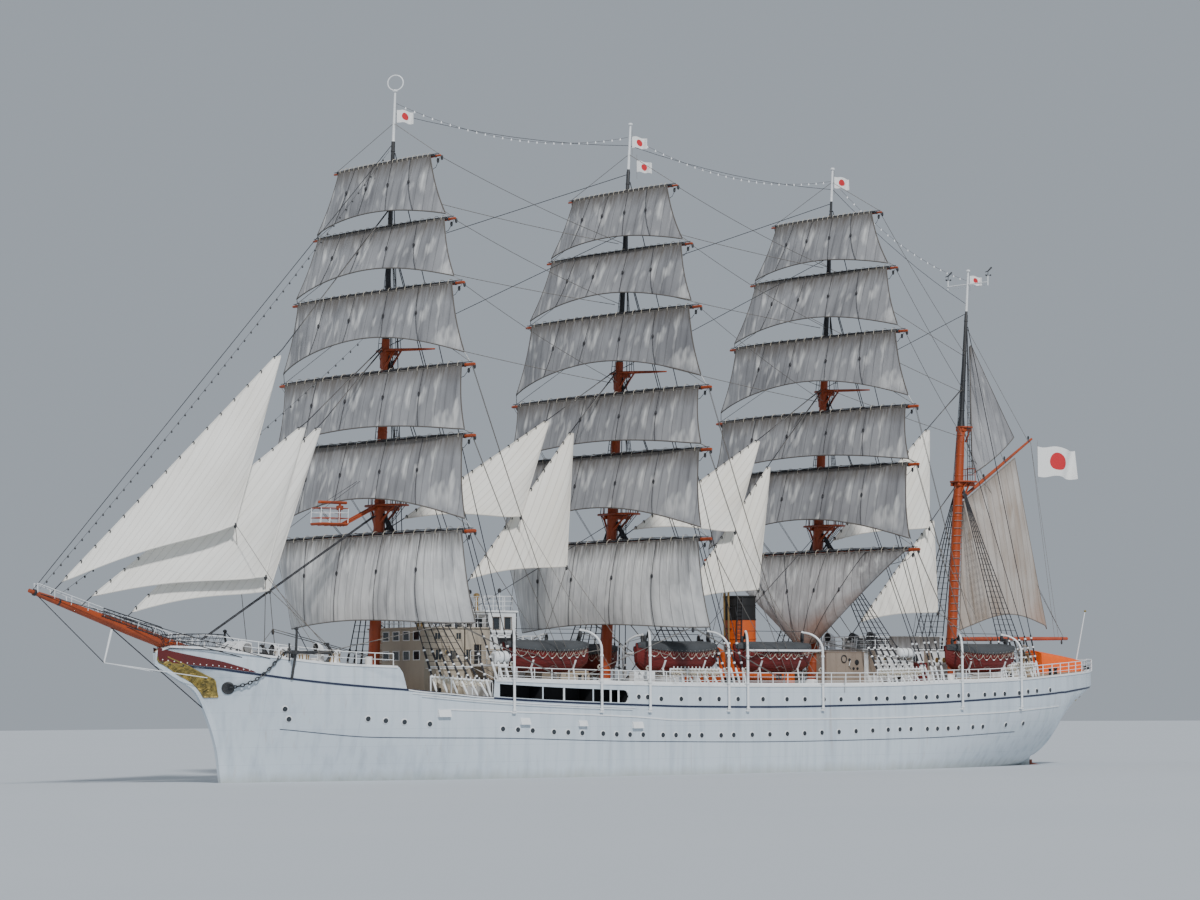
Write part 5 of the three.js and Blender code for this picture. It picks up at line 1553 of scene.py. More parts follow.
def centre_stays():
    """Stays on the centre plane that carry no sail, and those that hold the bowsprit down and steady."""
    shape = Shape()
    fore, main, mizzen, jigger = (MASTS[name] for name in ("fore", "main", "mizzen", "jigger"))

    def ahead(mast, z):
        return mast.at(z, mast.radius(z) + 0.03)

    def behind(mast, z):
        return mast.at(z, -mast.radius(z) - 0.03)

    # forestay, doubled
    for y in (-0.12, 0.12):
        wire(shape, (40.6, y, 9.2), ahead(fore, 17.45) + (0, y, 0), 0.04)
    shape.piece("forestay_wires", slot="wire", replaces=["forestay"])
    shape = Shape()
    lines = (
        (ahead(fore, 42.4), (53.3, 0, 12.12)),
        (ahead(main, 38.1), behind(fore, 28.9)),
        (ahead(main, 42.3), behind(fore, 35.3)),
        (ahead(mizzen, 37.8), behind(main, 28.5)),
        (ahead(mizzen, 41.9), behind(main, 35.2)),
        (ahead(jigger, 34.6), behind(mizzen, 28.2)),
        (ahead(main, 17.4), (18.6, 0, 11.3)),
        (ahead(mizzen, 17.0), (-1.9, 0, 7.3)),
    )
    for a, b in lines:
        wire(shape, a, b, 0.026)
    for a, b in ((fore, main), (main, mizzen), (mizzen, jigger)):
        wire(shape, behind(a, a.truck - 1.6), ahead(b, b.truck - (1.6 if b is not jigger else 2.6)), 0.018,
             sag=0.5)
    # bowsprit: bobstay, its martingale and the side guys
    tip = BOWSPRIT_HEEL + (BOWSPRIT_TIP - BOWSPRIT_HEEL) * 0.55
    shape.add(*tube([(47.5, 0, 9.75), MARTINGALE], (0.08, 0.05), 8), WHITE)
    wire(shape, (40.5, 0, 4.7), tip - (0, 0, 0.35), 0.04)
    wire(shape, MARTINGALE, BOWSPRIT_TIP - (0.6, 0, 0.3), 0.03)
    for side in (PORT, STARBOARD):
        wire(shape, MARTINGALE, (40.87, side * 0.9, 6.71), 0.03, WHITE)
        wire(shape, (46.8, side * 0.3, 9.95), on_hull(39.0, 8.0, side), 0.03)
        wire(shape, BOWSPRIT_TIP - (0.7, -side * 0.15, 0.2), on_hull(37.2, 7.9, side), 0.026)
    shape.piece("centre_stays", slot="wire")


def lamp_strings():
    """Strings of small lamps from the bowsprit to the foremast and from truck to truck."""
    shape = Shape()
    fore, main, mizzen, jigger = (MASTS[name] for name in ("fore", "main", "mizzen", "jigger"))
    runs = (
        ((52.9, 0.16, 12.2), fore.at(42.0, 0.4, 0.1), 0.5, BLACK),
        ((51.2, -0.2, 11.9), fore.at(30.4, 0.5, -0.1), 0.6, BLACK),
        (fore.at(45.3, -0.15), main.at(45.0, 0.15), 1.3, WHITE),
        (main.at(45.0, -0.15), mizzen.at(43.6, 0.15), 1.3, WHITE),
        (mizzen.at(43.6, -0.15), jigger.at(37.2, 0.15), 1.0, WHITE),
    )
    for a, b, sag, material in runs:
        a, b = np.array(a, float), np.array(b, float)
        line = [hanging(a, b, sag, s) for s in np.linspace(0, 1, 25)]
        shape.add(*tube(line, 0.012, 3), WIRE)
        count = int(np.linalg.norm(b - a) / LAMP_STEP)
        for k in range(1, count):
            bulb = [(-0.16, 0.01), (-0.12, 0.055), (-0.05, 0.06), (0.0, 0.03), (0.03, 0.025)]
            shape.add(*lathe(bulb, hanging(a, b, sag, k / count), (0, 0, 1), 6), material)
    shape.piece("lamp_strings", slot="wire")


# mast: where the braces of its six yards end, (x, y, z) to port, lowest yard first
BRACE_ENDS = {
    "fore": ((15.9, 5.9, 7.3), (15.2, 5.9, 7.3), (14.6, 5.9, 7.4),
             (5.55, 0.32, 27.45), (5.2, 0.25, 33.0), (4.85, 0.22, 37.35)),
    "main": ((-4.4, 6.1, 7.0), (-5.1, 6.1, 7.0), (-5.8, 6.1, 7.1),
             (-14.65, 0.32, 27.1), (-15.0, 0.25, 32.6), (-15.35, 0.22, 37.1)),
    "mizzen": ((-24.2, 5.7, 7.4), (-24.9, 5.6, 7.4), (-25.6, 5.6, 7.5),
               (-29.5, 0.2, 25.2), (-29.9, 0.16, 28.6), (-30.15, 0.14, 31.4)),
}


# how deep a brace hangs, as a share of its length
BRACE_SAG = 0.012
# how far above the yard its lifts meet the mast, where that doesn't follow from the yard's length
LIFT_RISE = {"course": 5.2, "lower_topsail": 4.0}


def running_rigging(mast):
    braces, lifts = Shape(), Shape()
    start_x = mast.x_at(30.0)
    for yard, end in zip(YARDS, BRACE_ENDS[mast.name]):
        z = yard.heights[mast.name]
        for side in (PORT, STARBOARD):
            arm = mast.at(z, yard.ahead, side * yard.half * 0.97)
            goal = np.array((end[0], side * end[1], end[2]))
            shares = np.linspace(0, 1, 13)
            sag = BRACE_SAG * np.linalg.norm(goal - arm)
            line = [hanging(arm, goal, sag, s) for s in shares]
            braces.add(*tube(line, 0.022, 4), LINE)
            if yard.name in ("course", "lower_topsail", "upper_topsail"):
                second = [p + (0, side * 0.12 * (1 - s), -0.1 * (1 - s)) for p, s in zip(line, shares)]
                braces.add(*tube(second, 0.02, 4), LINE)
            pulley(braces, arm - (0.25, 0, 0.12), 0.22)
            # lift from the yardarm up to the mast
            rise = LIFT_RISE.get(yard.name, 0.42 * yard.half + 0.4)
            hook = mast.at(z + rise, mast.radius(z + rise) * 0.3, side * (mast.radius(z + rise) + 0.02))
            wire(lifts, arm + (0, 0, 0.1), hook, 0.02, LINE, 4)
    lifts.piece(f"{mast.name}_lifts", f"{mast.name}_yards", "wire")
    # sheets of the course lead aft, tacks lead forward
    course = YARDS[0]
    half, z = COURSE_CLEW, COURSE_FOOT[mast.name]
    clew_x = cloth_x(mast, course, course.heights[mast.name] + 0.05) + 0.25
    if mast.name == "mizzen":
        half, clew_x = CLEWED_FOOT_HALF, cloth_x(mast, course, course.heights[mast.name] + 0.05)
    end_x = min(end[0] for end in BRACE_ENDS[mast.name])
    tacks = Shape()
    for side in (PORT, STARBOARD):
        clew = np.array((clew_x, side * half, z))
        pulley(braces, clew - (0, 0, 0.2), 0.26)
        for shift in (0.0, 0.14):
            goal = rail_point(clew_x - 11.5 - shift * 4, side, 0.2, 0.5)
            line = [clew + (goal - clew) * s + (0, shift * side * (1 - s), -shift)
                    for s in np.linspace(0, 1, 13)]
            braces.add(*tube(line, 0.026, 4), LINE)
        goal = rail_point(min(clew_x + 6.5, 37.0), side, 0.2, 0.4)
        line = [clew + (goal - clew) * s for s in np.linspace(0, 1, 11)]
        tacks.add(*tube(line, 0.026, 4), LINE)
    for shape, name, finish_x in ((braces, "braces", end_x), (tacks, "tacks", clew_x + 6.5)):
        made = shape.piece(f"{mast.name}_{name}", None, "wire")
        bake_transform(made)


# sail, where its sheet comes down
SHEET_ENDS = {
    "flying_jib": (34.2, 4.0, 8.1), "outer_jib": (33.0, 3.9, 8.0), "fore_topmast_staysail": (32.2, 3.6, 7.9),
    "main_topmast_staysail": (11.0, 6.0, 6.9), "main_staysail": (8.6, 6.1, 6.8),
    "mizzen_topmast_staysail": (-8.0, 6.1, 6.7), "mizzen_staysail": (-9.4, 6.1, 6.7),
    "jigger_topmast_staysail": (-28.6, 5.2, 7.0), "jigger_staysail": (-29.2, 5.1, 7.1),
}
# share of the gaff and height on the mast of each peak halyard
PEAK_HALYARDS = ((0.95, 33.5), (0.6, 31.0), (0.3, 28.2))
LUFF_HOOPS = 17


def staysail_sheets():
    shape = Shape()
    for sail in STAYSAILS:
        x, y, z = SHEET_ENDS[sail.name]
        pulley(shape, sail.clew - (0, 0, 0.1), 0.24)
        for side in (PORT, STARBOARD):
            wire(shape, sail.clew, (x, side * y, z), 0.022, LINE, 4, sag=0.0 if side == PORT else 0.35)
        wire(shape, sail.head, sail.upper + (0, 0.12, 0), 0.018, LINE, 4)
        wire(shape, sail.tack, sail.foot, 0.03, LINE, 4)
    shape.piece("staysail_sheets", slot="wire")
    gear = Shape()
    peak, throat = np.array((GAFF[1][0], 0, GAFF[1][1])), np.array((GAFF[0][0], 0, GAFF[0][1]))
    jigger = MASTS["jigger"]
    for share, height in PEAK_HALYARDS:
        wire(gear, throat + (peak - throat) * share, jigger.at(height, -jigger.radius(height)), 0.022, LINE,
             4)
    boom_end = np.array((BOOM[1][0], 0, BOOM[1][1]))
    for side in (PORT, STARBOARD):
        wire(gear, boom_end + (0.4, 0, 0.1), jigger.at(24.9, -0.2, side * 0.22), 0.02, LINE, 4)
        vang = peak + (peak - throat) * -0.02
        wire(gear, vang, (BOOM[1][0] + 1.2, side * 0.2, BOOM[1][1] + 0.1), 0.018, LINE, 4)
    for share in np.linspace(0.06, 0.94, 13):
        at = throat + (SPANKER_PEAK - throat) * share
        spar = throat + (peak - throat) * (share * 0.74)
        wire(gear, at, spar, 0.016, HEMP, 3)
    for k in range(LUFF_HOOPS):
        s = (k + 0.5) / LUFF_HOOPS
        luff = SPANKER_THROAT * (1 - s) + SPANKER_TACK * s
        centre = jigger.at(luff[2])
        radius = jigger.radius(luff[2]) + 0.06
        ring = [centre + (radius * math.cos(a), radius * math.sin(a), 0)
                for a in np.linspace(0.35, math.tau - 0.35, 15)]
        gear.add(*tube(ring, 0.025, 4), STEEL)
        wire(gear, centre - (radius, 0, 0), luff, 0.018, HEMP, 3)
    gear.piece("spanker_gear_lines", "spanker_gear", "wire")


FLAG_HALF_THICK = 0.012
STREAMING = (-0.75, 0.6, 0)


def fly_flag(name, body, hoist, width, height, seed, towards=STREAMING, droop=0.25):
    """Flag streaming from its hoist: hoist is the top of its inner edge, seed the start of its waves."""
    columns, rows = 25, 15
    hoist, towards = np.array(hoist, float), np.array(towards, float) / np.linalg.norm(towards)
    side = np.cross((0, 0, 1.0), towards)
    u, v = np.meshgrid(np.linspace(0, 1, columns), np.linspace(0, 1, rows))
    wave = 0.09 * width * u * np.sin(u * 7.5 + seed + v * 1.3)
    wave += 0.04 * width * u * np.sin(u * 15 + 2 * v + seed)
    drop = v * height * (1 - 0.06 * u) + droop * height * u ** 1.4 + 0.04 * height * np.sin(u * 9 + seed)
    along = u * width * (1 - 0.04 * droop) * 0.97
    down = np.array((0, 0, -1.0))
    grid = hoist + along[..., None] * towards + wave[..., None] * side + drop[..., None] * down
    normal = normals(grid)
    points, faces, _ = two_sided(grid + normal * FLAG_HALF_THICK, grid - normal * FLAG_HALF_THICK)
    shape = Shape()
    shape.add(points, faces, FLAG)
    uvs = np.stack([u, v], axis=2).reshape(-1, 2)
    made = shape.piece(name, body, "sail_canvas", sharp=60, uvs=np.concatenate([uvs, uvs]))
    line = Shape()
    wire(line, hoist + (0, 0, 0.45), hoist - (0, 0, height + 0.5), 0.012, LINE, 4)
    line.piece(f"{name}_halyard", body, "wire")


def build_flags():
    fore, main, mizzen, jigger = (MASTS[name] for name in ("fore", "main", "mizzen", "jigger"))
    fly_flag("ensign", "spanker_gear", (-38.15, 0.1, 24.75), 3.55, 2.35, 0.4, (-0.93, 0.36, 0), 0.14)
    fly_flag("fore_masthead_flag", "ship", fore.at(44.9, -0.2), 1.15, 0.85, 1.0)
    fly_flag("main_upper_flag", "ship", main.at(45.1, -0.2), 1.1, 0.8, 2.2)
    fly_flag("main_lower_flag", "ship", main.at(43.4, -0.75), 1.1, 0.8, 3.1)
    fly_flag("mizzen_masthead_flag", "ship", mizzen.at(44.0, -0.2), 1.15, 0.85, 0.2)
    fly_flag("jigger_masthead_flag", "ship", jigger.at(37.6, -0.2), 0.95, 0.7, 1.7)


for mast in MASTS.values():
    standing_rigging(mast)
centre_stays()
lamp_strings()
for name in SQUARE_MASTS:
    running_rigging(MASTS[name])
staysail_sheets()
build_flags()


# Boats, their davits and the rails of the decks

BOAT_HALF, BOAT_BEAM, BOAT_KEEL, BOAT_RAIL = 3.7, 1.12, 7.1, 8.62
BOAT_SHEER, BOAT_CROWN, BOAT_INBOARD = 0.32, 0.5, 1.2
DAVIT_SPREAD, DAVIT_FOOT, DAVIT_KNEE, DAVIT_HEAD = 3.65, 4.4, 8.55, 9.85
DAVIT_OUTREACH, DAVIT_TURN, DAVIT_RADIUS = 1.15, 0.9, 0.09
KERB_OUTER, KERB_WIDTH, KERB_TALL = 0.12, 0.2, 0.16
KERB_FORE, KERB_AFT = 20.9, -31.2

# angles of the planking's seams round the side, and of the rail along the bilge
BOAT_SEAMS, BOAT_BILGE = (0.6, 0.82, 1.02, 1.2, 1.38), 0.38
# share of the cover's half girth that is over the boat, how far it hangs outside, and its clearance
COVER_OVER, COVER_HANGS, COVER_CLEAR = 0.86, 0.24, 0.085
GRAB_LOOPS, GRAB_FIRST, GRAB_WIDTH, GRAB_ANGLE, GRAB_DEEP = 8, -0.84, 0.21, 1.36, 0.24
FALLS_AT, CHOCKS_AT = 0.79, (-0.5, 0.5)

# x of each boat's middle, and whether a griping spar lies along its outer side
BOATS = ((16.2, False), (4.6, False), (-4.5, True), (-26.5, False))


def skin(rings):
    """Closed skin over rings of points, turned so that its faces point out."""
    rings = np.asarray(rings, float)
    count, sides = rings.shape[:2]
    points = rings.reshape(-1, 3)
    last = (count - 1) * sides
    faces = grid_faces(count, sides, wrap=True) + [tuple(range(sides))[::-1],
                                                   tuple(range(last, last + sides))]
    middle = points.mean(axis=0)
    volume = 0.0
    for face in faces:
        corners = points[list(face)] - middle
        for k in range(1, len(face) - 1):
            volume += corners[0] @ np.cross(corners[k], corners[k + 1])
    return points, faces if volume > 0 else [face[::-1] for face in faces]


class Boat:
    """Double-ended lifeboat; u runs from -1 at its after end to 1 at its fore end."""

    def __init__(self, x, side):
        self.x, self.side = x, side
        self.y = side * (float(half_at(x)) - BOAT_INBOARD)

    def wide(self, u):
        return max(0.06, (1 - min(1.0, abs(u)) ** 2.6) ** 0.75)

    def keel(self, u):
        return BOAT_KEEL + 0.81 * abs(u) ** 6

    def rail(self, u):
        return BOAT_RAIL + BOAT_SHEER * u * u

    def at(self, u, angle, out=0.0, side=1):
        """Point of the planking: angle 0 at the keel, a quarter turn at the gunwale."""
        keel, rail = self.keel(u), self.rail(u)
        half = BOAT_BEAM * self.wide(u) * math.sin(angle) ** 0.75 + out
        return np.array((self.x + u * BOAT_HALF, self.y + side * half,
                         keel + (rail - keel) * (1 - math.cos(angle))))


def boat_hull(shape, boat):
    angles = np.linspace(0.05, math.pi / 2, 10)
    rings = []
    for u in np.linspace(-1, 1, 29):
        port = [boat.at(u, a) for a in angles]
        starboard = [boat.at(u, a, side=-1) for a in angles[::-1]]
        rings.append(port + starboard)
    shape.add(*skin(rings), BOAT_RED)
    us = np.linspace(-0.97, 0.97, 25)
    for side in (1, -1):
        for angle in BOAT_SEAMS:
            shape.add(*tube([boat.at(u, angle, 0.004, side) for u in us], 0.016, 4), BOAT_RED)
        shape.add(*tube([boat.at(u, math.pi / 2, 0.02, side) for u in us], 0.055, 8), BOAT_RED)
        shape.add(*tube([boat.at(u, BOAT_BILGE, 0.03, side) for u in us[5:-5]], 0.035, 6), BOAT_RED)
    keel = [np.array((boat.x + u * BOAT_HALF, boat.y, boat.keel(u) - 0.03)) for u in us]
    for u, post in ((-1, keel[0]), (1, keel[-1])):
        shape.add(*tube([post, (boat.x + u * (BOAT_HALF + 0.02), boat.y, boat.rail(u) + 0.1)], 0.05, 6),
                  BOAT_RED)
    shape.add(*tube(keel, 0.05, 6), BOAT_RED)


def boat_lines(shape, boat):
    """Grab lines looped along both sides, with a wooden float in each loop."""
    for side in (1, -1):
        for u0 in np.linspace(GRAB_FIRST, -GRAB_FIRST - GRAB_WIDTH, GRAB_LOOPS):
            loop = []
            for t in np.linspace(0, 1, 8):
                angle = GRAB_ANGLE - GRAB_DEEP * 4 * t * (1 - t)
                loop.append(boat.at(u0 + GRAB_WIDTH * t, angle, 0.035, side))
            shape.add(*tube(loop, 0.018, 4), HEMP)
            low = boat.at(u0 + GRAB_WIDTH / 2, GRAB_ANGLE - GRAB_DEEP, 0.05, side)
            wooden = [(-0.09, 0.02), (-0.05, 0.045), (0.05, 0.045), (0.09, 0.02)]
            shape.add(*lathe(wooden, low, (1, 0, 0), 6), WHITE)


def boat_cover(name, boat):
    """Canvas cover hauled over a ridge and frames, and laced down outside the gunwale."""
    us, qs = np.linspace(-0.99, 0.99, 43), np.linspace(-1, 1, 25)
    grid = np.empty((len(us), len(qs), 3))
    for i, u in enumerate(us):
        edge = BOAT_BEAM * boat.wide(u) + COVER_CLEAR
        crown = BOAT_CROWN * boat.wide(u)
        frames = 0.5 - 0.5 * math.cos(math.tau * 2.5 * (u + 1))
        for j, q in enumerate(qs):
            p = min(1.0, abs(q) / COVER_OVER)
            over = max(0.0, (abs(q) - COVER_OVER) / (1 - COVER_OVER))
            lift = crown * math.cos(p * math.pi / 2) ** 0.55
            sag = 0.07 * frames * math.sin(math.pi * min(1.0, p * 1.1)) * boat.wide(u)
            pucker = 0.012 * math.sin(u * 61 + abs(q) * 9) * p
            y = boat.y + math.copysign(edge * p, q) + pucker * np.sign(q)
            z = boat.rail(u) + 0.05 + lift - sag - COVER_HANGS * over + pucker
            grid[i, j] = (boat.x + u * BOAT_HALF, y, z)
    cloth_piece(f"{name}_cover", grid, grid, COVER_GREY, "ship", "sail_canvas", name,
                0.02)


def lacing(shape, boat):
    for side in (1, -1):
        path = []
        for k, u in enumerate(np.linspace(-0.88, 0.88, 33)):
            path.append(boat.at(u, 1.5 if k % 2 else 1.26, 0.1 if k % 2 else 0.03, side))
        shape.add(*tube(path, 0.012, 4), HEMP)


def chocks(shape, boat):
    deck = deck_z(boat.x)
    for u in CHOCKS_AT:
        x = boat.x + u * BOAT_HALF
        seat = [boat.at(u, abs(a), 0.04, -1 if a < 0 else 1) for a in (-1.0, -0.6, -0.2, 0.2, 0.6, 1.0)]
        shape.add(*tube(seat, 0.07, 6), WHITE)
        for y in (-0.75, 0.75):
            leg = [(x, boat.y + y * 1.1, deck), (x, boat.y + y * 0.8, boat.keel(u) + 0.3)]
            shape.add(*tube(leg, 0.06, 6), WHITE)
        shape.add(*block((x - 0.07, boat.y - 0.85, deck), (x + 0.07, boat.y + 0.85, deck + 0.12)), WHITE)


def davit_path(x, side, towards):
    """Centre line of a radial davit, which turns inboard and towards its fellow."""
    y = side * (float(half_at(x)) + 0.06 + DAVIT_RADIUS)
    path = [(x, y, z) for z in (DAVIT_FOOT, 5.5, 7.0, DAVIT_KNEE)]
    for angle in np.radians(np.linspace(10, 90, 9)):
        reach = 1 - math.cos(angle)
        rise = (DAVIT_HEAD - DAVIT_KNEE) * math.sin(angle)
        path.append((x + towards * DAVIT_TURN * reach, y - side * DAVIT_OUTREACH * reach, DAVIT_KNEE + rise))
    return np.array(path)


def davit(shape, falls, boat, end):
    x, side = boat.x + end * DAVIT_SPREAD, boat.side
    path = davit_path(x, side, -end)
    radii = np.interp(np.arange(len(path)), (0, 3, len(path) - 1), (DAVIT_RADIUS, DAVIT_RADIUS, 0.07))
    shape.add(*tube(path, radii, 12), WHITE)
    top = deck_z(x)
    hull_y, tube_y = side * (float(half_at(x)) - 0.3), path[0][1]
    shape.add(*block((x - 0.1, hull_y, top + 0.03), (x + 0.1, tube_y, top + 0.16), 0.02), WHITE)
    collar = [(-0.07, 0.1), (-0.05, 0.13), (0.05, 0.13), (0.07, 0.1)]
    for z in (DAVIT_FOOT + 0.1, top + 0.1, DAVIT_KNEE - 0.4):
        shape.add(*lathe(collar, (x, tube_y, z), sides=12), WHITE)
    foot = on_hull(x, DAVIT_FOOT + 0.05, side)
    shape.add(*block((x - 0.14, foot[1] - side * 0.05, DAVIT_FOOT - 0.12),
                     (x + 0.14, tube_y + side * 0.06, DAVIT_FOOT + 0.02)), WHITE)
    cleat = np.array((x, tube_y - side * 0.12, top + 1.2))
    shape.add(*tube([cleat - (0.16, 0, 0.0), cleat, cleat + (0.16, 0, 0.0)], (0.02, 0.035, 0.02), 6), WHITE)
    head = path[-1]
    shape.add(*lathe([(-0.1, 0.04), (-0.08, 0.09), (0.08, 0.09), (0.12, 0.03)], head, sides=10), WHITE)
    hook = np.array((boat.x + end * FALLS_AT * BOAT_HALF, boat.y, boat.rail(FALLS_AT) + 0.42))
    upper, lower = head - (0, 0, 0.24), hook + (0, 0, 0.1)
    for at in (upper, lower):
        pulley(falls, at, 0.34, BLACK)
    for k in range(4):
        shift = np.array(((k - 1.5) * 0.07, 0.03 * (-1) ** k, 0))
        falls.add(*tube([upper + shift, lower + shift], 0.03, 5), WIRE)
    falls.add(*tube([hook, hook - (0, 0, 0.4)], 0.03, 6), STEEL)
    falls.add(*tube([head - (0, 0, 0.2), path[7] - (0, side * 0.16, 0), cleat], 0.022, 4), LINE)
    coil = [cleat + (0.02, -side * 0.07, -0.1 - 0.12 * math.cos(a)) + np.array((0.13 * math.sin(a), 0, 0))
            for a in np.linspace(0, math.tau, 13)]
    for k in range(3):
        falls.add(*tube([p + (0, -side * 0.035 * k, -0.02 * k) for p in coil], 0.03, 5), HEMP)
    return head


def kerb(shape, side):
    rings = []
    for x in np.linspace(KERB_FORE, KERB_AFT, 60):
        outer, foot = float(half_at(x)) - KERB_OUTER, deck_z(x) + 0.004
        inner, top = outer - KERB_WIDTH, foot + KERB_TALL
        corners = ((outer, foot), (inner, foot), (inner, top - 0.03), (inner + 0.03, top),
                   (outer - 0.03, top), (outer, top - 0.03))
        rings.append([(x, side * y, z) for y, z in corners])
    shape.add(*skin(rings), WHITE)


def build_boats():
    for word, side in SIDES:
        arms, falls = Shape(), Shape()
        kerb(arms, side)
        for index, (x, has_spar) in enumerate(BOATS):
            boat = Boat(x, side)
            name = f"lifeboat_{word}_{index + 1}"
            shape = Shape()
            boat_hull(shape, boat)
            shape.piece(f"{name}_boat", slot="boat_paint", replaces=[name])
            gear = Shape()
            boat_lines(gear, boat)
            lacing(gear, boat)
            chocks(gear, boat)
            gear.piece(f"{name}_gear", slot="boat_paint")
            boat_cover(name, boat)
            heads = [davit(arms, falls, boat, end) for end in (-1, 1)]
            arms.add(*tube([heads[0] + (0, 0, 0.08), heads[1] + (0, 0, 0.08)], 0.02, 5), WIRE)
            if has_spar:
                y = boat.y + side * (BOAT_BEAM + 0.14)
                arms.add(*tube([(x - 3.62, y, 8.55), (x + 3.62, y, 8.55)], 0.075, 10), WHITE)
            for end in (-1, 1):
                post = davit_path(x + end * DAVIT_SPREAD, side, -end)
                low = boat.at(-0.1 * end, 0.55, 0.05, side)
                middle = boat.at(0.45 * end, 1.25, 0.07, side)
                falls.add(*tube([post[3], middle, low], 0.025, 5), LINE)
        arms.piece(f"davit_arms_{word}", slot="white_paint", replaces=[f"davits_{word}"])
        falls.piece(f"davit_falls_{word}", slot="wire")


def deck_edge(aft, fore, inside, step=0.9):
    """Points along the deck's edge on the port side, from the fore end aft."""
    xs = np.linspace(fore, aft, max(2, int((fore - aft) / step)))
    return np.column_stack([xs, hull_half(xs, top_z(xs)) - inside, top_z(xs)])


def build_rails():
    shape = Shape()
    port = deck_edge(-41.6, 20.9, 0.1)
    for side in (PORT, STARBOARD):
        railing(shape, port * (1, side, 1), 0.86, 3, 1.45, 0.028)
    stern = []
    for angle in np.radians(np.linspace(90, -90, 13)):
        y = deck_half(-41.6) - 0.1
        stern.append((-41.6 - 1.75 * math.cos(angle), y * math.sin(angle), deck_z(-43.0)))
    railing(shape, stern, 0.86, 3, 0.9, 0.028)
    bow = deck_edge(28.8, 42.9, 0.12)
    for side in (PORT, STARBOARD):
        railing(shape, bow * (1, side, 1), 0.8, 2, 1.4, 0.025)
    shape.piece("deck_rails", slot="white_paint")


build_boats()
build_rails()


# Deckhouses, funnel and what stands on them

BRIDGE_FORE, BRIDGE_AFT, BRIDGE_HALF, BRIDGE_TOP = 25.0, 19.4, 3.0, 10.05
CHART_AFT, CHART_HALF, CHART_TOP = 14.6, 2.7, 8.6
WING_FORE, WING_AFT, WING_HALF, WING_LOW, WING_HIGH = 21.2, 20.05, 5.75, 7.42, 7.56
WHEEL_FORE, WHEEL_AFT, WHEEL_HALF, WHEEL_TOP, WHEEL_WALL = 19.3, 16.7, 2.6, 11.2, 0.12
WHEEL_SILL, WHEEL_LINTEL = 9.95, 10.75
FUNNEL_X, FUNNEL_RADIUS, FUNNEL_TOP, FUNNEL_BLACK = -6.3, 1.15, 12.6, 10.89
CASING_FORE, CASING_AFT, CASING_HALF, CASING_TOP = -2.6, -9.9, 1.9, 7.15
AFTER_FORE, AFTER_AFT, AFTER_HALF, AFTER_TOP = -16.3, -25.2, 2.5, 8.8
AFTER_SCUTTLES, SCUTTLE_Z = (-24.06, -24.82, -18.6), 8.0
FRONT_YS, FRONT_SILLS, FRONT_HALF, FRONT_TALL = (-2.2, -1.1, 0.0, 1.1, 2.2), (5.3, 7.9, 9.2), 0.3, 0.54
FRAME_WIDE, PANE_PROUD = 0.06, 0.012
RAFT_LENGTH, RAFT_RADIUS = 1.32, 0.4
HOUSE_RAIL, RAIL_BARS, RAIL_RADIUS = 0.9, 3, 0.022
# x of each funnel casing ventilator, its height and radius
CASING_COWLS = ((-3.5, 1.5, 0.24), (-8.9, 1.35, 0.22))
FUNNEL_HOOPS, STEP_ZS = (8.3, 9.5, FUNNEL_BLACK, 11.9), (8.6, 10.2, 11.7)
# y and top of each steam pipe
STEAM_PIPES = ((0.25, 12.95), (-0.2, 12.8))
FUNNEL_STAY_Z, FUNNEL_STAY_Y = 11.8, 4.6
COVER_TOPS = np.array([[-37.2, 8.83], [-40.5, 8.4], [-41.8, 8.2]])

WEATHER_AFT, WEATHER_FORE, WEATHER_HALF, WEATHER_HEAD, WEATHER_TALL = -24.4, -19.1, 2.48, 9.72, 0.86
COVER_FORE, COVER_AFT, COVER_EAVE, COVER_HALF, COVER_SPREAD = -37.2, -41.8, 0.25, 0.978, 0.172
COVER_ROOF = 0.62  # share of the half section, from ridge to eave

# Openings on both sides of each house: kind, aft x, fore x, sill, head
BRIDGE_OPENINGS = (
    ("window", 23.67, 24.1, 9.25, 9.65), ("window", 23.57, 24.05, 7.88, 8.54),
    ("door", 22.88, 23.35, 7.5, 8.75),
    ("window", 22.33, 22.83, 7.92, 8.48), ("window", 21.9, 22.3, 9.25, 9.65),
    ("window", 21.01, 21.47, 7.89, 8.56),
    ("doorway", 20.15, 20.79, 7.6, 8.9), ("door", 22.0, 22.75, 4.5, 6.4), ("window", 23.6, 24.1, 5.4, 6.0),
)
CHART_OPENINGS = (
    ("window", 18.6, 19.0, 7.6, 8.2), ("window", 17.4, 17.9, 7.6, 8.2), ("window", 15.2, 15.7, 7.6, 8.2),
    ("door", 16.2, 16.9, deck_z(16.5) + 0.15, 8.3),
)
AFTER_OPENINGS = (
    ("door", -17.6, -16.9, 6.95, 8.6), ("window", -20.3, -19.8, 7.7, 8.3), ("window", -22.0, -21.5, 7.7, 8.3),
    ("door", -23.4, -22.75, 6.95, 8.6),
)


def frame_bars(left, right, low, high, wide, tall):
    """Head, sill and both jambs of a frame: left, right, bottom and top of each."""
    return ((left, right, high, high + tall), (left, right, low - tall, low),
            (left - wide, left, low - tall, high + tall), (right, right + wide, low - tall, high + tall))


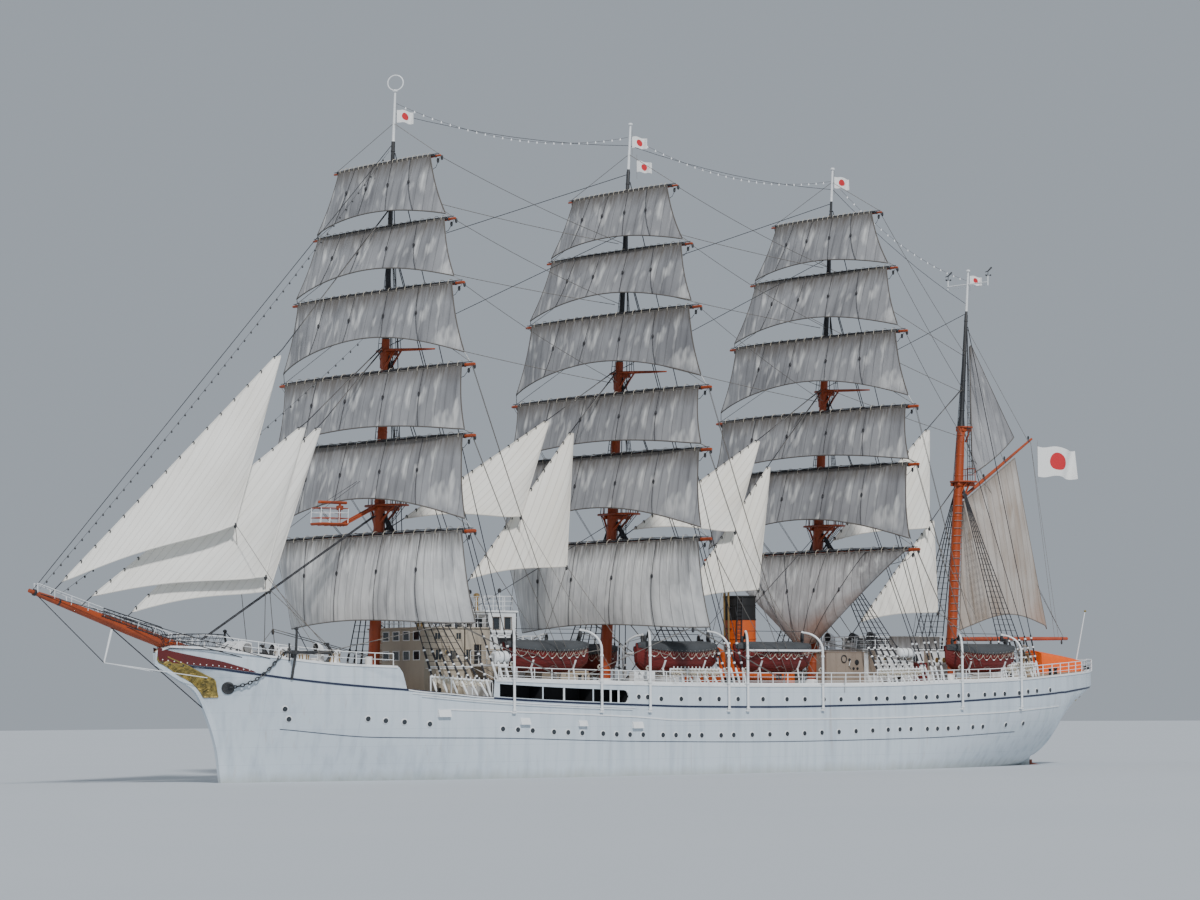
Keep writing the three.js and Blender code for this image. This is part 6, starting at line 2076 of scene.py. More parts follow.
def opening(shape, kind, aft, fore, low, high, face, side, wall=None):
    """Window, door or doorway in a wall whose outer face lies at y = side * face; a doorway is a near-black
    panel, painted shade.
    """
    frame = wall or WHITE
    for a, b, c, d in ((aft - 0.05, fore + 0.05, high, high + 0.06),
                       (aft - 0.05, fore + 0.05, low - 0.06, low),
                       (aft - 0.06, aft, low, high), (fore, fore + 0.06, low, high)):
        shape.add(*block((a, side * (face - 0.03), c), (b, side * (face + 0.05), d), 0.012), frame)
    if kind == "window":
        shape.add(*block((aft, side * (face - 0.06), low), (fore, side * (face + 0.012), high), 0.004), GLASS)
        middle = (aft + fore) / 2
        shape.add(*block((middle - 0.012, side * face, low),
                         (middle + 0.012, side * (face + 0.03), high), 0.004), frame)
    elif kind == "doorway":
        # the doorway's opening is a near-black panel: painted shade
        shape.add(*block((aft, side * (face - 0.06), low), (fore, side * (face + 0.008), high), 0.004), PAINTED_SHADE)
    else:
        shape.add(*block((aft + 0.03, side * (face - 0.05), low + 0.02),
                         (fore - 0.03, side * (face + 0.035), high - 0.02)), frame)
        light = ((aft + fore) / 2, side * (face + 0.03), high - 0.38)
        shape.add(*lathe([(0, 0.15), (0.03, 0.15), (0.045, 0.12)], light, (0, side, 0), 14), BRONZE)
        shape.add(*lathe([(0.03, 0.11), (0.05, 0.1)], light, (0, side, 0), 14), GLASS)
        for z in (low + 0.25, (low + high) / 2, high - 0.2):
            shape.add(*tube([(fore - 0.05, side * (face + 0.05), z - 0.06),
                             (fore - 0.05, side * (face + 0.05), z + 0.06)], 0.022, 6), STEEL)
        shape.add(*tube([(aft + 0.1, side * (face + 0.04), (low + high) / 2),
                         (aft + 0.1, side * (face + 0.1), (low + high) / 2)], 0.02, 6), BRONZE)


def house(shape, fore, aft, half, foot_at, top, material, eave=0.1):
    """Walls whose foot follows the deck, with raised seams between their plates, and a roof with an eave."""
    xs = np.linspace(fore, aft, 7)
    rings = []
    for x in xs:
        foot = foot_at(x)
        rings.append([(x, half, foot), (x, half, top - 0.08), (x, -half, top - 0.08), (x, -half, foot)])
    shape.add(*skin(rings), material)
    shape.add(*block((aft - eave, -half - eave, top - 0.1), (fore + eave, half + eave, top), 0.04), material)
    for x in np.arange(aft + 0.9, fore - 0.3, 1.1):
        for side in (PORT, STARBOARD):
            shape.add(*block((x - 0.02, side * (half - 0.02), foot_at(x) + 0.1),
                             (x + 0.02, side * (half + 0.018), top - 0.1), 0.006), material)
    for side in (PORT, STARBOARD):
        foot = [(x, side * (half + 0.02), foot_at(x) + 0.1) for x in xs]
        shape.add(*tube(foot, 0.06, 6), TAUPE)


def ladder(shape, foot, head, width, axis, material=None, step=0.28):
    """Ladder from foot to head; axis is the direction of its rungs."""
    material = material or WHITE
    foot, head, axis = np.array(foot, float), np.array(head, float), np.array(axis, float)
    count = max(2, int(np.linalg.norm(head - foot) / step))
    for end in (-0.5, 0.5):
        shape.add(*tube([foot + axis * width * end, head + axis * width * end], 0.035, 6), material)
    for t in np.linspace(0.05, 0.97, count):
        middle = foot + (head - foot) * t
        shape.add(*tube([middle - axis * width / 2, middle + axis * width / 2], 0.022, 5), material)


def canister(shape, middle, length, radius=0.36):
    """Liferaft in its ribbed white drum on a cradle."""
    x, y, z = middle
    profile = [(-length / 2, radius * 0.5), (-length / 2 + 0.06, radius * 0.9)]
    for h in np.linspace(-length / 2 + 0.14, length / 2 - 0.14, 9):
        profile += [(h - 0.03, radius), (h, radius * 1.04), (h + 0.03, radius)]
    profile += [(length / 2 - 0.06, radius * 0.9), (length / 2, radius * 0.5)]
    shape.add(*lathe(profile, (x, y, z), (1, 0, 0), 20), WHITE)
    shape.add(*lathe([(-0.04, radius * 1.08), (0.04, radius * 1.08)], (x, y, z), (1, 0, 0), 20), STEEL)
    for end in (-0.3, 0.3):
        seat = x + end * length
        shape.add(*block((seat - 0.04, y - radius * 0.9, z - radius - 0.14),
                         (seat + 0.04, y + radius * 0.9, z - radius * 0.62)), STEEL)
        strap = [(seat, y + radius * 1.07 * math.cos(a), z + radius * 1.07 * math.sin(a))
                 for a in np.linspace(0, math.pi, 13)]
        shape.add(*tube(strap, 0.015, 4), BLACK)


def cowl(shape, x, y, foot, height, radius, towards=1, material=None, mouth=None):
    """Ventilator: an upright trunk with its bell turned forward or aft."""
    material = material or WHITE
    path = [(x, y, foot), (x, y, foot + height * 0.6)]
    radii = [radius, radius]
    for a in np.radians((30, 60, 90)):
        path.append((x + towards * radius * 1.3 * (1 - math.cos(a)), y,
                     foot + height * 0.6 + height * 0.3 * math.sin(a)))
        radii.append(radius * (1 + 0.35 * math.sin(a)))
    path.append((path[-1][0] + towards * radius * 0.7, y, path[-1][2]))
    radii.append(radius * 1.6)
    shape.add(*tube(path, radii, 14), material)
    bell = path[-1]
    shape.add(*lathe([(-0.01, radius * 1.62), (0.03, radius * 1.62), (0.03, radius * 1.4)], bell,
                     (towards, 0, 0), 14), material)
    # unless another is given, the mouth is near-black: painted shade inside the bell
    shape.add(*lathe([(0.015, radius * 1.38), (0.035, radius * 1.38)], bell,
                     (towards, 0, 0), 14), mouth or PAINTED_SHADE)
    shape.add(*lathe([(0, radius * 1.25), (0.08, radius * 1.25)], (x, y, foot), sides=14), material)


def roof_edge(first, last, half, z, closed=False):
    """Corners of a flat roof: the port ones at first and last, then the starboard ones on the way back."""
    corners = [(first, half, z), (last, half, z), (last, -half, z), (first, -half, z)]
    return np.array(corners + corners[:1] if closed else corners)


def finer(path, count):
    """The path with count places, ends included, on each of its stretches."""
    return np.vstack([np.linspace(a, b, count)[:-1] for a, b in zip(path, path[1:])] + [path[-1:]])


def build_bridge():
    shape = Shape()
    house(shape, BRIDGE_FORE, WELL_AFT + 0.004, BRIDGE_HALF, lambda x: WELL_DECK + 0.01, BRIDGE_TOP, BEIGE)
    house(shape, WELL_AFT + 0.1, BRIDGE_AFT, BRIDGE_HALF, lambda x: deck_z(BRIDGE_AFT)
          + 0.06, BRIDGE_TOP, BEIGE)
    house(shape, BRIDGE_AFT + 0.1, CHART_AFT, CHART_HALF, lambda x: deck_z(x) + 0.01, CHART_TOP, BEIGE)
    for side in (PORT, STARBOARD):
        for kind, aft, fore, low, high in BRIDGE_OPENINGS:
            opening(shape, kind, aft, fore, low, high, BRIDGE_HALF, side, BEIGE)
        for kind, aft, fore, low, high in CHART_OPENINGS:
            opening(shape, kind, aft, fore, low, high, CHART_HALF, side)
    front_frame = frame_bars(-FRONT_HALF, FRONT_HALF, 0.0, FRONT_TALL, FRAME_WIDE, 0.9 * FRAME_WIDE)
    for y in FRONT_YS:
        for low in FRONT_SILLS:
            for a, b, c, d in front_frame:
                shape.add(*block((BRIDGE_FORE - 0.02, y + a, low + c),
                                 (BRIDGE_FORE + 0.04, y + b, low + d), 0.01), WHITE)
            shape.add(*block((BRIDGE_FORE - 0.05, y - FRONT_HALF, low),
                             (BRIDGE_FORE + PANE_PROUD, y + FRONT_HALF, low + FRONT_TALL), 0.004), GLASS)
    for side in (PORT, STARBOARD):
        grab = [(x, side * (BRIDGE_HALF + 0.12), 7.3) for x in np.linspace(24.9, 21.4, 6)]
        shape.add(*tube(grab, 0.025, 6), WHITE)
        for x, y, z in grab:
            shape.add(*tube([(x, y, z), (x, y - side * 0.13, z)], 0.018, 5), WHITE)
    shape.add(*block((WING_AFT, -WING_HALF, WING_LOW), (WING_FORE, WING_HALF, WING_HIGH), 0.02), WHITE)
    for side in (PORT, STARBOARD):
        for x in (WING_AFT + 0.12, WING_FORE - 0.12):
            foot = deck_z(x)
            shape.add(*tube([(x, side * (WING_HALF - 0.2), foot),
                             (x, side * (WING_HALF - 0.2), WING_LOW)], 0.05, 8), WHITE)
            shape.add(*tube([(x, side * (WING_HALF - 0.2), foot + 0.1),
                             (x, side * (BRIDGE_HALF + 0.05), WING_LOW)], 0.025, 6), WHITE)
        raft = ((WING_AFT + WING_FORE) / 2 - 0.25, side * (WING_HALF - 0.42), WING_HIGH + 0.48)
        canister(shape, raft, RAFT_LENGTH, RAFT_RADIUS)
    shape.piece("bridge_walls", slot="house_paint", replaces=["bridge_house"])

    rails = Shape()
    roof = roof_edge(BRIDGE_AFT, BRIDGE_FORE - 0.05, BRIDGE_HALF - 0.05, BRIDGE_TOP)
    railing(rails, finer(roof, 6), HOUSE_RAIL, RAIL_BARS, 1.0, RAIL_RADIUS)
    for side in (PORT, STARBOARD):
        wing = np.linspace((WING_FORE - 0.04, side * 3.1, WING_HIGH),
                           (WING_FORE - 0.04, side * (WING_HALF - 0.05), WING_HIGH), 4)
        railing(rails, wing, HOUSE_RAIL, RAIL_BARS, 0.9, RAIL_RADIUS)
        rail_y = side * (CHART_HALF - 0.05)
        chart = np.linspace((16.3, rail_y, CHART_TOP), (CHART_AFT + 0.1, rail_y, CHART_TOP), 3)
        railing(rails, chart, HOUSE_RAIL, RAIL_BARS, 0.8, RAIL_RADIUS)
        ladder(rails, (21.35, side * 4.2, WELL_DECK), (20.6, side * 4.2, 6.55), 0.55, (0, 1, 0))
        ladder(rails, (14.2, side * 1.5, deck_z(14.2)), (14.55, side * 1.5, CHART_TOP + 0.7), 0.5, (0, 1, 0))
    after_rail = np.linspace((CHART_AFT + 0.1, -2.6, CHART_TOP), (CHART_AFT + 0.1, 2.6, CHART_TOP), 5)
    railing(rails, after_rail, HOUSE_RAIL, RAIL_BARS, 0.9, RAIL_RADIUS)
    for x, y in ((23.4, 1.2), (22.1, -1.3)):
        cowl(rails, x, y, BRIDGE_TOP, 0.9, 0.16)
    # compass, on its stand
    compass = [(0, 0.3), (0.08, 0.3), (0.1, 0.2), (0.7, 0.17), (0.8, 0.24), (0.95, 0.26),
               (1.05, 0.2), (1.1, 0.05)]
    rails.add(*lathe(compass, (23.0, 0, BRIDGE_TOP), sides=16), BRONZE)
    lamp = [(0, 0.12), (0.2, 0.12), (0.25, 0.26), (0.55, 0.26), (0.6, 0.12)]
    for side in (PORT, STARBOARD):
        rails.add(*lathe(lamp, (20.5, side * 2.2, BRIDGE_TOP), sides=12), STEEL)
        rails.add(*lathe([(0.04, 0.2), (0.2, 0.2)], (20.72, side * 2.2, BRIDGE_TOP + 0.4), (1, 0, 0), 14),
                  GLASS)
    rails.piece("bridge_rails", slot="white_paint")


def build_wheelhouse():
    shape = Shape()
    foot = CHART_TOP + 0.006
    outer, inner = WHEEL_HALF, WHEEL_HALF - WHEEL_WALL
    fronts = [(y - 0.35, y + 0.45) for y in (-1.7, -0.6, 0.5, 1.6)]
    aft, fore = WHEEL_AFT, WHEEL_FORE
    for low, high in ((foot, WHEEL_SILL), (WHEEL_LINTEL, WHEEL_TOP - 0.12)):
        shape.add(*block((fore - WHEEL_WALL, -outer, low), (fore, outer, high), 0.02), WHITE)
        shape.add(*block((aft, -outer, low), (aft + WHEEL_WALL, outer, high), 0.02), WHITE)
        for side in (PORT, STARBOARD):
            shape.add(*block((aft, side * inner, low), (fore, side * outer, high), 0.02), WHITE)
    edges = [-outer] + [y for pair in fronts for y in pair] + [outer]
    for y0, y1 in zip(edges[::2], edges[1::2]):
        shape.add(*block((fore - WHEEL_WALL, y0, WHEEL_SILL), (fore, y1, WHEEL_LINTEL), 0.015), WHITE)
    shape.add(*block((aft, -outer, WHEEL_SILL), (aft + WHEEL_WALL, outer, WHEEL_LINTEL), 0.02), WHITE)
    for side in (PORT, STARBOARD):
        for x0, x1 in ((aft, aft + 0.5), (aft + 1.1, aft + 1.5), (aft + 2.1, fore)):
            shape.add(*block((x0, side * inner, WHEEL_SILL), (x1, side * outer, WHEEL_LINTEL), 0.015), WHITE)
        for x0 in (aft + 0.5, aft + 1.5):
            shape.add(*block((x0 + 0.01, side * (inner + 0.03), WHEEL_SILL),
                             (x0 + 0.59, side * (inner + 0.05), WHEEL_LINTEL), 0.002), GLASS)
            for z in (WHEEL_SILL - 0.04, WHEEL_LINTEL):
                shape.add(*block((x0 - 0.05, side * (outer - 0.01), z),
                                 (x0 + 0.65, side * (outer + 0.04), z + 0.04), 0.01), TAUPE)
            for x in (x0 - 0.04, x0 + 0.6):
                shape.add(*block((x, side * (outer - 0.01), WHEEL_SILL),
                                 (x + 0.04, side * (outer + 0.04), WHEEL_LINTEL), 0.01), TAUPE)
        opening(shape, "doorway", 17.2, 18.4, 8.96, 9.36, outer, side)
        for z in (9.6, 9.75):
            shape.add(*tube([(x, side * (outer + 0.09), z) for x in (aft, fore)], 0.018, 5), WHITE)
    for y0, y1 in fronts:
        shape.add(*block((fore - 0.08, y0 + 0.01, WHEEL_SILL),
                         (fore - 0.06, y1 - 0.01, WHEEL_LINTEL), 0.002), GLASS)
        shape.add(*block((fore - 0.01, y0 - 0.04, WHEEL_SILL - 0.04),
                         (fore + 0.04, y1 + 0.04, WHEEL_SILL), 0.01), TAUPE)
    shape.add(*block((aft - 0.08, -outer - 0.08, WHEEL_TOP - 0.14),
                     (fore + 0.2, outer + 0.08, WHEEL_TOP), 0.04), WHITE)
    shape.add(*lathe([(0, 0.1), (0.9, 0.07), (1.0, 0.16)], (18.4, 0, foot), sides=10), BRONZE)
    shape.piece("wheelhouse_walls", slot="white_paint", replaces=["wheelhouse"])

    rails = Shape()
    roof = roof_edge(WHEEL_AFT + 0.3, WHEEL_FORE - 0.1, WHEEL_HALF - 0.1, WHEEL_TOP, closed=True)
    railing(rails, finer(roof, 5), 0.97, RAIL_BARS, 0.85, RAIL_RADIUS)
    compass = [(0, 0.2), (0.1, 0.2), (0.12, 0.12), (0.9, 0.1), (0.98, 0.2), (1.15, 0.22), (1.25, 0.1)]
    rails.add(*lathe(compass, (18.1, 0, WHEEL_TOP), sides=14), BRONZE)
    lamp, lamp_x, lamp_z = [(0, 0.09), (0.05, 0.13), (0.22, 0.13), (0.3, 0.04)], 17.4, 12.45
    for y in (-1.6, 1.6):
        rails.add(*tube([(lamp_x, y, WHEEL_TOP), (lamp_x, y, lamp_z + 0.15)], 0.025, 6), WHITE)
        rails.add(*lathe(lamp, (lamp_x, y, lamp_z), sides=10), BLACK)
    rails.piece("wheelhouse_rails", slot="white_paint")


def build_funnel():
    shape = Shape()
    house(shape, CASING_FORE, CASING_AFT, CASING_HALF, lambda x: deck_z(x) + 0.01, CASING_TOP, FUNNEL, 0.05)
    foot, top = CASING_TOP - 0.05, FUNNEL_TOP
    pipe = [(foot, 1.25), (foot + 0.3, 1.22), (foot + 0.5, FUNNEL_RADIUS), (FUNNEL_BLACK, FUNNEL_RADIUS)]
    mouth = [(FUNNEL_BLACK, FUNNEL_RADIUS), (top - 0.14, FUNNEL_RADIUS),
             (top - 0.12, 1.21), (top - 0.02, 1.21),
             (top, 1.17), (top, 1.05), (top - 0.02, 1.03), (top - 0.9, 1.03)]
    for profile, material in ((pipe, FUNNEL), (mouth, SOOT)):
        shape.add(*lathe(profile, (FUNNEL_X, 0, 0), sides=40), material)
    hoop = [(-0.05, FUNNEL_RADIUS), (-0.04, FUNNEL_RADIUS + 0.035),
            (0.04, FUNNEL_RADIUS + 0.035), (0.05, FUNNEL_RADIUS)]
    for z in FUNNEL_HOOPS:
        shape.add(*lathe(hoop, (FUNNEL_X, 0, z), sides=40), SOOT if z > FUNNEL_BLACK - 0.01 else FUNNEL)
    for y, top in STEAM_PIPES:
        pipe = [(FUNNEL_X + 1.32, y, CASING_TOP - 0.05), (FUNNEL_X + 1.32, y, top - 0.2),
                (FUNNEL_X + 1.3, y, top)]
        shape.add(*tube(pipe, 0.075, 10), BRONZE)
    for z in STEP_ZS:
        shape.add(*block((FUNNEL_X + 1.1, -0.3, z), (FUNNEL_X + 1.3, 0.35, z + 0.05), 0.01), BLACK)
    ladder(shape, (FUNNEL_X + 1.05, 0.95, 7.15), (FUNNEL_X + 0.85, 0.95, 12.5), 0.36, (0.66, -0.75, 0), BLACK)
    for side in (PORT, STARBOARD):
        opening(shape, "door", -4.4, -3.75, deck_z(-4.0) + 0.08, 7.0, CASING_HALF, side, FUNNEL)
        opening(shape, "window", -8.6, -8.0, 6.55, 6.95, CASING_HALF, side, FUNNEL)
        for x, height, radius in CASING_COWLS:
            cowl(shape, x, side * 1.1, CASING_TOP, height, radius, 1, FUNNEL)
        shape.add(*block((-9.6, side * 0.35, CASING_TOP), (-7.7, side * 1.5, CASING_TOP + 0.35)), FUNNEL)
        for x in (-9.2, -8.65, -8.1):
            shape.add(*lathe([(0, 0.14), (0.03, 0.14), (0.04, 0.1)],
                             (x, side * 0.95, CASING_TOP + 0.35), sides=12), BRONZE)
        for head_x, foot_x in ((FUNNEL_X + 1.0, -2.9), (FUNNEL_X - 1.0, -9.7)):
            stay = [(head_x, side * 0.6, FUNNEL_STAY_Z), (foot_x, side * FUNNEL_STAY_Y, deck_z(foot_x) + 0.2)]
            shape.add(*tube(stay, 0.018, 5), WIRE)
    railing(shape, roof_edge(-7.55, CASING_AFT + 0.1, CASING_HALF - 0.1, CASING_TOP), HOUSE_RAIL, 2, 1.1)
    shape.piece("funnel_stack", slot="funnel_paint", replaces=["funnel"])


def build_after_house():
    shape = Shape()
    house(shape, AFTER_FORE, AFTER_AFT, AFTER_HALF, lambda x: deck_z(x) + 0.01, AFTER_TOP, WHITE)
    for side in (PORT, STARBOARD):
        for kind, aft, fore, low, high in AFTER_OPENINGS:
            opening(shape, kind, aft, fore, low, high, AFTER_HALF, side, TAUPE if kind == "door" else WHITE)
        for x in AFTER_SCUTTLES:
            at = (x, side * AFTER_HALF, SCUTTLE_Z)
            shape.add(*lathe([(0, 0.19), (0.04, 0.19), (0.05, 0.15)], at, (0, side, 0), 14), BRONZE)
            shape.add(*lathe([(0.02, 0.145), (0.045, 0.14)], at, (0, side, 0), 14), GLASS)
        canister(shape, (-18.05, side * 5.1, 8.45), 1.6)
        for x in (-17.5, -18.6):
            shape.add(*tube([(x, side * 5.1, deck_z(x)), (x, side * 5.1, 8.0)], 0.05, 8), WHITE)
        red_box = block((-20.45, side * 4.55, deck_z(-20) + 0.02), (-19.42, side * 5.05, 7.76))
        shape.add(*red_box, BOAT_RED)
        shape.add(*block((-20.2, side * 5.05, 7.1), (-19.66, side * 5.075, 7.6), 0.01), WHITE)
    for x, y in ((-18.52, 1.5), (-19.46, -1.3), (-17.2, -1.6)):
        cowl(shape, x, y, AFTER_TOP, 1.0, 0.24, 1, BLACK if y > -1.5 else WHITE)
    shape.add(*block((-23.2, -0.9, AFTER_TOP), (-20.6, 0.9, AFTER_TOP + 0.42)), WHITE)
    for x in (-22.7, -21.9, -21.1):
        for side in (PORT, STARBOARD):
            shape.add(*block((x - 0.28, side * 0.55, AFTER_TOP + 0.4),
                             (x + 0.28, side * 0.88, AFTER_TOP + 0.45), 0.01), GLASS)
    shape.piece("after_house_walls", slot="white_paint", replaces=["aft_house"])

    rails = Shape()
    roof = roof_edge(AFTER_FORE - 0.3, AFTER_AFT + 0.2, AFTER_HALF - 0.08, AFTER_TOP, closed=True)
    railing(rails, finer(roof, 9), 0.92, RAIL_BARS, 1.05, 0.025)
    for side in (PORT, STARBOARD):
        ladder(rails, (-15.7, side * 1.7, deck_z(-15.7)), (-16.25, side * 1.7, 9.6), 0.5, (0, 1, 0))
    rails.piece("after_house_rails", slot="white_paint")
    for word, side in SIDES:
        us, ts = np.linspace(WEATHER_AFT, WEATHER_FORE, 49), np.linspace(0, 1, 9)
        grid = np.empty((len(ts), len(us), 3))
        for j, x in enumerate(us):
            for i, t in enumerate(ts):
                wave = 0.02 * math.sin(x * 6.0 + t * 2) * math.sin(math.pi * t)
                grid[i, j] = (x, side * (WEATHER_HALF + wave), WEATHER_HEAD - WEATHER_TALL * t)
        cloth_piece(f"weather_cloth_{word}", grid, grid, SHADED_SAIL_CLOTH, "ship", "sail_canvas",
                    "aft_house",
                    0.015)


def cover_top(x):
    return float(np.interp(x, COVER_TOPS[::-1, 0], COVER_TOPS[::-1, 1]))


def cover_point(x, q):
    """Section of the steering gear's cover; q runs from -1 at one foot to 1 at the other."""
    foot, top = deck_z(x) + 0.04, cover_top(x)
    eave = top - COVER_EAVE
    ridge = min(1.0, abs(q) / COVER_ROOF)
    if abs(q) <= COVER_ROOF:
        return math.copysign(COVER_HALF * ridge, q), top - COVER_EAVE * ridge ** 1.3
    down = (abs(q) - COVER_ROOF) / (1 - COVER_ROOF)
    return math.copysign(COVER_HALF + COVER_SPREAD * down, q), eave + (foot - eave) * down


def build_stern_cover():
    frame = Shape()
    first, last = COVER_FORE - 0.2, COVER_AFT + 0.2
    for x in np.linspace(first, last, 6):
        hoop = []
        for q in np.linspace(-0.98, 0.98, 15):
            y, z = cover_point(x, q)
            hoop.append((x, y * 0.97, z - 0.05))
        frame.add(*tube(hoop, 0.035, 6), WHITE)
    frame.add(*tube([(x, 0, cover_top(x) - 0.06) for x in (first, last)], 0.04, 6), WHITE)
    frame.piece("steering_cover_frame", slot="white_paint", replaces=["stern_cover"])
    xs, qs = np.linspace(COVER_FORE, COVER_AFT, 41), np.linspace(-1, 1, 31)
    grid = np.empty((len(xs), len(qs), 3))
    for i, x in enumerate(xs):
        for j, q in enumerate(qs):
            y, z = cover_point(x, q)
            fold = 0.018 * math.sin(x * 9 + abs(q) * 5) * abs(q) + 0.012 * math.sin(x * 23 - q * 7)
            grid[i, j] = (x, y * (1 + fold), z + fold * 0.7)
    cloth_piece("steering_cover", grid, grid, ORANGE_CANVAS, "ship", "orange_canvas",
                "stern_cover",
                0.02)
    for name, x in (("fore", COVER_FORE), ("aft", COVER_AFT)):
        ts = np.linspace(0, 1, 12)
        grid = np.empty((len(ts), 21, 3))
        for j, y in enumerate(np.linspace(-1.05, 1.05, 21)):
            high = cover_top(x) - COVER_EAVE * min(1.0, abs(y) / COVER_HALF) ** 1.3 - 0.02
            low = deck_z(x) + 0.08
            for i, t in enumerate(ts):
                wave = 0.02 * math.sin(y * 8 + t * 3)
                grid[i, j] = (x + wave, y, high + (low - high) * t)
        cloth_piece(f"steering_cover_{name}", grid, grid, ORANGE_CANVAS, "ship", "orange_canvas",
                    "stern_cover",
                    0.02)


build_bridge()
build_wheelhouse()
build_funnel()
build_after_house()
build_stern_cover()


# Lookout, deck gear, anchor gear, bow and stern ornament, and the underwater gear

PROPELLER_AT = (-33.6, 1.75, -2.5)
PROPELLER_RADIUS, BLADE_COUNT, BOSS_RADIUS = 1.25, 3, 0.26
# propeller blade: reach, chord and thickness as shares of the radius, pitch angle
BLADE = np.array([[0.1, 0.24, 0.06, 62], [0.25, 0.35, 0.057, 53], [0.4, 0.46, 0.05, 45],
                  [0.56, 0.54, 0.042, 39],
                  [0.72, 0.56, 0.035, 34], [0.86, 0.48, 0.028, 30], [0.98, 0.3, 0.02, 27]])
RUDDER_X, RUDDER_BOTTOM, RUDDER_TOP, RUDDER_CHORD, RUDDER_HALF = -36.83, -4.75, 0.4, 2.35, 0.14
RUDDER_MIDDLE, RUDDER_STRAPS = (-1.1, -2.2), (-4.1, -2.9, -1.7, -0.5)
SHAFT_START, BILGE_KEELS, BILGE_Z, BILGE_HALF = -22.0, (-14.0, -2.0, 10.0), -2.6, 5.4
SEA_INLETS = ((-28.5, -1.4), (-24.0, -3.2), (20.0, -2.4))

# Lookout ahead of the fore mast: its arm's upper chord starts at ARM_X, ARM_Z and drops as it reaches out
ARM_X, ARM_Z, ARM_REACH, ARM_DROP, ARM_DEEP, ARM_HALF = 0.43, 18.12, 2.67, 1.28, 0.14, 0.16
LOOKOUT_NEAR, LOOKOUT_FAR, LOOKOUT_HALF, LOOKOUT_FLOOR, LOOKOUT_RAIL = 3.0, 5.2, 0.55, 16.7, 1.17
CANOPY_Z, CANOPY_POST, LOOKOUT_WIRE_Z = 18.15, 3.3, 20.6
# height above the floor, radius and paint of each ring round the lookout
LOOKOUT_RINGS = ((0.12, 0.07, ORANGE), (0.5, 0.03, ORANGE), (0.85, 0.02, WHITE), (1.15, 0.03, ORANGE))

# x, z and radius of the windlass drums, y of its cheeks, then height and radius up each kind of
# mooring post and the places along the deck where each kind stands
DRUMS, CHEEK_YS, WINDLASS_X = ((37.75, 8.62, 0.3), (38.45, 8.4, 0.2)), (-0.72, 0.0, 0.72), 38.0
FORE_BITT = ((0, 0.13), (0.35, 0.12), (0.42, 0.17), (0.48, 0.14))
SIDE_BITT = ((0, 0.13), (0.4, 0.11), (0.46, 0.16), (0.52, 0.12))
STERN_BITT = ((0, 0.09), (0.22, 0.07), (0.26, 0.11), (0.3, 0.08))
SINGLE_BITT = ((0, 0.14), (0.4, 0.12), (0.46, 0.17), (0.52, 0.13))
FORE_BITTS, SINGLE_BITTS = (35.6, 37.0), (-35.4, -36.3)
SIDE_BITTS, STERN_BITTS = (13.5, 0.2, -16.5, -29.6), (-42.3, -43.0)

# hatch and skylights: fore x, aft x, half breadth and top
HATCH = (11.9, 9.3, 1.5, 7.15)
SKYLIGHTS = ((3.6, 0.8, 1.3, 7.2), (-31.6, -34.6, 1.1, 7.9))
# x, y of each capstan
CAPSTANS = ((34.2, 0.0), (31.4, 1.7), (31.4, -1.7))
# x, y, height and radius of each ventilator on deck
DECK_COWLS = ((33.0, 2.4, 1.15, 0.2), (12.9, 1.9, 1.3, 0.22), (-0.3, 1.8, 1.3, 0.22))
LOCKER_FORE, LOCKER_AFT, LOCKER_INNER, LOCKER_OUTER, LOCKER_TOP = -11.1, -14.95, 2.9, 4.0, 8.5
# x, z and radius of the round near-black plates on a locker's outer face: painted shade of dark holes
LOCKER_PLATES = ((-14.14, 7.78, 0.2), (-14.2, 7.33, 0.1), (-13.8, 7.33, 0.1), (-13.4, 7.95, 0.12))
DECK_BOXES, BOX_INNER, BOX_OUTER, BOX_TOP = ((7.03, 7.95), (8.02, 8.94)), 5.2, 5.75, 7.07
HELM_X, HELM_Z, HELM_RIM, HELM_REACH, HELM_SPOKES = -36.35, 8.55, 0.62, 0.82, 8

HAWSE_X, HAWSE_Z, RING_X, ANCHOR_Z, CATHEAD_X = 39.52, 6.06, 36.42, 8.3, 36.0
ORNAMENT_LOW, ORNAMENT_HIGH, BOARD_FORE, BOARD_LENGTH, BOARD_TALL = 5.49, 8.05, 44.2, 6.1, 0.78
# z and x of the ornament's after edge
ORNAMENT_EDGE = np.array([[5.49, 39.92], [6.57, 40.34], [8.1, 43.6]])
# x, z, radius, turns and starting angle of each carved curl
SCROLLS = (
    (43.4, 7.45, 0.32, 1.4, 0.5), (42.6, 7.0, 0.36, -1.4, 2.4), (41.7, 6.6, 0.4, 1.5, 0.9),
    (40.9, 6.25, 0.38, -1.5, 2.2), (40.5, 5.85, 0.26, 1.3, 0.2), (42.1, 6.25, 0.2, 1.2, 3.0),
)
# x, z, width and height of the hoods over the discharges
HOODS = ((18.95, 3.55, 0.75, 0.45), (14.15, 3.4, 0.7, 0.4), (9.35, 3.22, 0.9, 0.45), (25.2, 4.1, 0.9, 0.5))
# x, z of the gilt studs on the counter
STUDS = ((-39.6, 4.95), (-40.6, 5.2), (-41.6, 5.45))
STAFF_X, STAFF_HEAD = -42.1, (-43.45, 0, 11.85)


def on_mast(shape, mast, made, material):
    points, faces = made
    shape.add(mast.sheared(points), faces, material)


def arm_at(share, y, down=0.0):
    """Point along the lookout's arm, from the mast out, this far below its upper chord."""
    return ARM_X + ARM_REACH * share, y, ARM_Z - ARM_DROP * share - down


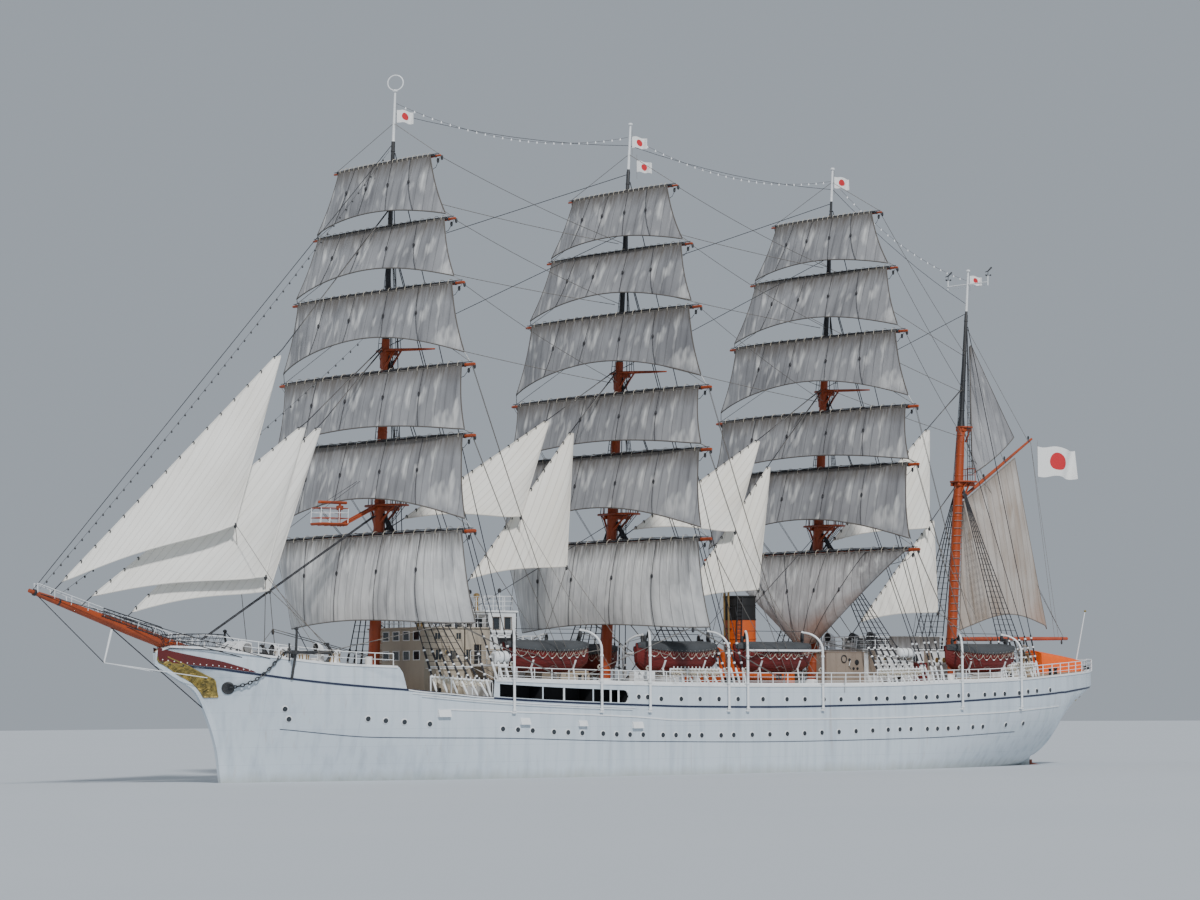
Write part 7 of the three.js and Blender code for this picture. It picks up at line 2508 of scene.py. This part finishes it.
def build_lookout():
    shape, mast = Shape(), MASTS["fore"]
    for y in (-ARM_HALF, ARM_HALF):
        for down in (0.0, ARM_DEEP):
            on_mast(shape, mast, tube([arm_at(0, y, down), arm_at(1, y, down)], 0.05, 8), ORANGE)
    for t in np.linspace(0.06, 0.96, 12):
        x, _, z = arm_at(t, 0, ARM_DEEP / 2)
        on_mast(shape, mast, block((x - 0.04, -0.2, z - 0.02), (x + 0.04, 0.2, z + 0.03), 0.01), ORANGE)
    for t in np.linspace(0.0, 0.9, 7):
        for y in (-ARM_HALF, ARM_HALF):
            on_mast(shape, mast, tube([arm_at(t, y, ARM_DEEP), arm_at(t + 0.1, y)], 0.02, 5), ORANGE)
    near, far, half, floor = LOOKOUT_NEAR, LOOKOUT_FAR, LOOKOUT_HALF, LOOKOUT_FLOOR
    for y in np.linspace(-half + 0.05, half - 0.05, 8):
        on_mast(shape, mast, block((near, y - 0.03, floor + 0.04),
                                   (far, y + 0.03, floor + 0.12), 0.01), ORANGE)
    for x in np.linspace(near + 0.05, far - 0.05, 5):
        on_mast(shape, mast, block((x - 0.04, -half, floor), (x + 0.04, half, floor + 0.06), 0.01), ORANGE)
    ring = [(near, half), (far, half), (far, -half), (near, -half), (near, half)]
    for lift, radius, material in LOOKOUT_RINGS:
        on_mast(shape, mast, tube([(x, y, floor + lift) for x, y in ring], radius, 6), material)
    for x in (near, 3.73, 4.47, far):
        for y in (-half, half):
            on_mast(shape, mast, tube([(x, y, floor + 0.1), (x, y, floor + LOOKOUT_RAIL)], 0.025, 6), WHITE)
    collar = [(0, 0.2), (0.12, 0.24), (0.28, 0.24), (0.32, 0.1)]
    on_mast(shape, mast, tube([(CANOPY_POST, 0, floor), (CANOPY_POST, 0, CANOPY_Z)], 0.08, 10), ORANGE)
    on_mast(shape, mast, lathe(collar, (CANOPY_POST, 0, CANOPY_Z - 0.4), sides=12), ORANGE)
    on_mast(shape, mast, block((2.75, -0.12, CANOPY_Z), (5.05, 0.12, CANOPY_Z + 0.19), 0.05), ORANGE)
    on_mast(shape, mast, block((2.8, -0.14, CANOPY_Z + 0.05), (5.0, -0.11, CANOPY_Z + 0.15), 0.01), WHITE)
    for y in (half - 0.05, 0.05 - half):
        on_mast(shape, mast, tube([(0.4, 0, LOOKOUT_WIRE_Z), (far - 0.3, y, floor + 1.15)], 0.015, 4), WIRE)
    shape.piece("lookout_basket", slot="spar_paint", replaces=["lookout"])


def hatch(shape, fore, aft, half, top, middle=0.0):
    """Coaming with its planked cover under battens."""
    foot = deck_z((fore + aft) / 2) - 0.05
    shape.add(*block((aft, middle - half, foot), (fore, middle + half, top - 0.12)), BEIGE)
    for x in np.arange(aft + 0.12, fore - 0.1, 0.42):
        shape.add(*block((x, middle - half - 0.03, top - 0.12),
                         (min(x + 0.4, fore), middle + half + 0.03, top), 0.02), DECK)
    for y in (-0.6, 0.0, 0.6):
        shape.add(*block((aft, middle + y * half - 0.05, top),
                         (fore, middle + y * half + 0.05, top + 0.04), 0.01), STEEL)
    for x in np.arange(aft + 0.3, fore, 0.6):
        for side in (PORT, STARBOARD):
            shape.add(*block((x - 0.04, middle + side * half, top - 0.3),
                             (x + 0.04, middle + side * (half + 0.07), top - 0.15), 0.01), STEEL)


def skylight(shape, fore, aft, half, top):
    """Coaming with two sloping rows of panes under brass guard rods."""
    foot = deck_z((fore + aft) / 2) - 0.05
    eave = top - 0.45
    shape.add(*block((aft, -half, foot), (fore, half, eave)), WHITE)
    ends = [(half, eave), (0.06, top), (-0.06, top), (-half, eave)]
    rings = [[(x, y * 0.98, z) for y, z in ends] for x in (aft + 0.04, fore - 0.04)]
    shape.add(*skin(rings), BEIGE)
    for side in (PORT, STARBOARD):
        normal = np.array((0, side * (top - eave), half - 0.06))
        normal /= np.linalg.norm(normal)
        for x in np.arange(aft + 0.25, fore - 0.4, 0.62):
            corners = []
            for t, xx in ((0.15, x), (0.85, x), (0.85, x + 0.44), (0.15, x + 0.44)):
                y = side * (half * 0.96 + (0.06 - half) * t)
                corners.append(np.array((xx, y, eave + 0.01 + (top - eave) * t)))
            outer = [c + normal * 0.035 for c in corners]
            shape.add(*skin([corners, outer]), GLASS)
            for t in (0.3, 0.5, 0.7):
                y = side * (half * 0.96 + (0.06 - half) * t)
                a = np.array((x - 0.04, y, eave + (top - eave) * t)) + normal * 0.07
                shape.add(*tube([a, a + (0.52, 0, 0)], 0.012, 4), BRONZE)


def bitts(shape, x, y, z, gap, post, sides=12):
    """Pair of posts that mooring lines are made fast to, one gap ahead of x and one gap behind."""
    for dx in (-gap, gap):
        shape.add(*lathe(post, (x + dx, y, z), sides=sides), BLACK)


def windlass(shape):
    foot = deck_z(WINDLASS_X)
    for y in CHEEK_YS:
        outline = [(37.25, foot), (37.35, 8.95), (38.1, 9.1), (38.75, 8.7), (38.9, foot)]
        rings = [[(x, y + d, z) for x, z in outline] for d in (-0.07, 0.07)]
        shape.add(*skin(rings), WHITE)
    for x, z, radius in DRUMS:
        profile = []
        for k in range(17):
            y = -0.88 + 1.76 * k / 16
            near = min(abs(y - c) for c in (-0.36, 0.36))
            profile.append((y, radius * (1.15 if near < 0.1 else 0.7 if near < 0.22 else 0.9)))
        shape.add(*lathe(profile, (x, 0, z), (0, 1, 0), 16), BLACK)
    for side in (PORT, STARBOARD):
        drum_x, drum_z, _ = DRUMS[0]
        warping_end = [(0.72, 0.18), (0.78, 0.34), (0.84, 0.22), (0.92, 0.2), (0.96, 0.3)]
        shape.add(*lathe(warping_end, (drum_x, 0, drum_z), (0, side, 0), 16), STEEL)
        cable = [(WINDLASS_X, side * 0.36, 8.95), (39.2, side * 0.6, foot + 0.12),
                 (40.1, side * 0.75, deck_z(40.1) + 0.1)]
        chain(shape, cable, 0.05)
        shape.add(*lathe([(0, 0.24), (0.06, 0.26), (0.12, 0.2)],
                         (40.2, side * 0.78, deck_z(40.2) + 0.02), sides=12), STEEL)
        for x in FORE_BITTS:
            y = deck_half(x) - 0.65
            shape.add(*block((x - 0.5, side * (y - 0.15), deck_z(x)),
                             (x + 0.5, side * (y + 0.15), deck_z(x) + 0.1)), BLACK)
            bitts(shape, x, side * y, deck_z(x) + 0.08, 0.28, FORE_BITT)


def chain(shape, path, radius=0.04, material=None):
    """Stud links, each turned a quarter against the one before."""
    path = np.array(path, float)
    lengths = np.concatenate([[0], np.cumsum(np.linalg.norm(np.diff(path, axis=0), axis=1))])
    pitch = radius * 4.4
    count = max(2, int(lengths[-1] / pitch))
    for k in range(count):
        at, ahead = [np.array([np.interp(d, lengths, path[:, j]) for j in range(3)])
                     for d in ((k + 0.5) * lengths[-1] / count,
                               min(lengths[-1], (k + 1.0) * lengths[-1] / count))]
        along = (ahead - at) / (np.linalg.norm(ahead - at) + 1e-9)
        across = np.cross(along, (0.3, 0.9, 0.2) if k % 2 else (0.1, -0.3, 0.95))
        across /= np.linalg.norm(across)
        loop = [at + along * radius * 2.9 * math.cos(a) + across * radius * 1.6 * math.sin(a)
                for a in np.linspace(0, math.tau, 9)]
        shape.add(*tube(loop, radius * 0.72, 5, capped=False), material or BLACK)


def capstan(shape, x, y):
    foot = deck_z(x) - 0.02
    profile = [(0, 0.44), (0.12, 0.44), (0.14, 0.38), (0.22, 0.34), (0.34, 0.29), (0.62, 0.3), (0.74, 0.36),
               (0.78, 0.42), (0.96, 0.42), (1.02, 0.3)]
    shape.add(*lathe(profile, (x, y, foot), sides=20), WHITE)
    for k in range(8):
        a = math.tau * k / 8
        out = np.array((math.cos(a), math.sin(a), 0))
        at = np.array((x, y, foot))
        whelp = [at + out * reach + (0, 0, up) for reach, up in ((0.36, 0.2), (0.32, 0.45), (0.37, 0.74))]
        shape.add(*tube(whelp, 0.035, 5), BRONZE)
        # near-black patches on the drumhead: painted shade of the bar holes
        shape.add(*block(at + out * 0.4 + (-0.05, -0.05, 0.82),
                         at + out * 0.4 + (0.05, 0.05, 0.91), 0.01), PAINTED_SHADE)


def lockers(shape, side):
    fore, aft, inner, outer, top = LOCKER_FORE, LOCKER_AFT, LOCKER_INNER, LOCKER_OUTER, LOCKER_TOP
    foot = deck_z(-13) - 0.02
    shape.add(*block((aft, side * inner, foot), (fore, side * outer, top), 0.04), TAUPE)
    shape.add(*block((aft - 0.04, side * (inner - 0.04), top - 0.03),
                     (fore + 0.04, side * (outer + 0.04), top + 0.05), 0.02), TAUPE)
    for x in np.linspace(aft + 0.95, fore - 0.95, 3):
        shape.add(*block((x - 0.02, side * (outer - 0.02), foot + 0.1),
                         (x + 0.02, side * (outer + 0.02), top - 0.05), 0.006), TAUPE)
    ring = [(-12.82 + 0.26 * math.sin(a), side * (outer + 0.05), 8.03 + 0.26 * math.cos(a))
            for a in np.linspace(0, math.tau, 21)]
    shape.add(*tube(ring, 0.035, 6), BLACK)
    # near-black discs: painted shade of the locker's holes
    for x, z, radius in LOCKER_PLATES:
        shape.add(*lathe([(0, radius), (0.04, radius), (0.06, radius * 0.8)], (x, side * outer, z),
                         (0, side, 0), 16), PAINTED_SHADE)
    handle = [(x, side * (outer + 0.06), z) for x, z in ((-13.45, 7.9), (-13.3, 7.55), (-13.55, 7.3))]
    shape.add(*tube(handle, 0.03, 5), STEEL)


def build_deck_gear():
    shape = Shape()
    windlass(shape)
    hatch(shape, *HATCH)
    for row in SKYLIGHTS:
        skylight(shape, *row)
    for x, y in CAPSTANS:
        capstan(shape, x, y)
    for side in (PORT, STARBOARD):
        lockers(shape, side)
        box_foot = deck_z(8.0) + 0.01
        for aft, fore in DECK_BOXES:
            shape.add(*block((aft, side * BOX_INNER, box_foot), (fore, side * BOX_OUTER, BOX_TOP)), WHITE)
        for x in (7.5, 8.5):
            shape.add(*block((x - 0.07, side * (BOX_OUTER - 0.01), BOX_TOP - 0.22),
                             (x + 0.07, side * (BOX_OUTER + 0.03), BOX_TOP - 0.09), 0.01), STEEL)
        for x in SINGLE_BITTS:
            shape.add(*lathe(SINGLE_BITT, (x, side * (deck_half(x) - 0.6), deck_z(x)), sides=12), BLACK)
        for x in SIDE_BITTS:
            y = deck_half(x) - 0.7
            bitts(shape, x, side * y, deck_z(x), 0.25, SIDE_BITT)
            shape.add(*block((x - 0.45, side * (y - 0.16), deck_z(x) - 0.01),
                             (x + 0.45, side * (y + 0.16), deck_z(x) + 0.08)), BLACK)
        shape.add(*lathe([(0, 0.24), (0.5, 0.24), (0.52, 0.26), (0.6, 0.26)],
                         (29.6, side * 3.0, deck_z(29.6)), sides=14), WHITE)
        for x, y, height, radius in DECK_COWLS:
            cowl(shape, x, side * y, deck_z(x), height, radius, 1)
        tub = [(0, 0.28), (0.05, 0.3), (0.55, 0.27), (0.6, 0.3)]
        for x, material in ((25.7, BRONZE), (27.3, WHITE)):
            shape.add(*lathe(tub, (x, side * 3.9, WELL_DECK + 0.01), sides=14), material)
    # steering wheel on its shaft, ahead of the cover
    rim = [(HELM_X, HELM_RIM * math.sin(a), HELM_Z + HELM_RIM * math.cos(a))
           for a in np.linspace(0, math.tau, 25)]
    shape.add(*tube(rim, 0.045, 6), DECK)
    for k in range(HELM_SPOKES):
        a = math.tau * k / HELM_SPOKES
        spoke = [(HELM_X, 0, HELM_Z), (HELM_X, HELM_REACH * math.sin(a), HELM_Z + HELM_REACH * math.cos(a))]
        shape.add(*tube(spoke, (0.04, 0.025), 6), DECK)
    shape.add(*tube([(HELM_X + 0.25, 0, HELM_Z), (HELM_X - 0.75, 0, HELM_Z)], 0.09, 10), BRONZE)
    shape.add(*block((-37.0, -0.35, deck_z(-36.7)), (-36.5, 0.35, 8.45)), DECK)
    shape.piece("deck_gear", slot="house_paint", replaces=["hull"])


def build_anchor_gear():
    shape = Shape()
    for side in (PORT, STARBOARD):
        at, out = on_hull(HAWSE_X, HAWSE_Z, side), hull_normal(HAWSE_X, HAWSE_Z, side)
        shape.add(*lathe([(-0.06, 0.42), (0.06, 0.42), (0.1, 0.36), (0.05, 0.27)], at, out, 18), BLACK)
        ring_at = np.array((RING_X, side * (deck_half(RING_X) + 0.02), deck_z(RING_X) + 0.28))
        slack = []
        for t in np.linspace(0, 1, 10):
            p = at + (ring_at - at) * t
            base = on_hull(float(p[0]), min(float(p[2]), deck_z(p[0]) - 0.05), side)
            slack.append((p[0], base[1] + side * 0.09, p[2] - 0.5 * math.sin(math.pi * t)))
        chain(shape, slack, 0.055)
        loop = [ring_at + (0.3 * math.sin(a), 0, 0.3 * math.cos(a)) for a in np.linspace(0, math.tau, 19)]
        shape.add(*tube(loop, 0.055, 8), WHITE)
        # anchor davit, its anchor lashed along the rail
        low = on_hull(CATHEAD_X - 0.2, 6.62, side)
        post = [low + (0, side * 0.08, 0), (CATHEAD_X, side * 3.75, ANCHOR_Z),
                (CATHEAD_X + 0.1, side * 3.98, 9.5),
                (CATHEAD_X + 0.1, side * 3.95, 9.8)]
        shape.add(*tube(post, (0.09, 0.09, 0.08, 0.07), 10), BLACK)
        shape.add(*lathe([(-0.1, 0.05), (-0.05, 0.14), (0.05, 0.14), (0.12, 0.04)],
                         post[-1], sides=10), BLACK)
        shape.add(*lathe([(-0.12, 0.16), (-0.08, 0.2), (0.08, 0.2), (0.12, 0.16)], post[1], sides=12), BLACK)
        y = deck_half(34.6) + 0.05
        shank = [(CATHEAD_X + 0.3, side * (y - 0.45), ANCHOR_Z + 0.02), (33.1, side * (y + 0.12), ANCHOR_Z)]
        shape.add(*tube(shank, (0.09, 0.12), 8), BLACK)
        arms = [(32.95 + 0.5 * abs(math.sin(a)), side * (y + 0.1), ANCHOR_Z + 0.62 * math.sin(a))
                for a in np.linspace(-1.2, 1.2, 9)]
        shape.add(*tube(arms, 0.09, 8), BLACK)
        for palm in (arms[0], arms[-1]):
            shape.add(*block(np.array(palm) - (0.16, 0.12, 0.06),
                             np.array(palm) + (0.16, 0.12, 0.06), 0.03), BLACK)
        shape.add(*tube([(CATHEAD_X, side * (y - 0.42), z) for z in (7.75, 8.9)], 0.06, 8), BLACK)
        fall = [post[-1], (34.9, side * (y + 0.05), 8.42)]
        shape.add(*tube(fall, 0.03, 5), WIRE)
    shape.piece("anchor_gear", slot="hull_paint")


def stem_x(z):
    """Foremost x at which the bow still has some breadth at this height."""
    xs = np.arange(36.0, 44.25, 0.05)
    return float(xs[hull_half(xs, np.full_like(xs, z)) > 0.12].max())


def near_bow(x, z, side, proud):
    """Point on the bow's planking, held behind the stem, and lifted by proud."""
    return off_hull(min(x, stem_x(z) - 0.04), z, side, proud)


def scroll(shape, side, x, z, radius, turns, start, width=0.07):
    """Carved curl that lies on the planking and winds in to its middle."""
    line, radii = [], []
    for t in np.linspace(0, 1, 22):
        angle = start + turns * math.tau * t
        reach = radius * (1 - 0.85 * t)
        cx, cz = x + reach * math.cos(angle), z + reach * math.sin(angle)
        line.append(near_bow(cx, cz, side, 0.03))
        radii.append(width * (1 - 0.5 * t))
    shape.add(*tube(line, radii, 6), GOLD)


def bow_ornament():
    """Gilded scrollwork under the bowsprit, the dark red board above it and the netting of the heel."""
    shape = Shape()
    for side in (PORT, STARBOARD):
        grid = []
        for z in np.linspace(ORNAMENT_LOW, ORNAMENT_HIGH, 17):
            fore, aft = stem_x(z) - 0.04, float(np.interp(z, ORNAMENT_EDGE[:, 0], ORNAMENT_EDGE[:, 1]))
            grid.append([near_bow(x, z, side, 0.025) for x in np.linspace(max(fore, aft + 0.05), aft, 9)])
        points = np.array(grid)
        shape.add(points.reshape(-1, 3), [face[::-side] for face in grid_faces(17, 9)], GOLD)
        for x, z, radius, turns, start in SCROLLS:
            scroll(shape, side, x, z, radius, turns, start)
        for column in (0, -1):
            shape.add(*tube(points[:, column], 0.05, 6), GOLD)
        shape.add(*tube(points[0], 0.05, 6), GOLD)
        # dark red board along the head of the stem, with its row of white studs
        rows = []
        for t in np.linspace(0, 1, 17):
            x = BOARD_FORE - BOARD_LENGTH * t
            low = float(line_z(x)) + 0.1
            tall = BOARD_TALL * (1 - t) ** 0.7 + 0.03
            rows.append([off_hull(x, low + tall * s, side, 0.035) for s in (0, 0.35, 0.7, 1)])
            if 0.05 < t < 0.95:
                stud = off_hull(x, low + 0.1, side, 0.03)
                shape.add(*lathe([(0, 0.04), (0.03, 0.04), (0.045, 0.02)], stud,
                                 hull_normal(x, low + 0.1, side), 8), WHITE)
        shape.add(np.array(rows).reshape(-1, 3), [face[::side] for face in grid_faces(17, 4)], MAROON)
    shape.piece("bow_ornament", slot="hull_paint")

    net = Shape()
    along = BOWSPRIT_TIP - BOWSPRIT_HEEL
    for side in (PORT, STARBOARD):
        heads, feet = [], []
        for t in np.linspace(0, 1, 22):
            share = 0.62 - 0.62 * t
            axis = BOWSPRIT_HEEL + along * share
            foot = axis + (0, side * float(np.interp(share, (0, 1), (0.41, 0.18))), -0.05)
            x = float(foot[0])
            if x < 44.0:
                foot = on_hull(x, deck_z(x) - 0.15, side) + (0, side * 0.04, 0)
            rise = 0.62 + 0.42 * t
            spread = 0.42 * (1 - t) + 0.28
            heads.append(foot + (0, side * spread * 0.45, rise))
            feet.append(foot)
        for share in (0.0, 0.25, 0.5, 0.75, 1.0):
            net.add(*tube([f + (h - f) * share for f, h in zip(feet, heads)],
                          0.022 if share < 1 else 0.035, 4), WIRE)
        for k in range(21):
            net.add(*tube([feet[k], heads[k + 1]], 0.014, 3), WIRE)
            net.add(*tube([feet[k + 1], heads[k]], 0.014, 3), WIRE)
    net.piece("bowsprit_net", slot="wire")


def build_stern():
    shape = Shape()
    for side in (PORT, STARBOARD):
        for x in STERN_BITTS:
            z = deck_z(x)
            y = max(0.3, float(hull_half(x, z)) - 0.35)
            shape.add(*block((x - 0.3, side * (y - 0.12), z), (x + 0.3, side * (y + 0.12), z + 0.1)), WHITE)
            bitts(shape, x, side * y, z + 0.08, 0.15, STERN_BITT, 10)
        for x, z in STUDS:
            shape.add(*lathe([(0, 0.09), (0.04, 0.08)], on_hull(x, z, side),
                             hull_normal(x, z, side), 8), GOLD)
    staff = [(STAFF_X, 0, deck_z(STAFF_X)), STAFF_HEAD]
    shape.add(*tube(staff, (0.06, 0.035), 8), WHITE)
    shape.add(*lathe([(0, 0.04), (0.05, 0.1), (0.12, 0.1), (0.17, 0.03)], staff[1],
                     (-0.35, 0, 0.93), 10), GOLD)
    # overboard discharges and scupper hoods on the sides
    for side in (PORT, STARBOARD):
        for x, z, wide, tall in HOODS:
            rows = []
            for dx in (-wide / 2, wide / 2):
                top = on_hull(x + dx, z + tall, side)
                low = on_hull(x + dx, z, side)
                rows.append([top - (0, side * 0.05, 0), top + (0, side * 0.1, -0.03),
                             low + (0, side * 0.24, 0), low - (0, side * 0.05, 0)])
            shape.add(*skin(rows), WHITE)
        lines = [on_hull(x, float(line_z(x)) - 0.32, side) + (0, side * 0.09, 0)
                 for x in np.arange(9.8, 27.4, 0.55)]
        shape.add(*tube(lines, 0.025, 5), WHITE)
        for at in lines[::3]:
            shape.add(*tube([at, at - (0, side * 0.12, 0)], 0.02, 5), WHITE)
        ladder_at = on_hull(-10.4, 5.6, side) + (0, side * 0.06, 0)
        shape.add(*tube([ladder_at + (0, 0, 1.0), ladder_at], 0.03, 5), STEEL)
    shape.piece("hull_fittings", slot="white_paint")


def build_underwater():
    shape = Shape()
    x, y, z = PROPELLER_AT
    for side in (PORT, STARBOARD):
        line = [(SHAFT_START, side * y, z), (SHAFT_START - 6, side * y, z), (x + 0.42, side * y, z)]
        shape.add(*tube(line, (0.22, 0.22, 0.24), 18), ANTIFOUL)
        shape.add(*lathe([(-0.2, 0.26), (-0.15, 0.3), (0.15, 0.3), (0.2, 0.26)], (x + 0.9, side * y, z),
                         (1, 0, 0), 18), ANTIFOUL)
        for end in ((x + 1.1, side * 1.1, 0.6), (x + 1.1, 0.0, z - 0.5)):
            start, end = np.array((x + 0.9, side * y, z)), np.array(end)
            rings = []
            for t in np.linspace(0, 1, 5):
                at = start + (end - start) * t
                reach = 0.2 + 0.06 * t
                across = np.cross(end - start, (1, 0, 0))
                across /= np.linalg.norm(across)
                rings.append([at + np.array((reach * c, 0, 0)) + across * 0.08 * s
                              for c, s in ((1, 0), (0.5, 0.8), (-0.2, 1), (-1, 0), (-0.2, -1), (0.5, -0.8))])
            shape.add(*skin(rings), ANTIFOUL)
        for ax in BILGE_KEELS:
            places = np.linspace(ax - BILGE_HALF, ax + BILGE_HALF, 13)
            bilge = [off_hull(place, BILGE_Z, side, 0.06) for place in places]
            shape.add(*tube(bilge, 0.05, 4), ANTIFOUL)
        for ax, az in SEA_INLETS:
            at, out = on_hull(ax, az, side), hull_normal(ax, az, side)
            shape.add(*lathe([(0, 0.16), (0.03, 0.15), (0.05, 0.1)], at, out, 10), STEEL)
    shape.piece("shaft_brackets", slot="antifouling", replaces=["hull"])

    for word, side in SIDES:
        prop = Shape()
        at = np.array((x, side * y, z))
        boss = [(-0.68, 0.02), (-0.64, 0.09), (-0.55, 0.15), (-0.4, 0.2),
                (-0.2, BOSS_RADIUS), (0.35, BOSS_RADIUS)]
        prop.add(*lathe(boss, at, (1, 0, 0), 24), BRONZE)
        for k in range(BLADE_COUNT):
            turn = math.tau * k / BLADE_COUNT
            rings = []
            for reach, chord, thick, pitch in BLADE:
                angle = math.radians(pitch) * side
                along = np.array((math.sin(angle), math.cos(angle), 0)) * chord * PROPELLER_RADIUS / 2
                through = np.array((math.cos(angle), -math.sin(angle), 0)) * thick * PROPELLER_RADIUS / 2
                middle = np.array((0, 0, reach * PROPELLER_RADIUS))
                rings.append([middle + along * math.cos(a) + through * math.sin(a)
                              for a in np.linspace(0, math.tau, 12, endpoint=False)])
            tip = rings[-1]
            centre = np.mean(tip, axis=0) + (0, 0, 0.02)
            rings.append([centre + (p - centre) * 0.35 for p in tip])
            rings = np.array(rings)
            c, s = math.cos(turn), math.sin(turn)
            turned = rings @ np.array(((1, 0, 0), (0, c, -s), (0, s, c))).T
            prop.add(*skin(turned + at), BRONZE)
        for k in range(BLADE_COUNT):
            a = math.tau * (k + 0.5) / BLADE_COUNT
            out = np.array((0, math.sin(a), math.cos(a)))
            prop.add(*lathe([(0.2, 0.04), (0.27, 0.04), (0.28, 0.02)], at + (0.1, 0, 0), out, 6), BRONZE)
        prop.piece(f"screw_{word}", f"propeller_{word}", "bronze", [f"propeller_{word}"])

    blade = Shape()
    chord, low, high = RUDDER_CHORD, RUDDER_BOTTOM, RUDDER_TOP
    steps = np.linspace(0.15, 1, 7)
    outline = [(0, low), (-chord * 0.75, low + 0.25)]
    outline += [(bend(-chord * 0.75, -chord, -chord, t), bend(low + 0.25, low + 0.6, low + 1.6, t))
                for t in steps]
    outline.append((-chord * 0.9, high - 1.6))
    outline += [(bend(-chord * 0.9, -chord * 0.8, 0, t), bend(high - 1.6, high - 0.35, high - 0.25, t))
                for t in steps]
    rings = []
    mx, mz = RUDDER_MIDDLE
    for d, shrink in ((-1.0, 0.9), (-0.9, 0.97), (-0.55, 1.0), (0.55, 1.0), (0.9, 0.97), (1.0, 0.9)):
        rings.append([(RUDDER_X + mx + (px - mx) * shrink, RUDDER_HALF * d, mz + (pz - mz) * shrink)
                      for px, pz in outline])
    blade.add(*skin(rings), ANTIFOUL)
    blade.add(*tube([(RUDDER_X, 0, RUDDER_BOTTOM + 0.02), (RUDDER_X, 0, RUDDER_TOP)], 0.17, 20), ANTIFOUL)
    for height in RUDDER_STRAPS:
        for side in (PORT, STARBOARD):
            blade.add(*block((RUDDER_X - 1.6, side * 0.1, height - 0.07),
                             (RUDDER_X + 0.1, side * (RUDDER_HALF + 0.03), height + 0.07), 0.015), ANTIFOUL)
    blade.piece("rudder_blade", "rudder", "antifouling", ["rudder"])


build_lookout()
build_deck_gear()
build_anchor_gear()
bow_ornament()
build_stern()
build_underwater()


# Stage

def stage():
    reach = 60.0
    mesh = bpy.data.meshes.new("floor")
    corners = [(-reach, -reach, 0), (reach, -reach, 0), (reach, reach, 0), (-reach, reach, 0)]
    mesh.from_pydata(corners, [], [(0, 1, 2, 3)])
    n = Nodes("floor_paint")
    mesh.materials.append(n.finish(n.mix(n.noise(0.4), (0.52, 0.56, 0.6), (0.56, 0.59, 0.62)), 0.9))
    floor = bpy.data.objects.new("floor", mesh)
    bpy.context.scene.collection.objects.link(floor)

    world = bpy.data.worlds.new("world")
    world.use_nodes = True
    background = world.node_tree.nodes["Background"]
    background.inputs["Color"].default_value = (0.72, 0.8, 0.9, 1)
    background.inputs["Strength"].default_value = 0.5
    bpy.context.scene.world = world
    # name, towards the light, energy, angle of its edge
    for name, towards, energy, soft in (("key", (0.35, 0.8, 0.75), 2.9, 5),
                                        ("fill", (0.9, -0.3, 0.5), 0.3, 40)):
        light = bpy.data.lights.new(name, "SUN")
        light.energy, light.angle = energy, math.radians(soft)
        lamp = bpy.data.objects.new(name, light)
        lamp.rotation_euler = Vector(towards).to_track_quat("Z", "Y").to_euler()
        bpy.context.scene.collection.objects.link(lamp)


stage()
